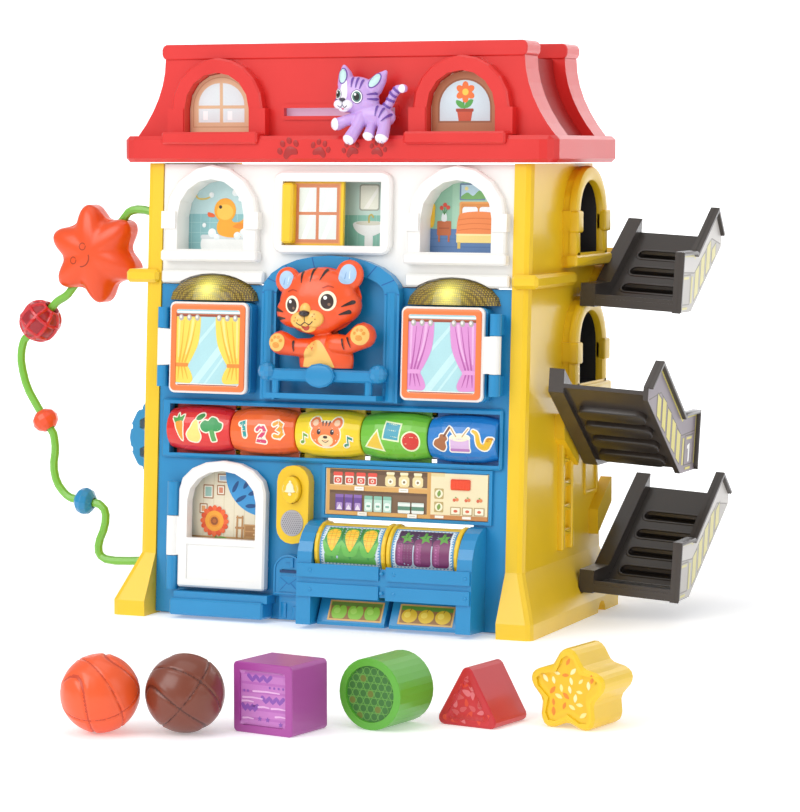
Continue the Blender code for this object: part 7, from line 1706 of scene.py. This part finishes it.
def bell_and_box():
    dress("bell_button", YELLOW)
    pale = plastic("bell_cream", "#F6EFC9")
    base = smooth(
        [
            (-4.4, -2.2), (-3.4, -0.6), (-2.9, 2.2), (-1.6, 4.4), (0, 5.0), (1.6, 4.4), (2.9, 2.2),
            (3.4, -0.6), (4.4, -2.2), (0, -2.7)
        ],
        3
    )
    x, h = -25.5, 104.0
    items = [
        (pale, moved(base, x, h + 0.6, 0, 1.0), 15.8, 17.0, 0.35),
        (pale, disc(x, h - 3.4, 1.4, 1.2, steps=16), 15.8, 16.9, 0.3)
    ]
    items.append((pale, disc(x, h + 6.2, 1.0, 1.0, steps=16), 15.8, 16.8, 0.3))
    raised("bell_relief", "bell_button", FACADE, items, "yellow_plastic")
    for side in (-1, 1):
        waves = [
            (
                ink("#E8D37A"),
                stroke(
                    along([(x + side * 5.4, h + 3.4), (x + side * 6.4, h + 0.8), (x + side * 5.6, h - 1.8)]),
                    0.7
                )
            )
        ]
        printed(
            "bell_waves_left" if side < 0 else "bell_waves_right", "bell_button", FACADE, waves,
            "yellow_plastic", lift=16.08
        )
    grey = plastic("grille_grey", "#AEABAE", rough=0.55, coat=0)
    raised(
        "speaker_grille", "root", FACADE, [(grey, disc(-25.5, 78, 9.6, 10.2, steps=40), 10.8, 11.5, 0.3)],
        "dark_grey_plastic"
    )
    # The holes are printed dark grey dots: painted shade in the openings of the grille.
    holes = []
    for i in range(-5, 6):
        for j in range(-6, 7):
            px, py = 1.75 * i + (0.875 if j % 2 else 0), 1.55 * j
            if (px / 9.0) ** 2 + (py / 9.6) ** 2 < 0.9:
                holes.append((ink("#6F6C70"), disc(-25.5 + px, 78 + py, 0.46, steps=8)))
    printed("grille_holes", "root", FACADE, holes, "dark_grey_plastic", lift=11.53, step=0)
    outer, inner = arch(-30.2, 12.6, 21.4, 40.6, 12.0), arch(-30.2, 11.1, 22.9, 40.6, 10.5)
    ringed("letter_box_rim", "root", FACADE, [(BLUE, outer, inner, 4.9, 5.9, 0.35)], "blue_plastic")
    items = [(BLUE, rect(-38.1, 23.8, -20.8, 36.2, 0.5), 4.9, 5.7, 0.25)]
    items.append(
        (
            BLUE, [(-28.4, 43.0), (-26.0, 43.0), (-26.0, 50.6), (-32.6, 50.6), (-32.6, 47.0), (-28.4, 47.0)],
            4.9, 6.2, 0.3
        )
    )
    raised("letter_box_relief", "root", FACADE, items, "blue_plastic")
    fold = [
        (DEEP_BLUE, stroke([(-36.6, 34.8), (-29.5, 29.6), (-22.4, 34.8)], 0.5)),
        (DEEP_BLUE, stroke([(-36.6, 25.2), (-31.4, 30.6)], 0.5))
    ]
    fold.append((DEEP_BLUE, stroke([(-22.4, 25.2), (-27.6, 30.6)], 0.5)))
    fold.append((ink("#123E6E"), rect(-37.5, 38.6, -21.0, 40.9, 0.5)))
    printed("letter_box_lines", "root", FACADE, fold, "blue_plastic", lift=5.78)
    post = [
        (BLUE, rect(-37.2, 3.0, -21.2, 16.4, 0.6), 0.0, 3.6, 0.6),
        (BLUE, rect(-26.6, 3.2, -23.0, 12.6, 0.5), 3.4, 5.0, 0.5),
        (BLUE, rect(-35.4, 3.2, -31.8, 15.0, 0.5), 3.4, 4.6, 0.5)
    ]
    raised("letter_box_post", "root", FACADE, post, "blue_plastic")


# Shelf, switch, counter and crates


def shelf_print():
    tan, brown, cream, tag = ink("#DDAA62"), ink("#7C6149"), ink("#EFE2B9"), ink("#F7F4EC")
    items = [
        (tan, rect(-1.0, 85.9, 133.4, 121.6, 1.2)), (brown, rect(1.8, 109.2, 83.2, 121.2)),
        (brown, rect(1.8, 89.0, 83.2, 104.9))
    ]
    items += [
        (ink("#6A513C"), rect(1.8, 117.8, 83.2, 121.2)), (ink("#6A513C"), rect(1.8, 102.8, 83.2, 104.9)),
        (ink("#EBC585"), rect(1.8, 108.4, 83.2, 109.2))
    ]
    for i in range(4):
        x = 8.6 + 9.7 * i
        items += [
            (ink("#F4E9DF"), rect(x - 3.6, 109.3, x + 3.6, 116.4, 1.3)),
            (ink("#D9503F"), rect(x - 3.0, 110.4, x + 3.0, 114.8, 0.8))
        ]
        items += [
            (ink("#E5574A"), rect(x - 3.9, 116.0, x + 3.9, 119.0, 0.9)),
            (ink("#F6DCC8"), disc(x, 112.6, 1.5, steps=14)), (ink("#B53A30"), disc(x, 112.6, 0.7, steps=10))
        ]
    for i in range(3):
        x = 52.7 + 11.4 * i
        items += [
            (ink("#EFDDA6"), rect(x - 4.4, 109.3, x + 4.4, 117.2, 1.9)),
            (ink("#DDC88A"), rect(x - 3.0, 117.0, x + 3.0, 118.6, 0.4)),
            (ink("#F6EAC4"), rect(x - 3.4, 118.4, x + 3.4, 120.4, 0.6))
        ]
        items += [
            (ink("#FBF6E2"), disc(x, 113.2, 2.3, steps=16)), (ink("#8A7148"), disc(x, 113.0, 1.0, steps=12))
        ]
    for i in range(3):
        x = 10.4 + 7.7 * i
        items += [
            (ink("#6B4A96"), rect(x - 3.4, 89.2, x + 3.4, 101.8, 0.4)),
            (ink("#8C6AB3"), rect(x - 3.4, 99.4, x + 3.4, 101.8, 0.3)),
            (ink("#B79AD0"), rect(x - 2.4, 89.9, x + 2.4, 95.4, 0.8))
        ]
        items.append((ink("#E7DDEF"), [(x - 2.4, 90.0), (x + 2.4, 90.0), (x, 94.2)]))
    for i in range(3):
        x = 34.8 + 7.9 * i
        items += [
            (ink("#BFE0D2"), rect(x - 3.4, 89.2, x + 3.4, 101.4, 0.6)),
            (ink("#8CC3AE"), rect(x - 3.4, 98.6, x + 3.4, 101.4, 0.6)),
            (ink("#EAF5EF"), rect(x - 2.5, 90.4, x + 2.5, 96.4, 1.6))
        ]
        items.append((ink("#7FB7A4"), rect(x - 1.5, 92.6, x + 1.5, 94.2, 0.3)))
    for i in range(2):
        x = 64.6 + 11.4 * i
        items += [
            (ink("#E9F0EB"), rect(x - 5.1, 89.2, x + 5.1, 97.6, 1.0)),
            (ink("#5E8C77"), rect(x - 5.1, 91.6, x + 5.1, 94.6)),
            (ink("#CFDED6"), rect(x - 5.1, 96.6, x + 5.1, 97.6, 0.4))
        ]
    for x, y in ((26.9, 106.7), (64.0, 106.7), (29.9, 87.3), (71.5, 87.3)):
        items += [
            (tag, rect(x - 3.9, y - 1.5, x + 3.9, y + 1.5, 0.3)),
            (ink("#C9C4B4"), rect(x - 2.6, y - 0.3, x + 2.6, y + 0.2))
        ]
    items += [
        (cream, rect(86.6, 89.4, 133.2, 121.2)), (ink("#C98A52"), rect(86.6, 86.2, 133.2, 89.4)),
        (ink("#E6D49E"), rect(86.6, 118.6, 98, 121.2))
    ]
    for y in (105.6, 95.4):
        items += [
            (ink("#BFA86C"), rect(89.6, y - 4.0, 97.2, y + 4.0, 0.8)),
            (ink("#F2EDCF"), disc(93.4, y, 3.2, steps=18)),
            (ink("#7FA04E"), moved(smooth([(0, -2.4), (1.5, 0), (0, 2.6), (-1.5, 0)], 4), 93.4, y, -12))
        ]
    for i in range(3):
        x = 107.2 + 9.7 * i
        items += [
            (ink("#D9694A"), disc(x - 1.2, 101.2, 1.3, steps=12)),
            (ink("#E58A5A"), disc(x + 1.1, 101.6, 1.4, steps=12)),
            (ink("#8FA860"), disc(x, 103.2, 0.8, 0.6, steps=10))
        ]
        items += [
            (ink("#B9A071"), rect(x - 4.3, 89.8, x + 4.3, 96.0, 0.4)),
            (ink("#F6EFD6"), rect(x - 3.5, 90.5, x + 3.5, 95.3)),
            (ink("#D9694A"), disc(x, 92.8, 1.7, 1.1, steps=12))
        ]
    for x in (94.0, 116.4):
        items.append((tag, rect(x - 3.6, 86.9, x + 3.6, 88.9, 0.2)))
    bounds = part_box("shelf_card")
    low, high = FACADE.inverted() @ bounds[0], FACADE.inverted() @ bounds[1]
    kept = []
    for mat, points in items:
        kept.append((mat, [(min(max(a, low.x / MM + 0.2), high.x / MM - 0.2), b) for a, b in points]))
    printed("shelf_picture", "root", FACADE, kept, lift=1.68)


def switch_parts():
    well = ink("#A8281A")
    printed(
        "switch_track", "root", FACADE, [(well, rect(104.6, 109.0, 131.0, 118.2, 4.4))], "dark_red_plastic",
        lift=0.6
    )
    bars = [(KNOB, rect(106.4 + 2.4 * i, 109.9, 107.5 + 2.4 * i, 116.1, 0.4), 0, 0.5, 0.2) for i in range(5)]
    low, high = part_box("power_switch")
    front = max((FACADE.inverted() @ c).z for c in (low, high)) / MM
    raised(
        "switch_grip", "power_switch", FACADE,
        [(m, p, front - 1.0, front + 0.35, r) for m, p, _, _, r in bars], "red_plastic"
    )


DRUM = plane(FACADE @ Vector((0, 0.059, 0.005)), (1, 0, 0), FACADE.to_3x3() @ Vector((0, 1, 0)))


def round_drum(radius, start):
    """Bends a flat picture round a drum: y runs round it from the angle start."""

    def bend(x, y, high):
        angle = math.radians(start) + y / radius
        return DRUM @ Vector((x, (radius + high) * math.sin(angle), (radius + high) * math.cos(angle)))

    return bend


def produce_tray(x, half, picture):
    """A white tray with a picture of what lies in it, 0 to 34 mm along the curve."""
    items = [
        (ink("#4C93C4"), rect(x - half, -2, x + half, 36)),
        (ink("#D9E6EE"), rect(x - half + 1.2, -0.8, x + half - 1.2, 34.8, 1.0))
    ]
    items += [
        (ink("#F2F6F8"), rect(x - half + 1.2, -0.8, x + half - 1.2, 2.2)),
        (ink("#B7CAD8"), rect(x - half + 4.2, 3.2, x + half - 4.2, 33.4))
    ]
    return items + picture


def corn(x, half):
    items = [
        (ink("#2E7D3B"), rect(x - half + 4.2, 14, x + half - 4.2, 33.4)),
        (ink("#5FAE4E"), rect(x - half + 4.2, 3.2, x + half - 4.2, 16))
    ]
    for i in range(-1, 2):
        cx = x + i * 15.2
        items.append((ink("#3F9A45"), [(cx - 7.4, 20), (cx, 6), (cx + 7.4, 20), (cx + 5, 33), (cx - 5, 33)]))
        items.append(
            (
                ink("#F6C63A"),
                smooth(
                    [
                        (cx - 5.4, 24), (cx - 4.6, 29.6), (cx, 31.6), (cx + 4.6, 29.6), (cx + 5.4, 24),
                        (cx + 3.0, 17), (cx, 12.6), (cx - 3.0, 17)
                    ],
                    4
                )
            )
        )
        for j in range(4):
            items.append(
                (
                    ink("#E09E22"),
                    rect(
                        cx - 4.6 + 0.5 * abs(j - 2), 17.6 + 3.4 * j, cx + 4.6 - 0.5 * abs(j - 2),
                        18.0 + 3.4 * j
                    )
                )
            )
        for j in (-1.7, 1.7):
            items.append((ink("#E09E22"), rect(cx + j - 0.2, 16, cx + j + 0.2, 30)))
        items.append((ink("#6CBB54"), smooth([(cx - 8, 21), (cx - 2, 15), (cx + 0.5, 9), (cx - 5, 10)], 4)))
        items.append((ink("#6CBB54"), smooth([(cx + 8, 21), (cx + 2, 15), (cx - 0.5, 9), (cx + 5, 10)], 4)))
    return items


def aubergines(x, half):
    items = [(ink("#4A2A4E"), rect(x - half + 4.2, 20, x + half - 4.2, 33.4))]
    for i in range(-1, 2):
        cx = x + i * 15.0
        items.append((ink("#7A3564"), rect(cx - 7.0, 3.6, cx + 7.0, 25.4, 3.2)))
        items += [
            (ink("#97497E"), rect(cx - 5.6, 4.6, cx - 1.0, 21.5, 2.2)),
            (ink("#B4699B"), rect(cx - 4.6, 7, cx - 3.2, 18, 0.7))
        ]
        items.append((ink("#63A548"), moved(star(0, 0, 5.6, 2.6, 5), cx + 1.0, 26.4, 12)))
        items.append((ink("#4B8A38"), rect(cx + 0.2, 26, cx + 1.8, 31.6, 0.6)))
    return items


def tomatoes(x, half):
    items = [(ink("#7A4B2A"), rect(x - half + 4.2, 3.2, x + half - 4.2, 33.4))]
    for count, y in ((3, 10.4), (2, 20.4), (3, 28.6)):
        for i in range(count):
            cx = x + (i - (count - 1) / 2) * 15.0
            items += [
                (ink("#C9302A"), disc(cx, y, 6.6, 5.8)),
                (ink("#E0554A"), disc(cx - 1.8, y + 1.6, 2.6, 2.0, steps=16)),
                (ink("#4E9A44"), moved(star(0, 0, 2.8, 1.1, 5), cx + 0.8, y + 3.2))
            ]
    return items


def drum_prints():
    for name, x, front, back in (("drum_left", 30.2, corn, tomatoes), ("drum_right", 89.8, aubergines, corn)):
        dress(name, YELLOW)
        for start, picture in ((-34, front), (146, back)):
            label = name + ("_front" if start < 0 else "_back")
            printed(
                label, name, FACADE, produce_tray(x, 25.6, picture(x, 25.6)), limit=3.2, lift=0.08, step=0.01,
                wrap=round_drum(20.5 * MM, start)
            )


def counter_relief():
    rivets = []
    for x in (0.2, 59.3, 69.7, 127.9):
        for h in (44.3, 29.4):
            rivets.append((FACADE, x, h, 31.9, 1.45, 0.9))
    domes("counter_rivets", BLUE, "root", "blue_plastic", rivets)
    for name, x, fruit, shade in (
        ("crate_print_left", 32.6, "#8DC63F", "#A6D65A"), ("crate_print_right", 91.0, "#E3BE2C", "#F2D858")
    ):
        items = [
            (ink("#DDB26A"), rect(-22.6, 1.4, 22.6, 18.2, 0.6)),
            (ink("#9A6E3C"), rect(-21.2, 2.8, 21.2, 16.8))
        ]
        items.append((ink("#6F8F3A") if "left" in name else ink("#5E9A3A"), rect(-21.2, 13.4, 21.2, 16.8)))
        for i in range(-1, 2):
            cx = i * 13.8
            if "left" in name:
                shape = smooth(
                    [
                        (cx - 6.4, 8.6), (cx - 4.8, 13.4), (cx - 1.4, 13.8), (cx, 12.8), (cx + 1.4, 13.8),
                        (cx + 4.8, 13.4), (cx + 6.4, 8.6), (cx + 4.4, 3.6), (cx, 3.0), (cx - 4.4, 3.6)
                    ],
                    3
                )
            else:
                shape = disc(cx, 8.8, 6.4, 5.7)
            items += [(ink(fruit), shape), (ink(shade), disc(cx - 1.8, 9.6, 2.8, 2.4, steps=16))]
            items.append((ink("#7A5A2A"), stroke([(cx, 12.6), (cx + 0.8, 14.6)], 0.6)))
        origin = FACADE @ (Vector((x, 4.5, 21.0)) * MM)
        up = FACADE.to_3x3() @ Vector((0, 17.5, -9.0))
        printed(name, "root", plane(origin, (1, 0, 0), up), items, lift=0.12)


# Nodes that keep their CAD shape


def dress_rest():
    rows = {
        YELLOW: [
            "side_wall_left", "side_wall_right", "back_panel_lower", "bell_button", "doorbell_plate",
            "drum_left", "drum_right", "block_star"
        ],
        WHITE: ["back_panel_upper", "battery_cover", "front_door"],
        BLUE: ["base_tray", "blue_bead", "counter", "side_wheel"],
        RED: ["inner_ramp", "lattice_bead"],
        BLACK: ["battery_box", "speaker"],
        GREEN: ["bead_wire"],
        STEEL: ["door_pin", "drum_axle", "shutter_pin_left", "shutter_pin_right"],
        BOARD: ["circuit_board"],
        GREY: ["stair_bottom", "stair_middle", "stair_top"],
        ORANGE: ["small_bead", "star_bead"],
        CARD: [
            "door_card", "dormer_pane_left", "dormer_pane_right", "shelf_card", "shutter_window_card",
            "upper_window_card"
        ],
        BLOCK_PURPLE: ["block_cube"],
        BLOCK_GREEN: ["block_cylinder"],
        BLOCK_RED: ["block_triangle"],
        KNOB: ["power_switch"],
    }
    for mat, names in rows.items():
        for name in names:
            dress(name, mat)


# Camera and light


def softbox(name, azimuth, height, away, size, power, tint=(1, 1, 1)):
    """A large lamp that faces the house, at an angle from the front (azimuth above 0 is to the right)."""
    data = bpy.data.lights.new(name, "AREA")
    data.shape = "RECTANGLE"
    data.size, data.size_y = size
    data.energy = power
    data.color = tint
    lamp = bpy.data.objects.new(name, data)
    bpy.context.scene.collection.objects.link(lamp)
    a = math.radians(azimuth)
    lamp.location = (away * math.sin(a), -away * math.cos(a), height)
    lamp.rotation_euler = (Vector((0, 0, 0.2)) - lamp.location).to_track_quat("-Z", "Y").to_euler()


def studio():
    scene = bpy.context.scene
    data = bpy.data.cameras.new("camera")
    data.lens = 133.95
    data.sensor_width = 36
    data.clip_end = 30
    camera = bpy.data.objects.new("camera", data)
    scene.collection.objects.link(camera)
    camera.location = Vector((947.2, -2205.9, 363.5)) * MM
    turn, fall = math.radians(22.614), math.radians(4.759)
    way = Vector((-math.sin(turn) * math.cos(fall), math.cos(turn) * math.cos(fall), -math.sin(fall)))
    camera.rotation_euler = way.to_track_quat("-Z", "Y").to_euler()
    scene.camera = camera
    softbox("key_softbox", -24, 1.6, 2.4, (2.0, 1.6), 34)
    softbox("fill_softbox", 62, 1.2, 2.4, (1.6, 1.6), 9)
    softbox("top_softbox", 0, 2.6, 0.4, (2.2, 2.2), 14)
    softbox("backdrop_softbox", 180, 2.4, 1.4, (4, 1.0), 110)
    bpy.data.objects["backdrop_softbox"].rotation_euler = (math.radians(62), 0, 0)
    world = bpy.data.worlds.new("studio_world")
    world.use_nodes = True
    scene.world = world
    back = world.node_tree.nodes["Background"]
    back.inputs["Color"].default_value = (1, 1, 1, 1)
    back.inputs["Strength"].default_value = 0.5
    scene.view_settings.view_transform = "Standard"
    mat, tree, shader = new_material("floor_white")
    place = add(tree, "ShaderNodeTexCoord").outputs["Object"]
    cloud = add(tree, "ShaderNodeTexNoise", {"Scale": 3, "Detail": 2})
    tree.links.new(place, cloud.inputs["Vector"])
    tint = mixed(tree, cloud.outputs["Fac"], (0.93, 0.935, 0.95, 1), (0.96, 0.96, 0.97, 1))
    tree.links.new(tint.outputs[2], shader.inputs["Base Color"])
    shader.inputs["Roughness"].default_value = 0.7
    tree.links.new(tint.outputs[2], shader.inputs["Emission Color"])
    shader.inputs["Emission Strength"].default_value = 0.3
    bm = bmesh.new()
    profile = [(-4, 0)] + [
        (3.0 + 1.6 * math.sin(math.pi / 2 * i / 12), 1.6 - 1.6 * math.cos(math.pi / 2 * i / 12))
        for i in range(13)
    ] + [(4.6, 4)]
    rings = [[bm.verts.new((x, y, z)) for y, z in profile] for x in (-6, 6)]
    for i in range(len(profile) - 1):
        bm.faces.new((rings[0][i], rings[1][i], rings[1][i + 1], rings[0][i + 1]))
    floor = finish_mesh("studio_floor", bm, [mat], None, None)


dress_rest()
roof()
upper_storey()
lamp_row()
shutter_prints()
balcony_parts()
key_prints()
tiger_cub()
kitten_figure()
seamed_balls()
puffed_star()
lattice_ball()
stair_labels()
block_faces()
side_arches()
small_beads()
door_print()
bell_and_box()
shelf_print()
switch_parts()
drum_prints()
counter_relief()
studio()
